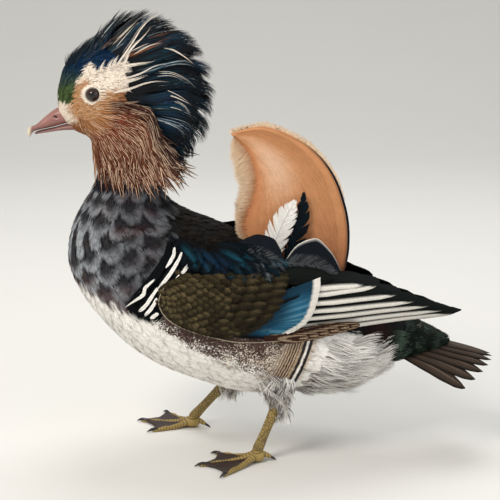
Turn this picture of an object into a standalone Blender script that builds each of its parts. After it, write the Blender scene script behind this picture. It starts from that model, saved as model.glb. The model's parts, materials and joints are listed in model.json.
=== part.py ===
"""Mandarin drake, a life-size standing model: torso, neck with its ruff, head, crest, bill, eyes,
folded wings with their sail feathers and plumes, tail, thighs, legs and webbed feet.

Lengths are in millimetres and are turned into metres by MM where a vertex is made.
+Z is up, the bird faces -X, its left side faces -Y, and its feet stand on Z = 0.
"""

import math
import random

import bmesh
import bpy
from mathutils import Vector
from mathutils.bvhtree import BVHTree

MM = 0.001
GAP = 0.32
SIDES = {"left": -1, "right": 1}
SEED = 11

# Torso and neck, from the tail end to the throat: each station is the top point (x, z), the bottom
# point (x, z) and the half width of one ring across the body.
TORSO_STATIONS = [
    ((118, 101), (113, 79), 14),
    ((104, 109), (97, 62), 27),
    ((86, 120), (80, 51), 38),
    ((64, 133), (60, 46.5), 48),
    ((38, 146), (36, 45.5), 55),
    ((12, 158), (10, 44.5), 60),
    ((-12, 169), (-12, 46.5), 62),
    ((-30, 177), (-38, 54.5), 62),
    ((-43, 182), (-63, 63.8), 60),
    ((-52, 186.5), (-86, 77), 57),
    ((-58, 191), (-106, 95), 53),
    ((-62, 195), (-124, 117), 48),
    ((-65, 199), (-135, 140), 43),
    ((-67, 203), (-136, 158), 38),
    ((-69, 207), (-131.5, 176), 33),
]
NECK_STATIONS = [
    ((-69, 207), (-131.5, 176), 33),
    ((-71, 212), (-123.5, 191), 28),
    ((-73, 219), (-115.5, 205), 24.5),
    ((-75, 228), (-112.5, 217), 22),
    ((-76, 240), (-112, 228), 21),
    ((-77, 252), (-112, 238), 20),
]
HEAD_STATIONS = [
    ((-140.4, 260), (-136, 251), 7.5),
    ((-140.5, 272), (-129, 243.5), 11.5),
    ((-138.5, 281), (-123.5, 240.5), 14),
    ((-135.5, 290), (-117, 238), 16),
    ((-129, 298), (-110, 235), 17.6),
    ((-120, 303), (-103, 233), 19),
    ((-109, 305), (-96, 232), 20),
    ((-98, 303), (-89, 232), 20),
    ((-87, 297), (-82, 234), 18.5),
    ((-78, 287), (-76, 240), 15),
    ((-71, 275), (-71, 250), 9),
]
TORSO_RINGS, NECK_RINGS, HEAD_RINGS = 18, 6, 11
BODY_SIDES = 18
HEAD_SIDES = 16
# The power of the oval that each ring follows: 2 is an ellipse, and more is squarer.
BODY_POWER = 2.15

# Loose down under the tail: rows of locks, each row at its own x, spread in degrees round the axis.
DOWN_ROWS = (42, 55, 68, 81)
DOWN_PER_ROW = 6
DOWN_SPREAD = 62
DOWN_AXIS_Z = 84
DOWN_LENGTH, DOWN_WIDTH, DOWN_THICKNESS = 17, 12, 2.6
DOWN_RISE = 4.5
# How deep every lock roots in its body, and its width at each step towards the tip.
LOCK_SINK = 2.6
LOCK_SHARES = (0.8, 1.0, 0.82, 0.5)

# The thin cuts that part head, crest and neck, as outlines in the plane of symmetry.
CREST_CUT = [(-170, 283), (-92, 293), (-85, 286), (-83, 212), (-30, 212), (-30, 345), (-170, 345)]
NECK_CUT = [(-150, 222), (-124, 240), (-110, 254), (-83, 263), (-30, 288.6), (-30, 160), (-150, 160)]

# Crest: the tips lie on this arc round the head, and the locks root on the head's own oval.
CREST_CENTRE = (-80, 268)
CREST_REACH = (54, 62)
CREST_HALF_WIDTH = 13
CREST_ROOT_CENTRE = (-101, 266)
CREST_ROOT_REACH = (27, 32)
CREST_ROOT_TURN = 27
CREST_ROOT_SPREAD = 62
CREST_ROOT_Y = 17.5
CREST_INNER_REACH = (34, 38)
CREST_INNER_HALF_WIDTH = 19
CREST_FIRST, CREST_LAST = 122, -64
# Each layer of the crest: where it stands across the head, how far out its tips reach, how many locks.
CREST_LAYERS = [
    (0.0, 1.0, 14),
    (0.42, 0.96, 11), (-0.42, 0.96, 11),
    (0.78, 0.62, 7), (-0.78, 0.62, 7),
]
CREST_LOCK_WIDTH, CREST_LOCK_THICKNESS = 9.5, 2.4

# Ruff: the locks fan out from the cheek.
RUFF_CENTRE = (-118, 262)
RUFF_FIRST, RUFF_LAST = -88, -31
RUFF_REACH = (62, 93)
RUFF_ROWS = (0.54, 0.77, 1.0)
RUFF_PER_ROW = (5, 7, 8)
RUFF_NAPE_X = -87
RUFF_LENGTH = 27
RUFF_INNER = 11
RUFF_LOCK_WIDTH, RUFF_LOCK_THICKNESS = 7.2, 2.4
# The ruff stands at least this far out at the cheek, and wider with each millimetre from it.
RUFF_STAND, RUFF_WIDENS = 16, 0.14

# Bill
UPPER_BILL = [
    ((-136, 262.5), (-124, 250.2), 8.4),
    ((-143.5, 258.6), (-136, 248.2), 7.9),
    ((-148, 255.2), (-142.5, 246.4), 7.2),
    ((-152.8, 251.2), (-149, 245.0), 6.8),
    ((-157, 247.4), (-154.8, 243.8), 6.4),
    ((-160.8, 245.9), (-158.6, 242.6), 5.4),
    ((-163.2, 244.6), (-160.8, 240.2), 3.8),
    ((-164.3, 241.4), (-162.2, 237.4), 1.6),
]
LOWER_BILL = [
    ((-124, 249.4), (-123, 243.4), 7.6),
    ((-136, 247.5), (-137, 243.4), 6.9),
    ((-143, 245.6), (-144, 242.4), 6.1),
    ((-149.3, 244.2), (-150, 241.6), 5.4),
    ((-155, 243.0), (-155, 240.8), 4.4),
    ((-158.4, 241.6), (-158.2, 240.2), 2.6),
]
UPPER_BILL_RINGS, LOWER_BILL_RINGS = 13, 9
BILL_SIDES = 12
BILL_POWER = 2.3
NOSTRIL = (-141.5, 253.4)
NOSTRIL_Y = 7.9
NOSTRIL_RADII = (2.6, 2.4, 1.2)

# Eye, and the lid as a ring round it, turned a little towards the bill
EYE = (-113, 271)
EYE_Y = 16.0
EYE_RADIUS = 5.5
LID_Y = 17.8
LID_RADIUS = 5.3
LID_THICKNESS = 0.9
LID_STRETCH = 1.08
LID_TILT = 7
LID_STEPS, LID_SIDES = 14, 5

# Folded wing: each station is x, lowest z, highest z, outermost y, and how deep the wing goes in.
WING_STATIONS = [
    (-67, 124, 132, 49, 8),
    (-62, 113, 142, 56, 14),
    (-48, 105, 153, 62, 20),
    (-30, 100.5, 161, 65.5, 24),
    (-8, 99, 166, 67.5, 27),
    (15, 99.5, 163, 67, 28),
    (35, 102, 157, 63, 26),
    (55, 106, 149, 56, 20),
    (75, 110, 142, 48, 12),
    (95, 112, 135, 40, 7),
    (112, 114, 129, 33.5, 3),
]

# Sail: the broad erect fan of the innermost wing feather, as its rear edge and its front edge.
SAIL_REAR = [(58, 128), (68, 141), (72, 153), (73, 167), (72, 181), (68.5, 195), (63, 209), (54.5, 222),
             (44, 232), (32, 239.5), (18, 245.3), (5, 246.8), (-14, 242)]
SAIL_FRONT = [(-4, 128), (-4, 141), (-3, 152), (-4, 162), (-8, 172), (-12, 181), (-10, 190), (-9, 199),
              (-11, 209), (-14, 215), (-18, 223), (-22, 232), (-20, 239)]
SAIL_FOOT_Y = 27
SAIL_TOP_Y = 9
SAIL_BULGE = 4
SAIL_THICKNESS = 1.0

# Legs: the joint over the toes and the heel, each (x, y, z) with y outwards.
LEGS = {
    "left": {"foot": (5, 39, 8), "heel": (21, 35, 46), "turn": 14},
    "right": {"foot": (-46, 38, 8), "heel": (-17, 34, 41), "turn": 16},
}

# The wing tip's line beyond the core, on which the primaries lie.
WING_BLADE = [(135, 115, 126, 27, 2), (165, 106, 116, 20, 2)]
WING_SIDES = 12
WING_POWER = 2.5
WING_HELD = 0.85
WING_FALL = 0.9
# How many feathers each tier has, and where the tips and roots lie in x and z.
PRIMARIES, SECONDARIES, COVERTS, SCAPULARS = 6, 6, 5, 4
PRIMARY_TIPS = [(84, 139), (97.5, 136), (117, 126), (133, 120.5), (147.5, 114.8), (159, 111)]
PRIMARY_ROOTS = [(30, 141), (22, 106)]
SECONDARY_TIPS = [(49, 146), (52.5, 139), (50, 128), (40, 112), (26, 102.5)]
SECONDARY_RUN = (46, 12)
COVERT_TIPS = [(24, 146), (20, 137), (14, 126), (5, 115), (-4, 107.5), (-15, 102.5)]
COVERT_RUN = (34, 7)
SCAPULAR_ROOTS = [(-52, 147), (-8, 157)]
SCAPULAR_TIPS = [(-24, 139), (-5, 144), (12, 147), (31, 153)]
TERTIALS = [((20, 152), (66, 139.5), 20, 6.0), ((18, 148), (60, 138.5), 12, 7.4)]

SAIL_FOOT_Z, SAIL_TOP_Z = 130, 247
SAIL_ROWS, SAIL_COLUMNS = 14, 6
SAIL_SHAFT = 0.5
PLUME_THICKNESS = 0.9
PLUMES = {
    "white": ((25, 150), (33, 198), 19, 5.2, 1.5),
    "black": ((30, 149), (42, 200), 15, 3.0, -3.0),
}

# Tail: the coverts as one body, and the fan of feathers under them.
TAIL_COVERTS = [
    ((108, 107), (103, 68), 22),
    ((121, 102), (118, 66), 25),
    ((135, 97), (136, 66), 25),
    ((150, 89), (151, 70), 19),
    ((159, 82), (160, 75), 9),
]
# How the tail's core lies: x, lowest z, highest z and half width.
TAIL_LIE = [(105, 65, 106, 22), (119, 66, 102, 25), (135, 66, 97, 25), (150, 70, 89, 19), (159, 74, 84, 10)]
TAIL_COVERT_ROWS = [(112, 31), (129, 29)]
TAIL_COVERTS_PER_ROW = 6
TAIL_FEATHERS = 12
TAIL_WIDTH = 13
TAIL_ROOT = (116, 13, 86)
TAIL_TIP = (183, 38, 72)
TAIL_EDGE = (26, 14)
TAIL_ROOT_DROP = 7
TAIL_LEAN = 38
TAIL_HALF_THICKNESS = 0.55
TAIL_COVERT_WIDTH, TAIL_COVERT_THICKNESS = 13, 2.4
TAIL_COVERT_TURN = 34

# Tarsus: shares of the way from foot to heel, with a radius at each. It is narrower from side to side.
TARSUS_SHARES = (0.0, 0.18, 0.5, 0.85, 1.0, 1.16)
TARSUS_RADII = (4.7, 3.9, 3.6, 4.2, 4.8, 3.9)
TARSUS_FLAT = 0.78

# Thigh: places from the heel upwards, with a radius at each, and the locks round its lower end.
THIGH_OFFSETS = ((-6, -6, 34), (-4, -3, 22), (-1, -1, 11), (0, 0, 3), (0.5, 0, -2))
THIGH_RADII = (24, 20, 13.5, 8.4, 5.6)
THIGH_LOCKS = 8
THIGH_LOCK_WIDTH, THIGH_LOCK_THICKNESS = 7.0, 2.4

# Toes: the angle from the foot's own line outwards, and the length without the claw.
TOES = [(-38, 34), (0, 44), (38, 40)]
HIND_SPREAD = 176
TOE_SHARES = (0.0, 0.18, 0.32, 0.40, 0.60, 0.68, 1.0)
TOE_RADII = (4.2, 2.8, 2.4, 2.8, 2.1, 2.4, 1.3)
TOE_SIDES = 6
TOE_SINK = 0.74
# Claw: how far along the toe's last bone it sits, how far on and up each ring stands from there,
# the ring's radius, and the point.
CLAW_SEAT = 0.7
CLAW_RINGS = ((-1.5, 0.2, 1.5), (2.6, 1.0, 1.35), (5.4, 0.7, 0.85))
CLAW_FLAT = 0.8
CLAW_POINT = (8.2, -0.9)
HIND_POINTS = ((0, -1), (5.5, -2), (11, -5.2))
HIND_RADII = (2.6, 2.1, 1.7)
HIND_CLAW_RINGS = ((-1.5, 0.5), (1.2, -0.6))
HIND_CLAW_POINT = (4, -3.6)
PAD_HEIGHT = 4.8
PAD_RADII = (6.2, 5.2, 5.4)
# Webs: the shares of the toes that they span, how far their front edge draws back, and their height.
WEB_ROWS, WEB_COLUMNS = 4, 4
WEB_FIRST, WEB_LAST = 0.1, 0.93
WEB_DRAWN = 0.2
WEB_HEIGHT, WEB_RISE = 1.9, 0.6
WEB_THICKNESS = 0.8

# Half the depth of the blocks that cut or part the head, and how far the ground reaches.
CUT_DEPTH = 70
GROUND_REACH = 200
SHARP_ANGLE = 40


def clear_scene():
    """Empties the scene that Blender starts with."""
    for obj in list(bpy.data.objects):
        bpy.data.objects.remove(obj)


def material(name, colour, roughness, metallic=0.0):
    """A plain material in the given colour, to tell the solids apart."""
    made = bpy.data.materials.new(name)
    made.use_nodes = True
    shader = made.node_tree.nodes["Principled BSDF"]
    shader.inputs["Base Color"].default_value = (*colour, 1)
    shader.inputs["Roughness"].default_value = roughness
    shader.inputs["Metallic"].default_value = metallic
    return made


def object_from(name, points, faces):
    """A closed mesh object from points in millimetres, with its faces split and turned outwards."""
    shape = bmesh.new()
    made = [shape.verts.new(Vector(point) * MM) for point in points]
    for face in faces:
        shape.faces.new([made[i] for i in face])
    bmesh.ops.triangulate(shape, faces=shape.faces)
    bmesh.ops.recalc_face_normals(shape, faces=shape.faces)
    mesh = bpy.data.meshes.new(name)
    shape.to_mesh(mesh)
    shape.free()
    obj = bpy.data.objects.new(name, mesh)
    bpy.context.scene.collection.objects.link(obj)
    return obj


def tube(name, rings):
    """A closed skin over rings with the same number of points. A ring of one point is a tip."""
    points = [point for ring in rings for point in ring]
    starts = [sum(len(ring) for ring in rings[:i]) for i in range(len(rings))]
    triangles = []
    for i in range(len(rings) - 1):
        here, there, count = starts[i], starts[i + 1], len(rings[i])
        for j in range(count):
            k = (j + 1) % count
            if len(rings[i + 1]) == 1:
                triangles.append((here + j, here + k, there))
            else:
                triangles.append((here + j, here + k, there + k))
                triangles.append((here + j, there + k, there + j))
    for i in (0, len(rings) - 1):
        count, start = len(rings[i]), starts[i]
        if count > 1:
            triangles += [(start, start + j, start + j + 1) for j in range(1, count - 1)]
    return object_from(name, points, triangles)


def slab(name, outer, inner):
    """A thin closed plate between two grids of points, split into triangles alike on both faces."""
    rows, columns = len(outer), len(outer[0])
    points = [p for row in outer for p in row] + [p for row in inner for p in row]
    under = rows * columns
    triangles = []
    for i in range(rows - 1):
        for j in range(columns - 1):
            a, b = i * columns + j, i * columns + j + 1
            c, d = b + columns, a + columns
            triangles += [(a, b, c), (a, c, d)]
            triangles += [(a + under, c + under, b + under), (a + under, d + under, c + under)]
    rim = [j for j in range(columns)]
    rim += [i * columns + columns - 1 for i in range(1, rows)]
    rim += [(rows - 1) * columns + j for j in range(columns - 2, -1, -1)]
    rim += [i * columns for i in range(rows - 2, 0, -1)]
    for here, there in zip(rim, rim[1:] + rim[:1]):
        triangles += [(here, here + under, there + under), (here, there + under, there)]
    return object_from(name, points, triangles)


def between(a, b, share):
    """The value at a share of the way from a to b."""
    return a + (b - a) * share


def interpolated(values, position):
    """A smooth curve through equally spaced values, read at a position from 0 to 1."""
    last = len(values) - 1
    at = min(max(position, 0), 1) * last
    i = min(int(at), last - 1)
    t = at - i
    before, start = values[max(i - 1, 0)], values[i]
    end, after = values[i + 1], values[min(i + 2, last)]
    slope_in, slope_out = (end - before) / 2, (after - start) / 2
    return (
        (2 * t**3 - 3 * t**2 + 1) * start
        + (t**3 - 2 * t**2 + t) * slope_in
        + (3 * t**2 - 2 * t**3) * end
        + (t**3 - t**2) * slope_out
    )


def read_table(table, x):
    """The values beside x in a table sorted by its first column, in straight steps."""
    if x <= table[0][0]:
        return table[0][1:]
    for before, after in zip(table, table[1:]):
        if x <= after[0]:
            share = (x - before[0]) / (after[0] - before[0])
            return tuple(between(a, b, share) for a, b in zip(before[1:], after[1:]))
    return table[-1][1:]


def rounded(value, power):
    """One term of a rounded oval, whose power sets how square it is."""
    return math.copysign(abs(value) ** (2 / power), value)


def body_rings(stations, count, sides, grow=0.0, power=BODY_POWER):
    """Rings across a body whose stations give a top point, a bottom point and a half width."""
    tops = [Vector((top[0], top[1])) for top, bottom, width in stations]
    bottoms = [Vector((bottom[0], bottom[1])) for top, bottom, width in stations]
    widths = [width for top, bottom, width in stations]
    rings = []
    for i in range(count):
        share = i / (count - 1)
        top, bottom = interpolated(tops, share), interpolated(bottoms, share)
        centre, half = (top + bottom) / 2, (top - bottom) / 2
        reach = half.normalized() * (half.length + grow)
        if grow and i in (0, count - 1):
            ahead = Vector((half.y, -half.x)).normalized() * grow
            inner = interpolated(tops, 0.5) + interpolated(bottoms, 0.5)
            outwards = 1 if ahead.dot(centre - inner / 2) > 0 else -1
            centre = centre + ahead * outwards
        width = interpolated(widths, share) + grow
        ring = []
        for j in range(sides):
            angle = 2 * math.pi * j / sides
            along = reach * rounded(math.cos(angle), power)
            ring.append((centre.x + along.x, width * rounded(math.sin(angle), power), centre.y + along.y))
        rings.append(ring)
    return rings


def ellipsoid(name, centre, radii, around=20, along=12):
    """A closed oval with its poles on the Y axis."""
    rings = [[(centre[0], centre[1] - radii[1], centre[2])]]
    for i in range(1, along):
        polar = math.pi * i / along
        ring = []
        for j in range(around):
            angle = 2 * math.pi * j / around
            ring.append((
                centre[0] + radii[0] * math.sin(polar) * math.cos(angle),
                centre[1] - radii[1] * math.cos(polar),
                centre[2] + radii[2] * math.sin(polar) * math.sin(angle),
            ))
        rings.append(ring)
    first = rings.pop(0)[0]
    points = [first] + [p for ring in rings for p in ring]
    points.append((centre[0], centre[1] + radii[1], centre[2]))
    triangles = [(0, 1 + (j + 1) % around, 1 + j) for j in range(around)]
    for i in range(len(rings) - 1):
        for j in range(around):
            a, b = 1 + i * around + j, 1 + i * around + (j + 1) % around
            triangles += [(a, b, b + around), (a, b + around, a + around)]
    last, start = len(points) - 1, 1 + (len(rings) - 1) * around
    triangles += [(start + j, start + (j + 1) % around, last) for j in range(around)]
    return object_from(name, points, triangles)


def prism(name, outline, half_depth, grow=0.0):
    """An outline in the plane of symmetry, grown outwards, as a block across the body."""
    count = len(outline)
    corners = [Vector(p) for p in outline]
    area = sum(corners[i].cross(corners[(i + 1) % count]) for i in range(count))
    turn = 1 if area > 0 else -1
    moved = []
    for i in range(count):
        into = (corners[i] - corners[i - 1]).normalized()
        out = (corners[(i + 1) % count] - corners[i]).normalized()
        normal_in = Vector((into.y, -into.x)) * turn
        normal_out = Vector((out.y, -out.x)) * turn
        mitre = (normal_in + normal_out).normalized()
        moved.append(corners[i] + mitre * (grow / max(mitre.dot(normal_in), 0.2)))
    points = [(p.x, y, p.y) for y in (-half_depth, half_depth) for p in moved]
    near, far = list(range(count)), list(range(count, 2 * count))
    faces = [near, far]
    for i in range(count):
        j = (i + 1) % count
        faces.append([i, j, j + count, i + count])
    return object_from(name, points, faces)


def apply_boolean(obj, operation, others, solver="EXACT"):
    """Joins or cuts obj with closed mesh objects in one step, and removes them.

    The MANIFOLD solver is asked for where many pieces cross, where EXACT leaves open edges or is slow.
    """
    group = bpy.data.collections.new(f"{obj.name}_tools")
    for other in others:
        group.objects.link(other)
    modifier = obj.modifiers.new(operation, "BOOLEAN")
    modifier.operation = operation
    modifier.operand_type = "COLLECTION"
    modifier.collection = group
    modifier.solver = solver
    bpy.context.view_layer.objects.active = obj
    bpy.ops.object.modifier_apply(modifier=modifier.name)
    for other in others:
        bpy.data.objects.remove(other)
    bpy.data.collections.remove(group)
    return obj


def keep_largest(obj):
    """Keeps only the largest closed surface of obj."""
    shape = bmesh.new()
    shape.from_mesh(obj.data)
    shape.faces.ensure_lookup_table()
    unseen = set(shape.faces)
    islands = []
    while unseen:
        stack = [unseen.pop()]
        island = list(stack)
        while stack:
            for edge in stack.pop().edges:
                for face in edge.link_faces:
                    if face in unseen:
                        unseen.remove(face)
                        stack.append(face)
                        island.append(face)
        islands.append(island)
    islands.sort(key=lambda faces: sum(face.calc_area() for face in faces))
    for island in islands[:-1]:
        bmesh.ops.delete(shape, geom=island, context="FACES")
    shape.to_mesh(obj.data)
    shape.free()
    return obj


def finish(obj, name, finish_material):
    """Names a node, gives it its material and shades it smooth but for its sharp edges."""
    keep_largest(obj)
    obj.name = obj.data.name = name
    obj.data.materials.clear()
    obj.data.materials.append(finish_material)
    obj.data.shade_smooth()
    obj.data.set_sharp_from_angle(angle=math.radians(SHARP_ANGLE))
    return obj


def tree_of(*objects):
    """A search tree over the meshes of several objects, in millimetres."""
    points, faces = [], []
    for obj in objects:
        start = len(points)
        points += [v.co / MM for v in obj.data.vertices]
        faces += [[start + i for i in face.vertices] for face in obj.data.polygons]
    return BVHTree.FromPolygons(points, faces)


def side_reach(tree, x, z, otherwise=0.0):
    """How far out to the side the surface stands at x, z."""
    hit = tree.ray_cast(Vector((x, -300, z)), Vector((0, 1, 0)))[0]
    return -hit.y if hit else otherwise


def lock(name, path, width, thickness, facing):
    """A flat lock, lens shaped across, that tapers along its path to a point. facing is the way out."""
    rings = []
    last = len(path) - 1
    for i in range(last):
        along = (path[i + 1] - path[max(i - 1, 0)]).normalized()
        across = along.cross(facing).normalized()
        out = across.cross(along).normalized()
        share = LOCK_SHARES[min(i, len(LOCK_SHARES) - 1)]
        half = across * (width / 2 * share)
        rise = out * (thickness / 2 * max(share, 0.6))
        rings.append([path[i] + half, path[i] + rise, path[i] - half, path[i] - rise])
    rings.append([path[-1]])
    return tube(name, rings)


def curve_points(start, lean, end, settle, count, bow=0.35):
    """Points along a curve that leaves start in the direction lean and reaches end along settle."""
    length = (end - start).length
    first = start + lean.normalized() * length * bow
    second = end - settle.normalized() * length * bow
    points = []
    for i in range(count + 1):
        t = i / count
        s = 1 - t
        points.append(start * s**3 + first * (3 * s * s * t) + second * (3 * s * t * t) + end * t**3)
    return points


def vane(name, root, tip, width, thickness, surface, lifts, bow=0.0, shares=(0.75, 1.0, 0.9, 0.2)):
    """A feather's blade laid on a surface. surface(x, z) gives y, and lifts raise its root and its tip."""
    start, end = Vector(root), Vector(tip)
    along = (end - start).normalized()
    across = Vector((-along.y, along.x))
    stops = (0.0, 0.4, 0.8, 1.0)
    outer, inner = [], []
    for stop, share in zip(stops, shares):
        middle = start + (end - start) * stop + across * (bow * 4 * stop * (1 - stop))
        lift = between(lifts[0], lifts[1], stop)
        row_out, row_in = [], []
        for hand in (1, -1):
            p = middle + across * (hand * width / 2 * share)
            y = surface(p.x, p.y) + lift
            row_out.append((p.x, y, p.y))
            row_in.append((p.x, y - thickness, p.y))
        outer.append(row_out)
        inner.append(row_in)
    return slab(name, outer, inner)


def to_side(obj, side):
    """Turns a piece made on the +Y side to the side that it belongs to."""
    if side < 0:
        for vertex in obj.data.vertices:
            vertex.co.y = -vertex.co.y
        obj.data.flip_normals()
    return obj


def grown_torso():
    """The torso grown by the gap, to cut its neighbours clear of it."""
    return tube("torso_grown", body_rings(TORSO_STATIONS, TORSO_RINGS, BODY_SIDES, GAP))


def make_torso(tree, skin):
    """Breast, back and belly as one body, with the loose white down under the tail as locks."""
    torso = tube("torso_core", body_rings(TORSO_STATIONS, TORSO_RINGS, BODY_SIDES))
    draw = random.Random(SEED)
    pieces = []
    for row, x in enumerate(DOWN_ROWS):
        count = DOWN_PER_ROW - row % 2
        for i in range(count):
            angle = math.radians(between(-DOWN_SPREAD, DOWN_SPREAD, i / (count - 1)))
            away = Vector((0, math.sin(angle), -math.cos(angle)))
            start = Vector((x + draw.uniform(-2, 2), 0, DOWN_AXIS_Z))
            hit, normal = tree.ray_cast(start, away)[:2]
            root = hit - normal * LOCK_SINK
            length = DOWN_LENGTH * draw.uniform(0.85, 1.15)
            tip = hit + Vector((length * 0.88, draw.uniform(-2, 2), length * 0.2)) + normal * DOWN_RISE
            path = curve_points(root, normal + Vector((1, 0, 0)), tip, Vector((1, 0, 0.5)), 3)
            pieces.append(lock("down", path, DOWN_WIDTH, DOWN_THICKNESS, normal))
    apply_boolean(torso, "UNION", pieces, "MANIFOLD")
    return finish(torso, "torso", skin)


def whole_head(grow=0.0):
    """Head and neck together, before the thin cuts."""
    head = tube("head_core", body_rings(HEAD_STATIONS, HEAD_RINGS, HEAD_SIDES, grow))
    neck = tube("neck_core", body_rings(NECK_STATIONS, NECK_RINGS, BODY_SIDES, grow))
    return apply_boolean(head, "UNION", [neck], "MANIFOLD")


def head_beyond(outline):
    """The grown head and neck without the part inside an outline, for cutting what grows on that part."""
    return apply_boolean(whole_head(GAP), "DIFFERENCE", [prism("outline", outline, CUT_DEPTH)])


def on_arc(centre, reach, angle):
    """The point at an angle on an oval in the plane of symmetry."""
    turn = math.radians(angle)
    return Vector((centre[0] + reach[0] * math.cos(turn), centre[1] + reach[1] * math.sin(turn)))


def crest_lock(angle, hand, depth, draw):
    """One crest lock. hand runs from -1 to 1 across the head, depth from 0 at the head to 1 at the arc."""
    root_angle = angle + CREST_ROOT_TURN
    half_turn = math.radians(CREST_ROOT_SPREAD) * hand
    spread = math.cos(half_turn)
    core = [r * spread for r in CREST_ROOT_REACH]
    root = on_arc(CREST_ROOT_CENTRE, core, root_angle)
    start = Vector((root.x, CREST_ROOT_Y * math.sin(half_turn), root.y))
    reach = [between(inner, outer, depth) for inner, outer in zip(CREST_INNER_REACH, CREST_REACH)]
    far = on_arc(CREST_CENTRE, [r * draw.uniform(0.97, 1.0) for r in reach], angle - draw.uniform(-2, 2))
    end = Vector((far.x, hand * between(CREST_INNER_HALF_WIDTH, CREST_HALF_WIDTH, depth), far.y))
    turn = math.radians(angle)
    out = Vector((math.cos(turn), 0, math.sin(turn)))
    down_the_arc = Vector((math.sin(turn), 0, -math.cos(turn)))
    lean = out * 0.9 + down_the_arc * 0.5 + Vector((0, hand * 0.35, 0))
    settle = out * 0.3 + down_the_arc * 0.95
    path = curve_points(start, lean, end, settle, 4 if hand == 0 else 3)
    facing = Vector((out.x * 0.35, 1 if hand >= 0 else -1, out.z * 0.35))
    return lock("crest_lock", path, CREST_LOCK_WIDTH, CREST_LOCK_THICKNESS, facing)


def crest_locks():
    """All locks of the crest, layer by layer from the middle outwards."""
    draw = random.Random(SEED + 1)
    pieces = []
    for hand, depth, count in CREST_LAYERS:
        for i in range(count):
            share = (i + (0.5 if 0 < abs(hand) < 0.6 else 0.2)) / (count - 0.4)
            pieces.append(crest_lock(between(CREST_FIRST, CREST_LAST, share), hand, depth, draw))
    return pieces


def ruff_lock(share, tip_share, side, tree, draw):
    """One ruff lock: share runs from the throat to the nape, tip_share from the cheek to the last tips."""
    turn = math.radians(between(RUFF_FIRST, RUFF_LAST, share))
    away = Vector((math.cos(turn), math.sin(turn)))
    last = between(RUFF_REACH[0], RUFF_REACH[1], min(1.0, share * 1.25)) * draw.uniform(0.97, 1.02)
    tip_radius = last * tip_share
    nape = (RUFF_NAPE_X - RUFF_CENTRE[0]) / max(away.x, 0.01)
    root_radius = max(RUFF_INNER, min(tip_radius - RUFF_LENGTH, nape))
    steps = 3
    path = []
    for i in range(steps + 1):
        along = i / steps
        radius = between(root_radius, tip_radius, along)
        sweep = Vector((-away.y, away.x)) * (2.5 * along * along)
        x, z = RUFF_CENTRE[0] + away.x * radius - sweep.x, RUFF_CENTRE[1] + away.y * radius - sweep.y
        lie = max(side_reach(tree, x, z), RUFF_STAND + RUFF_WIDENS * radius)
        path.append(Vector((x, side * (lie + between(-LOCK_SINK, 2.6, min(1, along * 1.6))), z)))
    return lock("ruff_lock", path, RUFF_LOCK_WIDTH, RUFF_LOCK_THICKNESS, Vector((0, side, 0)))


def ruff_locks(tree):
    """The ruff's locks on both sides, the shorter rows over the longer ones."""
    draw = random.Random(SEED + 2)
    pieces = []
    for side in SIDES.values():
        for row, tip_share in enumerate(RUFF_ROWS):
            count = RUFF_PER_ROW[row]
            for i in range(count):
                share = (i + 0.5 * (row % 2)) / (count - 0.5)
                pieces.append(ruff_lock(share, tip_share, side, tree, draw))
    return pieces


def make_head(skin):
    """The face: brow, cheek and chin, with a raised lid round each eye."""
    head = apply_boolean(whole_head(), "UNION", [lid(side) for side in SIDES.values()])
    cuts = [
        prism("crest_cut", CREST_CUT, CUT_DEPTH, GAP),
        prism("neck_cut", NECK_CUT, CUT_DEPTH, GAP),
    ]
    for side in SIDES.values():
        cuts.append(ellipsoid("eye_cut", eye_centre(side), [EYE_RADIUS + GAP] * 3, 14, 8))
    cuts += bill_pieces(GAP)
    for cut in cuts:
        apply_boolean(head, "DIFFERENCE", [cut])
    return finish(head, "head", skin)


def eye_centre(side):
    """The centre of the eye on one side."""
    return (EYE[0], side * EYE_Y, EYE[1])


def lid(side):
    """A ring of bare skin that stands a little proud round the eye."""
    rings = []
    tilt = math.radians(LID_TILT) * side
    for i in range(LID_STEPS):
        turn = 2 * math.pi * i / LID_STEPS
        ring = []
        for j in range(LID_SIDES):
            roll = 2 * math.pi * j / LID_SIDES
            radius = LID_RADIUS + LID_THICKNESS * math.cos(roll)
            x = radius * math.cos(turn) * LID_STRETCH
            y = LID_THICKNESS * math.sin(roll)
            z = radius * math.sin(turn)
            ring.append((
                EYE[0] + x * math.cos(tilt) + y * math.sin(tilt),
                side * LID_Y - x * math.sin(tilt) + y,
                EYE[1] + z,
            ))
        rings.append(ring)
    points = [p for ring in rings for p in ring]
    triangles = []
    for i in range(LID_STEPS):
        for j in range(LID_SIDES):
            here, there = i * LID_SIDES, (i + 1) % LID_STEPS * LID_SIDES
            a, b = here + j, here + (j + 1) % LID_SIDES
            c, d = there + (j + 1) % LID_SIDES, there + j
            triangles += [(a, b, c), (a, c, d)]
    return object_from("lid", points, triangles)


def bill_pieces(grow=0.0):
    """The upper and the lower half of the bill, which meet at the line of the mouth."""
    upper = tube("upper", body_rings(UPPER_BILL, UPPER_BILL_RINGS, BILL_SIDES, grow, BILL_POWER))
    lower = tube("lower", body_rings(LOWER_BILL, LOWER_BILL_RINGS, BILL_SIDES, grow, BILL_POWER))
    return [upper, lower]


def make_bill(horn):
    """Both halves of the bill, parted by a thin gap, with a pit for each nostril."""
    upper, lower = bill_pieces()
    mouth = tube("mouth", body_rings(LOWER_BILL, LOWER_BILL_RINGS, BILL_SIDES, GAP, BILL_POWER))
    apply_boolean(upper, "DIFFERENCE", [mouth])
    for side in SIDES.values():
        pit = ellipsoid("nostril", (NOSTRIL[0], side * NOSTRIL_Y, NOSTRIL[1]), NOSTRIL_RADII, 10, 6)
        apply_boolean(upper, "DIFFERENCE", [pit])
    finish(upper, "bill_upper", horn)
    finish(lower, "bill_lower", horn)


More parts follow.
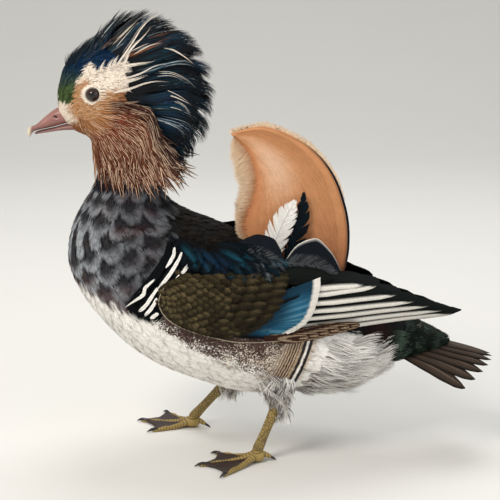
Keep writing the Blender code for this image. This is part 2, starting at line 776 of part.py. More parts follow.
def make_crest(skin):
    """The back of the head with its locks, cut off along the crest's outline."""
    crest = apply_boolean(whole_head(), "INTERSECT", [prism("crest_cut", CREST_CUT, CUT_DEPTH)], "MANIFOLD")
    apply_boolean(crest, "UNION", crest_locks(), "MANIFOLD")
    apply_boolean(crest, "DIFFERENCE", [head_beyond(CREST_CUT)], "MANIFOLD")
    return finish(crest, "crest", skin)


def make_neck(tree, skin):
    """The neck with the ruff's locks, cut clear of the head, the crest and the torso."""
    neck = apply_boolean(whole_head(), "INTERSECT", [prism("neck_cut", NECK_CUT, CUT_DEPTH)])
    apply_boolean(neck, "DIFFERENCE", [prism("crest_cut", CREST_CUT, CUT_DEPTH, GAP)])
    apply_boolean(neck, "UNION", ruff_locks(tree), "MANIFOLD")
    apply_boolean(neck, "DIFFERENCE", [head_beyond(NECK_CUT)], "MANIFOLD")
    apply_boolean(neck, "DIFFERENCE", [grown_torso()], "MANIFOLD")
    return finish(neck, "neck", skin)


def wing_surface(x, z):
    """How far out the folded wing's outer face stands."""
    low, high, out, depth = read_table(WING_STATIONS + WING_BLADE, x)
    middle, half = (low + high) / 2, (high - low) / 2
    share = (z - middle) / half
    held = min(abs(share), WING_HELD)
    y = out - depth + depth * (1 - held**WING_POWER) ** (1 / WING_POWER)
    return y - WING_FALL * half * max(0.0, abs(share) - WING_HELD) * (1 if share > 0 else 0.5)


def wing_core():
    """The closed body of one folded wing."""
    rings = []
    for x, low, high, out, depth in WING_STATIONS:
        middle, half = (low + high) / 2, (high - low) / 2
        ring = []
        for j in range(WING_SIDES):
            angle = 2 * math.pi * j / WING_SIDES
            ring.append((
                x,
                out - depth + depth * rounded(math.cos(angle), WING_POWER),
                middle + half * rounded(math.sin(angle), WING_POWER),
            ))
        rings.append(ring)
    return tube("wing_core", rings)


def along_points(points, share):
    """The point at a share of the way along a line of points."""
    return interpolated([Vector(p) for p in points], share)


def wing_vanes():
    """The tiers of the folded wing, each vane laid over the one below it."""
    pieces = []
    for i in range(PRIMARIES):
        share = i / (PRIMARIES - 1)
        tip = along_points(PRIMARY_TIPS, share)
        root = Vector(PRIMARY_ROOTS[0]).lerp(Vector(PRIMARY_ROOTS[1]), share)
        lift = between(3.4, 0.5, share)
        pieces.append(vane("primary", root, tip, 12.5, 1.2, wing_surface, (lift - 1, lift), 1.5,
                           (0.7, 0.9, 0.85, 0.14)))
    for i in range(SECONDARIES):
        share = i / (SECONDARIES - 1)
        tip = along_points(SECONDARY_TIPS, share)
        root = tip - Vector(SECONDARY_RUN)
        lift = between(5.2, 2.6, share)
        pieces.append(vane("secondary", root, tip, 9.5, 4.0, wing_surface, (lift - 2.2, lift), 0.6,
                           (0.8, 1.0, 1.0, 0.5)))
    for i in range(COVERTS):
        share = i / (COVERTS - 1)
        tip = along_points(COVERT_TIPS, share)
        root = tip - Vector(COVERT_RUN)
        lift = between(6.6, 4.2, share)
        pieces.append(vane("covert", root, tip, 10, 7.0, wing_surface, (lift - 4.2, lift), 0.5,
                           (0.8, 1.0, 1.0, 0.4)))
    for i in range(SCAPULARS):
        share = i / (SCAPULARS - 1)
        root = Vector(SCAPULAR_ROOTS[0]).lerp(Vector(SCAPULAR_ROOTS[1]), share)
        tip = along_points(SCAPULAR_TIPS, share)
        lift = between(5.2, 7.6, share)
        pieces.append(vane("scapular", root, tip, 14, 8.0, wing_surface, (lift - 4.5, lift), 1.0,
                           (0.7, 1.0, 1.0, 0.35)))
    for root, tip, width, lift in TERTIALS:
        pieces.append(vane("tertial", root, tip, width, 1.8, wing_surface, (lift - 2, lift), 2.5,
                           (0.5, 0.95, 0.8, 0.08)))
    return pieces


def sail_y(z):
    """How far out the sail stands at a height."""
    share = (z - SAIL_FOOT_Z) / (SAIL_TOP_Z - SAIL_FOOT_Z)
    return between(SAIL_FOOT_Y, SAIL_TOP_Y, share)


def sail(grow=0.0):
    """The erect fan: rows run from its foot to its tip, and each row from the rear edge to the front."""
    rears, fronts = [Vector(p) for p in SAIL_REAR], [Vector(p) for p in SAIL_FRONT]
    outer, inner = [], []
    half = SAIL_THICKNESS / 2 + grow
    for i in range(SAIL_ROWS):
        share = i / (SAIL_ROWS - 1)
        rear, front = interpolated(rears, share), interpolated(fronts, share)
        away = (rear - front).normalized() * grow
        rear, front = rear + away, front - away
        row_out, row_in = [], []
        for j in range(SAIL_COLUMNS):
            across = j / (SAIL_COLUMNS - 1)
            p = rear.lerp(front, across)
            y = sail_y(p.y) + SAIL_BULGE * math.sin(math.pi * across)
            shaft = SAIL_SHAFT if j == 1 and i < SAIL_ROWS - 3 else 0.0
            row_out.append((p.x, y + half + shaft, p.y))
            row_in.append((p.x, y - half, p.y))
        outer.append(row_out)
        inner.append(row_in)
    return slab("sail", outer, inner)


def plume(root, tip, width, stand, bow, grow=0.0):
    """An upright feather that stands off the sail by a given distance."""
    def lie(x, z):
        return sail_y(z) + SAIL_BULGE + stand + grow
    return vane("plume", root, tip, width + 2 * grow, PLUME_THICKNESS + 2 * grow, lie, (0, 0), bow,
                (0.35, 0.9, 0.85, 0.06))


def make_wing(side, side_name, materials):
    """One folded wing, its sail feather and its two plumes."""
    wing = apply_boolean(wing_core(), "UNION", wing_vanes(), "MANIFOLD")
    cuts = [grown_torso(), sail(GAP)]
    cuts += [plume(*shape, grow=GAP) for shape in PLUMES.values()]
    for cut in cuts:
        apply_boolean(wing, "DIFFERENCE", [cut], "MANIFOLD")
    finish(to_side(wing, side), f"wing_{side_name}", materials["wing"])
    fan = apply_boolean(sail(), "DIFFERENCE", [grown_torso()])
    finish(to_side(fan, side), f"sail_{side_name}", materials["sail"])
    for name, shape in PLUMES.items():
        feather = apply_boolean(plume(*shape), "DIFFERENCE", [grown_torso()])
        finish(to_side(feather, side), f"plume_{name}_{side_name}", materials[f"plume_{name}"])


def tail_feather(share):
    """One feather of the fan. share runs from -1 at one edge to 1 at the other."""
    bend = share * share
    root = Vector((TAIL_ROOT[0], TAIL_ROOT[1] * share, TAIL_ROOT[2] - TAIL_ROOT_DROP * bend))
    tip = Vector((TAIL_TIP[0] - TAIL_EDGE[0] * bend, TAIL_TIP[1] * share, TAIL_TIP[2] - TAIL_EDGE[1] * bend))
    lean = math.radians(TAIL_LEAN) * share
    across = Vector((0, math.cos(lean), -math.sin(lean)))
    up = Vector((0, math.sin(lean), math.cos(lean)))
    outer, inner = [], []
    for stop, width in zip((0.0, 0.45, 0.86, 1.0), (0.6, 1.0, 0.8, 0.12)):
        middle = root.lerp(tip, stop) + up * (2.5 * math.sin(math.pi * stop) - 1.6 * abs(share))
        row_out, row_in = [], []
        for hand in (1, -1):
            p = middle + across * (hand * TAIL_WIDTH / 2 * width)
            row_out.append(tuple(p + up * TAIL_HALF_THICKNESS))
            row_in.append(tuple(p - up * TAIL_HALF_THICKNESS))
        outer.append(row_out)
        inner.append(row_in)
    return slab("tail_feather", outer, inner)


def tail_covert(x, turn, length):
    """A broad covert that lies on the tail's core and points along it. turn is 0 on top."""
    angle = math.radians(turn)
    away = Vector((0, math.sin(angle), math.cos(angle)))
    low, high, half = read_table(TAIL_LIE, x)
    far_low, far_high, far_half = read_table(TAIL_LIE, x + length)
    start = Vector((x, away.y * half, (low + high) / 2 + away.z * (high - low) / 2)) - away * LOCK_SINK
    far_middle = (far_low + far_high) / 2
    end = Vector((x + length, away.y * far_half, far_middle + away.z * (far_high - far_low) / 2))
    end += away * 1.8
    settle = (end - start).normalized() - away * 0.15
    path = curve_points(start, away * 0.8 + Vector((1, 0, 0)), end, settle, 3)
    return lock("tail_covert", path, TAIL_COVERT_WIDTH, TAIL_COVERT_THICKNESS, away)


def tail_coverts():
    """Rows of locks that lie round the root of the tail."""
    pieces = []
    for row, (x, length) in enumerate(TAIL_COVERT_ROWS):
        for i in range(TAIL_COVERTS_PER_ROW):
            turn = (i - (TAIL_COVERTS_PER_ROW - 1) / 2 + 0.5 * (row % 2)) * TAIL_COVERT_TURN
            pieces.append(tail_covert(x, turn, length))
    return pieces


def make_tail(skin):
    """The tail's core with its coverts, and the fan of feathers under them."""
    tail = tube("tail_core", body_rings(TAIL_COVERTS, 8, 16))
    pieces = [tail_feather(between(-1, 1, i / (TAIL_FEATHERS - 1))) for i in range(TAIL_FEATHERS)]
    pieces += tail_coverts()
    apply_boolean(tail, "UNION", pieces, "MANIFOLD")
    apply_boolean(tail, "DIFFERENCE", [grown_torso()], "MANIFOLD")
    return finish(tail, "tail", skin)


def limb(name, points, radii, sides=10, flat=1.0):
    """A round limb through points, with a radius at each. flat narrows it from side to side."""
    rings = []
    for i, (point, radius) in enumerate(zip(points, radii)):
        ahead = points[min(i + 1, len(points) - 1)] - points[max(i - 1, 0)]
        across = ahead.cross(Vector((0, 1, 0))).normalized()
        out = ahead.cross(across).normalized() * flat
        ring = []
        for j in range(sides):
            angle = 2 * math.pi * j / sides
            ring.append(tuple(point + across * radius * math.cos(angle) + out * radius * math.sin(angle)))
        rings.append(ring)
    return tube(name, rings)


def tarsus(leg, side, grow=0.0):
    """The bare leg from the toes up into the thigh's down."""
    foot, heel = Vector(leg["foot"]), Vector(leg["heel"])
    points = [foot.lerp(heel, share) for share in TARSUS_SHARES]
    points[0] -= (heel - foot).normalized() * grow
    for point in points:
        point.y *= side
    return limb("tarsus", points, [radius + grow for radius in TARSUS_RADII], 10, TARSUS_FLAT)


def make_leg(leg, side, side_name, materials):
    """The bare leg, and the thigh with its locks cut clear of it."""
    shin = apply_boolean(tarsus(leg, side), "DIFFERENCE", [grown_torso()])
    finish(shin, f"leg_{side_name}", materials["leg"])
    thigh = thigh_core(leg, side)
    apply_boolean(thigh, "UNION", thigh_locks(leg, side), "MANIFOLD")
    apply_boolean(thigh, "DIFFERENCE", [grown_torso()], "MANIFOLD")
    apply_boolean(thigh, "DIFFERENCE", [tarsus(leg, side, GAP)], "MANIFOLD")
    finish(thigh, f"thigh_{side_name}", materials["thigh"])


def thigh_core(leg, side):
    """The thigh's body, from inside the flank down to the heel."""
    heel = Vector(leg["heel"])
    points = [heel + Vector(offset) for offset in THIGH_OFFSETS]
    for point in points:
        point.y *= side
    return limb("thigh", points, THIGH_RADII, 12)


def thigh_locks(leg, side):
    """Locks of down round the thigh's lower end, longer behind."""
    heel = Vector(leg["heel"])
    heel.y *= side
    pieces = []
    for i in range(THIGH_LOCKS):
        turn = 2 * math.pi * (i + 0.5) / THIGH_LOCKS
        away = Vector((math.cos(turn), math.sin(turn), 0))
        long = 1.25 if away.x > 0.3 else 1.0
        root = heel + away * 7.5 + Vector((-1, 0, 9))
        tip = heel + away * 7.8 + Vector((1.5, 0, -4.5 * long))
        path = curve_points(root, away * 0.5 + Vector((0, 0, -1)), tip, Vector((0, 0, -1)) - away * 0.15, 3)
        pieces.append(lock("thigh_lock", path, THIGH_LOCK_WIDTH, THIGH_LOCK_THICKNESS, away))
    return pieces


def foot_hub(hub, side):
    """The pad where the toes meet, which rests on the ground."""
    return ellipsoid("hub", (hub.x, side * hub.y, PAD_HEIGHT), PAD_RADII, 10, 6)


def toe_direction(angle, side):
    """The level direction of a toe that is turned so many degrees outwards."""
    turn = math.radians(angle)
    return Vector((-math.cos(turn), side * math.sin(turn), 0))


def toe(hub, direction, length):
    """A toe with its joints, resting on the ground, and its claw."""
    points = []
    for share, radius in zip(TOE_SHARES, TOE_RADII):
        drop = between(hub.z - 2.4, radius * TOE_SINK, min(1, share * 2.4))
        points.append(Vector((hub.x, hub.y, 0)) + direction * length * share + Vector((0, 0, drop)))
    across = direction.cross(Vector((0, 0, 1))).normalized()
    rings = [toe_ring(point, across, radius, radius, math.pi / 6) for point, radius in zip(points, TOE_RADII)]
    return [tube("toe", rings), claw(points[-2].lerp(points[-1], CLAW_SEAT), direction, across)]


def toe_ring(centre, across, half_width, half_height, start=0.0):
    """A ring of points round a toe or a claw, upright and square to it."""
    ring = []
    for j in range(TOE_SIDES):
        angle = 2 * math.pi * j / TOE_SIDES + start
        ring.append(tuple(centre + across * half_width * math.cos(angle)
                          + Vector((0, 0, half_height * math.sin(angle)))))
    return ring


def claw(base, direction, across):
    """A claw that arches forward from the toe's end and comes down to a point."""
    rings = []
    for reach, rise, radius in CLAW_RINGS:
        middle = base + direction * reach + Vector((0, 0, rise))
        rings.append(toe_ring(middle, across, radius * CLAW_FLAT, radius))
    rings.append([tuple(base + direction * CLAW_POINT[0] + Vector((0, 0, CLAW_POINT[1])))])
    return tube("claw", rings)


def web(hub, first, second, lengths):
    """The membrane between two toes, with its front edge drawn back."""
    outer, inner = [], []
    for i in range(WEB_ROWS):
        share = between(WEB_FIRST, WEB_LAST, i / (WEB_ROWS - 1))
        row_out, row_in = [], []
        for j in range(WEB_COLUMNS):
            across = j / (WEB_COLUMNS - 1)
            drawn = 1 - WEB_DRAWN * 4 * across * (1 - across) * share
            a = first * lengths[0] * share * drawn
            b = second * lengths[1] * share * drawn
            p = Vector((hub.x, hub.y, 0)) + a.lerp(b, across)
            z = WEB_HEIGHT + WEB_RISE * (1 - share)
            row_out.append((p.x, p.y, z + WEB_THICKNESS / 2))
            row_in.append((p.x, p.y, z - WEB_THICKNESS / 2))
        outer.append(row_out)
        inner.append(row_in)
    return slab("web", outer, inner)


def make_foot(leg, side, side_name, skin):
    """One foot: three toes with webs between them and a hind toe, cut flat where they rest."""
    hub = Vector(leg["foot"])
    foot = foot_hub(hub, side)
    hub.y *= side
    toes = [(toe_direction(leg["turn"] + spread, side), length) for spread, length in TOES]
    pieces = []
    for direction, length in toes:
        pieces += toe(hub, direction, length)
    for (first, first_length), (second, second_length) in zip(toes, toes[1:]):
        pieces.append(web(hub, first, second, (first_length, second_length)))
    pieces += hind_toe(hub, toe_direction(leg["turn"] + HIND_SPREAD, side))
    apply_boolean(foot, "UNION", pieces, "MANIFOLD")
    corners = [(-GROUND_REACH, -20), (GROUND_REACH, -20), (GROUND_REACH, 0), (-GROUND_REACH, 0)]
    ground = prism("ground", corners, GROUND_REACH)
    apply_boolean(foot, "DIFFERENCE", [ground])
    apply_boolean(foot, "DIFFERENCE", [tarsus(leg, side, GAP)])
    return finish(foot, f"foot_{side_name}", skin)


def hind_toe(hub, direction):
    """The short toe behind, which hangs clear of the ground, and its claw."""
    points = [hub + direction * reach + Vector((0, 0, rise)) for reach, rise in HIND_POINTS]
    finger = limb("hind_toe", points, HIND_RADII, 8)
    across = Vector((0, 1, 0))
    rings = [toe_ring(points[-1] + direction * reach + Vector((0, 0, rise)), across, 1.0, 1.0)
             for reach, rise in HIND_CLAW_RINGS]
    rings.append([tuple(points[-1] + direction * HIND_CLAW_POINT[0] + Vector((0, 0, HIND_CLAW_POINT[1])))])
    return [finger, tube("hind_claw", rings)]


def make_eyes(glass):
    """Both eyeballs, each seated in its socket."""
    for side_name, side in SIDES.items():
        eye = ellipsoid("eye", eye_centre(side), [EYE_RADIUS] * 3, 14, 8)
        finish(eye, f"eye_{side_name}", glass)


def stand_on_origin():
    """Moves the whole bird so that the origin is below the middle of its box."""
    shown = [obj for obj in bpy.data.objects if obj.type == "MESH"]
    corners = [vertex.co for obj in shown for vertex in obj.data.vertices]
    middle_x = (min(c.x for c in corners) + max(c.x for c in corners)) / 2
    middle_y = (min(c.y for c in corners) + max(c.y for c in corners)) / 2
    for obj in shown:
        for vertex in obj.data.vertices:
            vertex.co.x -= middle_x
            vertex.co.y -= middle_y


def main():
    """Builds every solid and stands the bird on the origin."""
    clear_scene()
    materials = {
        "torso": material("breast and back", (0.10, 0.06, 0.08), 0.7),
        "neck": material("ruff", (0.45, 0.14, 0.05), 0.6),
        "head": material("face", (0.80, 0.55, 0.33), 0.7),
        "crest": material("crest", (0.02, 0.06, 0.10), 0.35),
        "bill": material("bill horn", (0.55, 0.16, 0.12), 0.35),
        "eye": material("eye", (0.02, 0.01, 0.01), 0.05),
        "wing": material("wing", (0.14, 0.11, 0.05), 0.55),
        "sail": material("sail", (0.75, 0.35, 0.13), 0.6),
        "plume_white": material("white plume", (0.85, 0.84, 0.80), 0.7),
        "plume_black": material("black plume", (0.02, 0.02, 0.03), 0.5),
        "tail": material("tail", (0.10, 0.08, 0.06), 0.6),
        "thigh": material("thigh down", (0.80, 0.78, 0.75), 0.8),
        "leg": material("leg scales", (0.55, 0.33, 0.06), 0.5),
    }
    trees = [
        tube("torso_tree", body_rings(TORSO_STATIONS, TORSO_RINGS, BODY_SIDES)),
        whole_head(),
    ]
    lie = tree_of(*trees)
    for helper in trees:
        bpy.data.objects.remove(helper)
    make_torso(lie, materials["torso"])
    make_neck(lie, materials["neck"])
    make_head(materials["head"])
    make_crest(materials["crest"])
    make_bill(materials["bill"])
    make_eyes(materials["eye"])
    make_tail(materials["tail"])
    for side_name, side in SIDES.items():
        make_wing(side, side_name, materials)
        make_leg(LEGS[side_name], side, side_name, materials)
        make_foot(LEGS[side_name], side, side_name, materials["leg"])
    stand_on_origin()


main()
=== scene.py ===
"""A mandarin drake as a museum would show it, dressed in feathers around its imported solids.

Lengths are in millimetres in the bird's own frame, where the bill points to -X, its left side to -Y
and the feet stand on Z = 0. placed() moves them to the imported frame, in metres.
"""

import json
import math

import bmesh
import bpy
import numpy as np
from bpy.props import FloatProperty, FloatVectorProperty, IntProperty, PointerProperty
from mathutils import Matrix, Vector

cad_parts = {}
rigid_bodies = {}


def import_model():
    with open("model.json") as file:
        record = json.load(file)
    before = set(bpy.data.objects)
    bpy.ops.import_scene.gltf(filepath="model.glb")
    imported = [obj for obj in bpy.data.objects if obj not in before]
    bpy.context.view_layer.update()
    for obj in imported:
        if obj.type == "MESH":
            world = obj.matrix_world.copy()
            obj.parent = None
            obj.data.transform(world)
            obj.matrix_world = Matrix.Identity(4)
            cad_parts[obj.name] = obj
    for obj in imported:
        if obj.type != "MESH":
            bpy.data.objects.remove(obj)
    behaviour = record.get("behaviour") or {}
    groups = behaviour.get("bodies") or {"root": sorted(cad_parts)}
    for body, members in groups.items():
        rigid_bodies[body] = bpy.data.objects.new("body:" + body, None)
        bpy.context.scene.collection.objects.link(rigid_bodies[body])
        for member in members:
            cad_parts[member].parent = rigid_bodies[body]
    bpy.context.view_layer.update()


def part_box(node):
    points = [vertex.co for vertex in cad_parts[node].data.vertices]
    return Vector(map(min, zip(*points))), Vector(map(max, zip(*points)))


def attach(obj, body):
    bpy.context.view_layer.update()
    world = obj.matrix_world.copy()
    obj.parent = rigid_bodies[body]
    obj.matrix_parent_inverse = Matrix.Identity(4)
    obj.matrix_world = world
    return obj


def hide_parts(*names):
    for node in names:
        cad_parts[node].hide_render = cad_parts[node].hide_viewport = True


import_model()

bl_info = {
    "name": "Mandarin Drake",
    "version": (1, 0, 0),
    "blender": (4, 5, 0),
    "location": "3D View > Sidebar > Drake",
    "description": "Dresses the solids of a standing mandarin drake in skin, feathers, bill, eyes and feet",
    "category": "Object",
}

MM = 0.001
BILL_REACH = 164.3
MOST_TRIANGLES = 190000
SIDES = {"left": -1, "right": 1}

# The solids' own values, from tail to head: top point (x, z), bottom point (x, z), half width.
TORSO = [
    ((118, 101), (113, 79), 14), ((104, 109), (97, 62), 27), ((86, 120), (80, 51), 38),
    ((64, 133), (60, 46.5), 48), ((38, 146), (36, 45.5), 55), ((12, 158), (10, 44.5), 60),
    ((-12, 169), (-12, 46.5), 62), ((-30, 177), (-38, 54.5), 62), ((-43, 182), (-63, 63.8), 60),
    ((-52, 186.5), (-86, 77), 57), ((-58, 191), (-106, 95), 53), ((-62, 195), (-124, 117), 48),
    ((-65, 199), (-135, 140), 43), ((-67, 203), (-136, 158), 38), ((-69, 207), (-131.5, 176), 33),
]
NECK = [
    ((-69, 207), (-131.5, 176), 33), ((-71, 212), (-123.5, 191), 28), ((-73, 219), (-115.5, 205), 24.5),
    ((-75, 228), (-112.5, 217), 22), ((-76, 240), (-112, 228), 21), ((-77, 252), (-112, 238), 20),
]
HEAD = [
    ((-140.4, 260), (-136, 251), 7.5), ((-140.5, 272), (-129, 243.5), 11.5), ((-138.5, 281), (-123.5, 240.5), 14),
    ((-135.5, 290), (-117, 238), 16), ((-129, 298), (-110, 235), 17.6), ((-120, 303), (-103, 233), 19),
    ((-109, 305), (-96, 232), 20), ((-98, 303), (-89, 232), 20), ((-87, 297), (-82, 234), 18.5),
    ((-78, 287), (-76, 240), 15), ((-71, 275), (-71, 250), 9),
]
DRESSED_TAIL = [
    ((102, 108), (96, 66), 27), ((114, 104), (108, 69), 26), ((126, 98), (122, 73), 21),
    ((138, 92), (136, 77), 15), ((149, 86), (148, 81), 6),
]
UPPER_BILL = [
    ((-136, 262.5), (-124, 250.2), 8.4), ((-143.5, 258.6), (-136, 248.2), 7.9), ((-148, 255.2), (-142.5, 246.4), 7.2),
    ((-152.8, 251.2), (-149, 245.0), 6.8), ((-157, 247.4), (-154.8, 243.8), 6.4), ((-160.8, 245.9), (-158.6, 242.6), 5.4),
    ((-163.2, 244.6), (-160.8, 240.2), 3.8), ((-164.3, 241.4), (-162.2, 237.4), 1.6),
]
LOWER_BILL = [
    ((-124, 249.4), (-123, 243.4), 7.6), ((-136, 247.5), (-137, 243.4), 6.9), ((-143, 245.6), (-144, 242.4), 6.1),
    ((-149.3, 244.2), (-150, 241.6), 5.4), ((-155, 243.0), (-155, 240.8), 4.4), ((-158.4, 241.6), (-158.2, 240.2), 2.6),
]
BODY_POWER = 2.15

# Folded wing: x, lowest z, highest z, outermost y, depth.
WING = np.array([
    (-67, 124, 132, 49, 8), (-62, 113, 142, 56, 14), (-48, 105, 153, 62, 20), (-30, 100.5, 161, 65.5, 24),
    (-8, 99, 166, 67.5, 27), (15, 99.5, 163, 67, 28), (35, 102, 157, 63, 26), (55, 106, 149, 56, 20),
    (75, 110, 142, 48, 12), (95, 112, 135, 40, 7), (112, 114, 129, 33.5, 3), (135, 115, 126, 27, 2),
    (165, 106, 116, 20, 2),
])
WING_POWER, WING_HELD, WING_FALL = 2.5, 0.85, 0.9
PRIMARY_TIPS = [(84, 139), (97.5, 136), (117, 126), (133, 120.5), (147.5, 114.8), (159, 111)]
PRIMARY_ROOTS = [(30, 141), (22, 106)]
WING_EDGE = np.array([(-66, 131), (-63.5, 123.6), (-57, 115), (-44, 108.6), (-26.5, 103.5), (-5.6, 99.7), (30, 100.5),
                      (50, 104), (80, 108)])
SPECULUM_END = [(50, 141), (49.8, 138.5), (49, 134.5), (47.5, 128), (44.5, 119.5), (40, 112.5), (34, 107.5), (28, 104.3)]
COVERT_END = [(28, 150), (27.5, 143), (24, 132), (18, 121), (9, 113.5), (-1, 107.5), (-11, 104.5)]

SAIL_REAR = [(58, 128), (68, 141), (72, 153), (73, 167), (72, 181), (68.5, 195), (63, 209), (54.5, 222),
             (44, 232), (32, 239.5), (18, 245.3), (5, 246.8), (-14, 242)]
SAIL_FRONT = [(-4, 128), (-4, 141), (-3, 152), (-4, 162), (-8, 172), (-12, 181), (-10, 190), (-9, 199),
              (-11, 209), (-14, 215), (-18, 223), (-22, 232), (-20, 239)]
# The vane's own front edge. Only loose barbs stand between it and the solid's front.
SAIL_VANE = [(-4, 128), (-4, 141), (-3, 152), (-4, 162), (-8, 172), (-7, 181), (-2.5, 190), (0.5, 199),
             (2, 209), (1.5, 215), (0, 223), (-5, 232), (-13, 240.5)]
SAIL_FOOT, SAIL_TOP = (27, 130), (9, 247)
SAIL_BULGE = 4

EYE = (-113, 16.0, 271)
EYE_RADIUS = 5.5
LEGS = {
    "left": {"foot": (5, 39, 8), "heel": (21, 35, 46), "turn": 14},
    "right": {"foot": (-46, 38, 8), "heel": (-17, 34, 41), "turn": 16},
}

# The body's bent axis from the tail to the bill, for the unwrap of its skin.
AXIS = np.array([(185, 72), (118, 88), (60, 95), (0, 104), (-50, 118), (-82, 140), (-99, 170), (-96, 200),
                 (-94, 228), (-102, 254), (-118, 266), (-165, 245)], float)

# Outlines of the markings in the plane of symmetry.
CROWN = [(-144, 261), (-135, 261.8), (-133.2, 274.5), (-132, 279), (-127.5, 282.8), (-126.8, 288.8), (-123, 292.5),
         (-116.3, 287.3), (-106.5, 292.5), (-96, 296), (-90, 286), (-60, 286), (-60, 330), (-127.5, 320), (-150, 300)]
CHEEK = [(-135.8, 265.5), (-132.8, 273), (-126, 277.5), (-122.3, 274.5), (-123, 265.5), (-117, 262.5), (-111, 264),
         (-108, 270), (-100.5, 271.5), (-91.5, 268.5), (-86, 262), (-91.5, 254), (-108, 250.5), (-123, 249),
         (-130.5, 250.5), (-135.8, 256.5)]
THROAT = [(-140, 249.5), (-130, 249), (-118, 247.5), (-104, 250), (-94, 258), (-84, 272), (-60, 270), (-60, 215),
          (-140, 212)]
NAPE = [(-93, 292), (-86, 276), (-90, 262), (-80, 240), (-60, 230), (-40, 300), (-90, 330)]
BELLY = [(-145, 134), (-129, 128), (-112, 115), (-97, 107), (-80, 103), (-66, 103), (-40, 100), (20, 100), (54, 98),
         (96, 84), (112, 72), (130, 60), (130, 20), (-145, 20)]
FLANK = [(-74, 104), (-64, 94), (-37, 78), (-20, 68.5), (-4, 63), (14, 55), (30, 56), (44, 66), (50, 84), (54, 104)]
FLANK_CENTRE = (-62, 112)
FLANK_END = 112
EYE_PATCH = [(-133.4, 270.7), (-132.3, 277), (-127, 287.7), (-121.8, 292.3), (-117, 289.8), (-111.2, 293.6),
             (-104.9, 292.3), (-100.6, 295.7), (-93.2, 295), (-93.9, 285.5), (-91.1, 279.2), (-93.2, 270.7),
             (-102.7, 267.6)]
# The breast's large scallops: how far apart their rows are, and how many stand round the body.
SCALLOP_ROW = 13.5
SCALLOP_COLUMNS = 15
STRIPE_ZONE = [(-60.4, 165.7), (-39.2, 149.5), (-42.3, 139.5), (-59.4, 125.3), (-67.5, 118.3), (-65.5, 105.1),
               (-72.5, 98), (-84, 101), (-94, 108), (-91.7, 115.2), (-71.5, 132.4), (-63.5, 146.5)]
STRIPES = [
    [(-56.4, 156.6), (-56.9, 150.6), (-59.4, 145.5), (-63.5, 139.5)],
    [(-50.8, 152.6), (-53.9, 145.5), (-59.4, 136.4), (-66.5, 127.3), (-73.6, 119.3)],
    [(-44, 150), (-46.3, 142.5), (-51.4, 135.4), (-58.9, 127.9)],
    [(-71, 131.9), (-78.1, 125.8), (-79.6, 120.3), (-85.7, 115.7), (-93.8, 110.2)],
    [(-69, 125.8), (-77.1, 113.2), (-83.7, 107.2)],
    [(-69, 118.3), (-73.6, 110.2), (-79.1, 104.1)],
    [(-68.5, 106.6), (-74.6, 102.1)],
]
STRIPE_EDGES = [
    [(-60, 163), (-63.5, 147), (-71, 134), (-80, 124), (-91, 115)],
    [(-42, 150), (-45, 139), (-58, 127), (-66, 119), (-67, 106), (-73, 99)],
]
# The picture was drawn from a little above, at this distance, round this height.
CAMERA_RISE = 12
PICTURE_DISTANCE = 1000
PICTURE_MIDDLE = 153

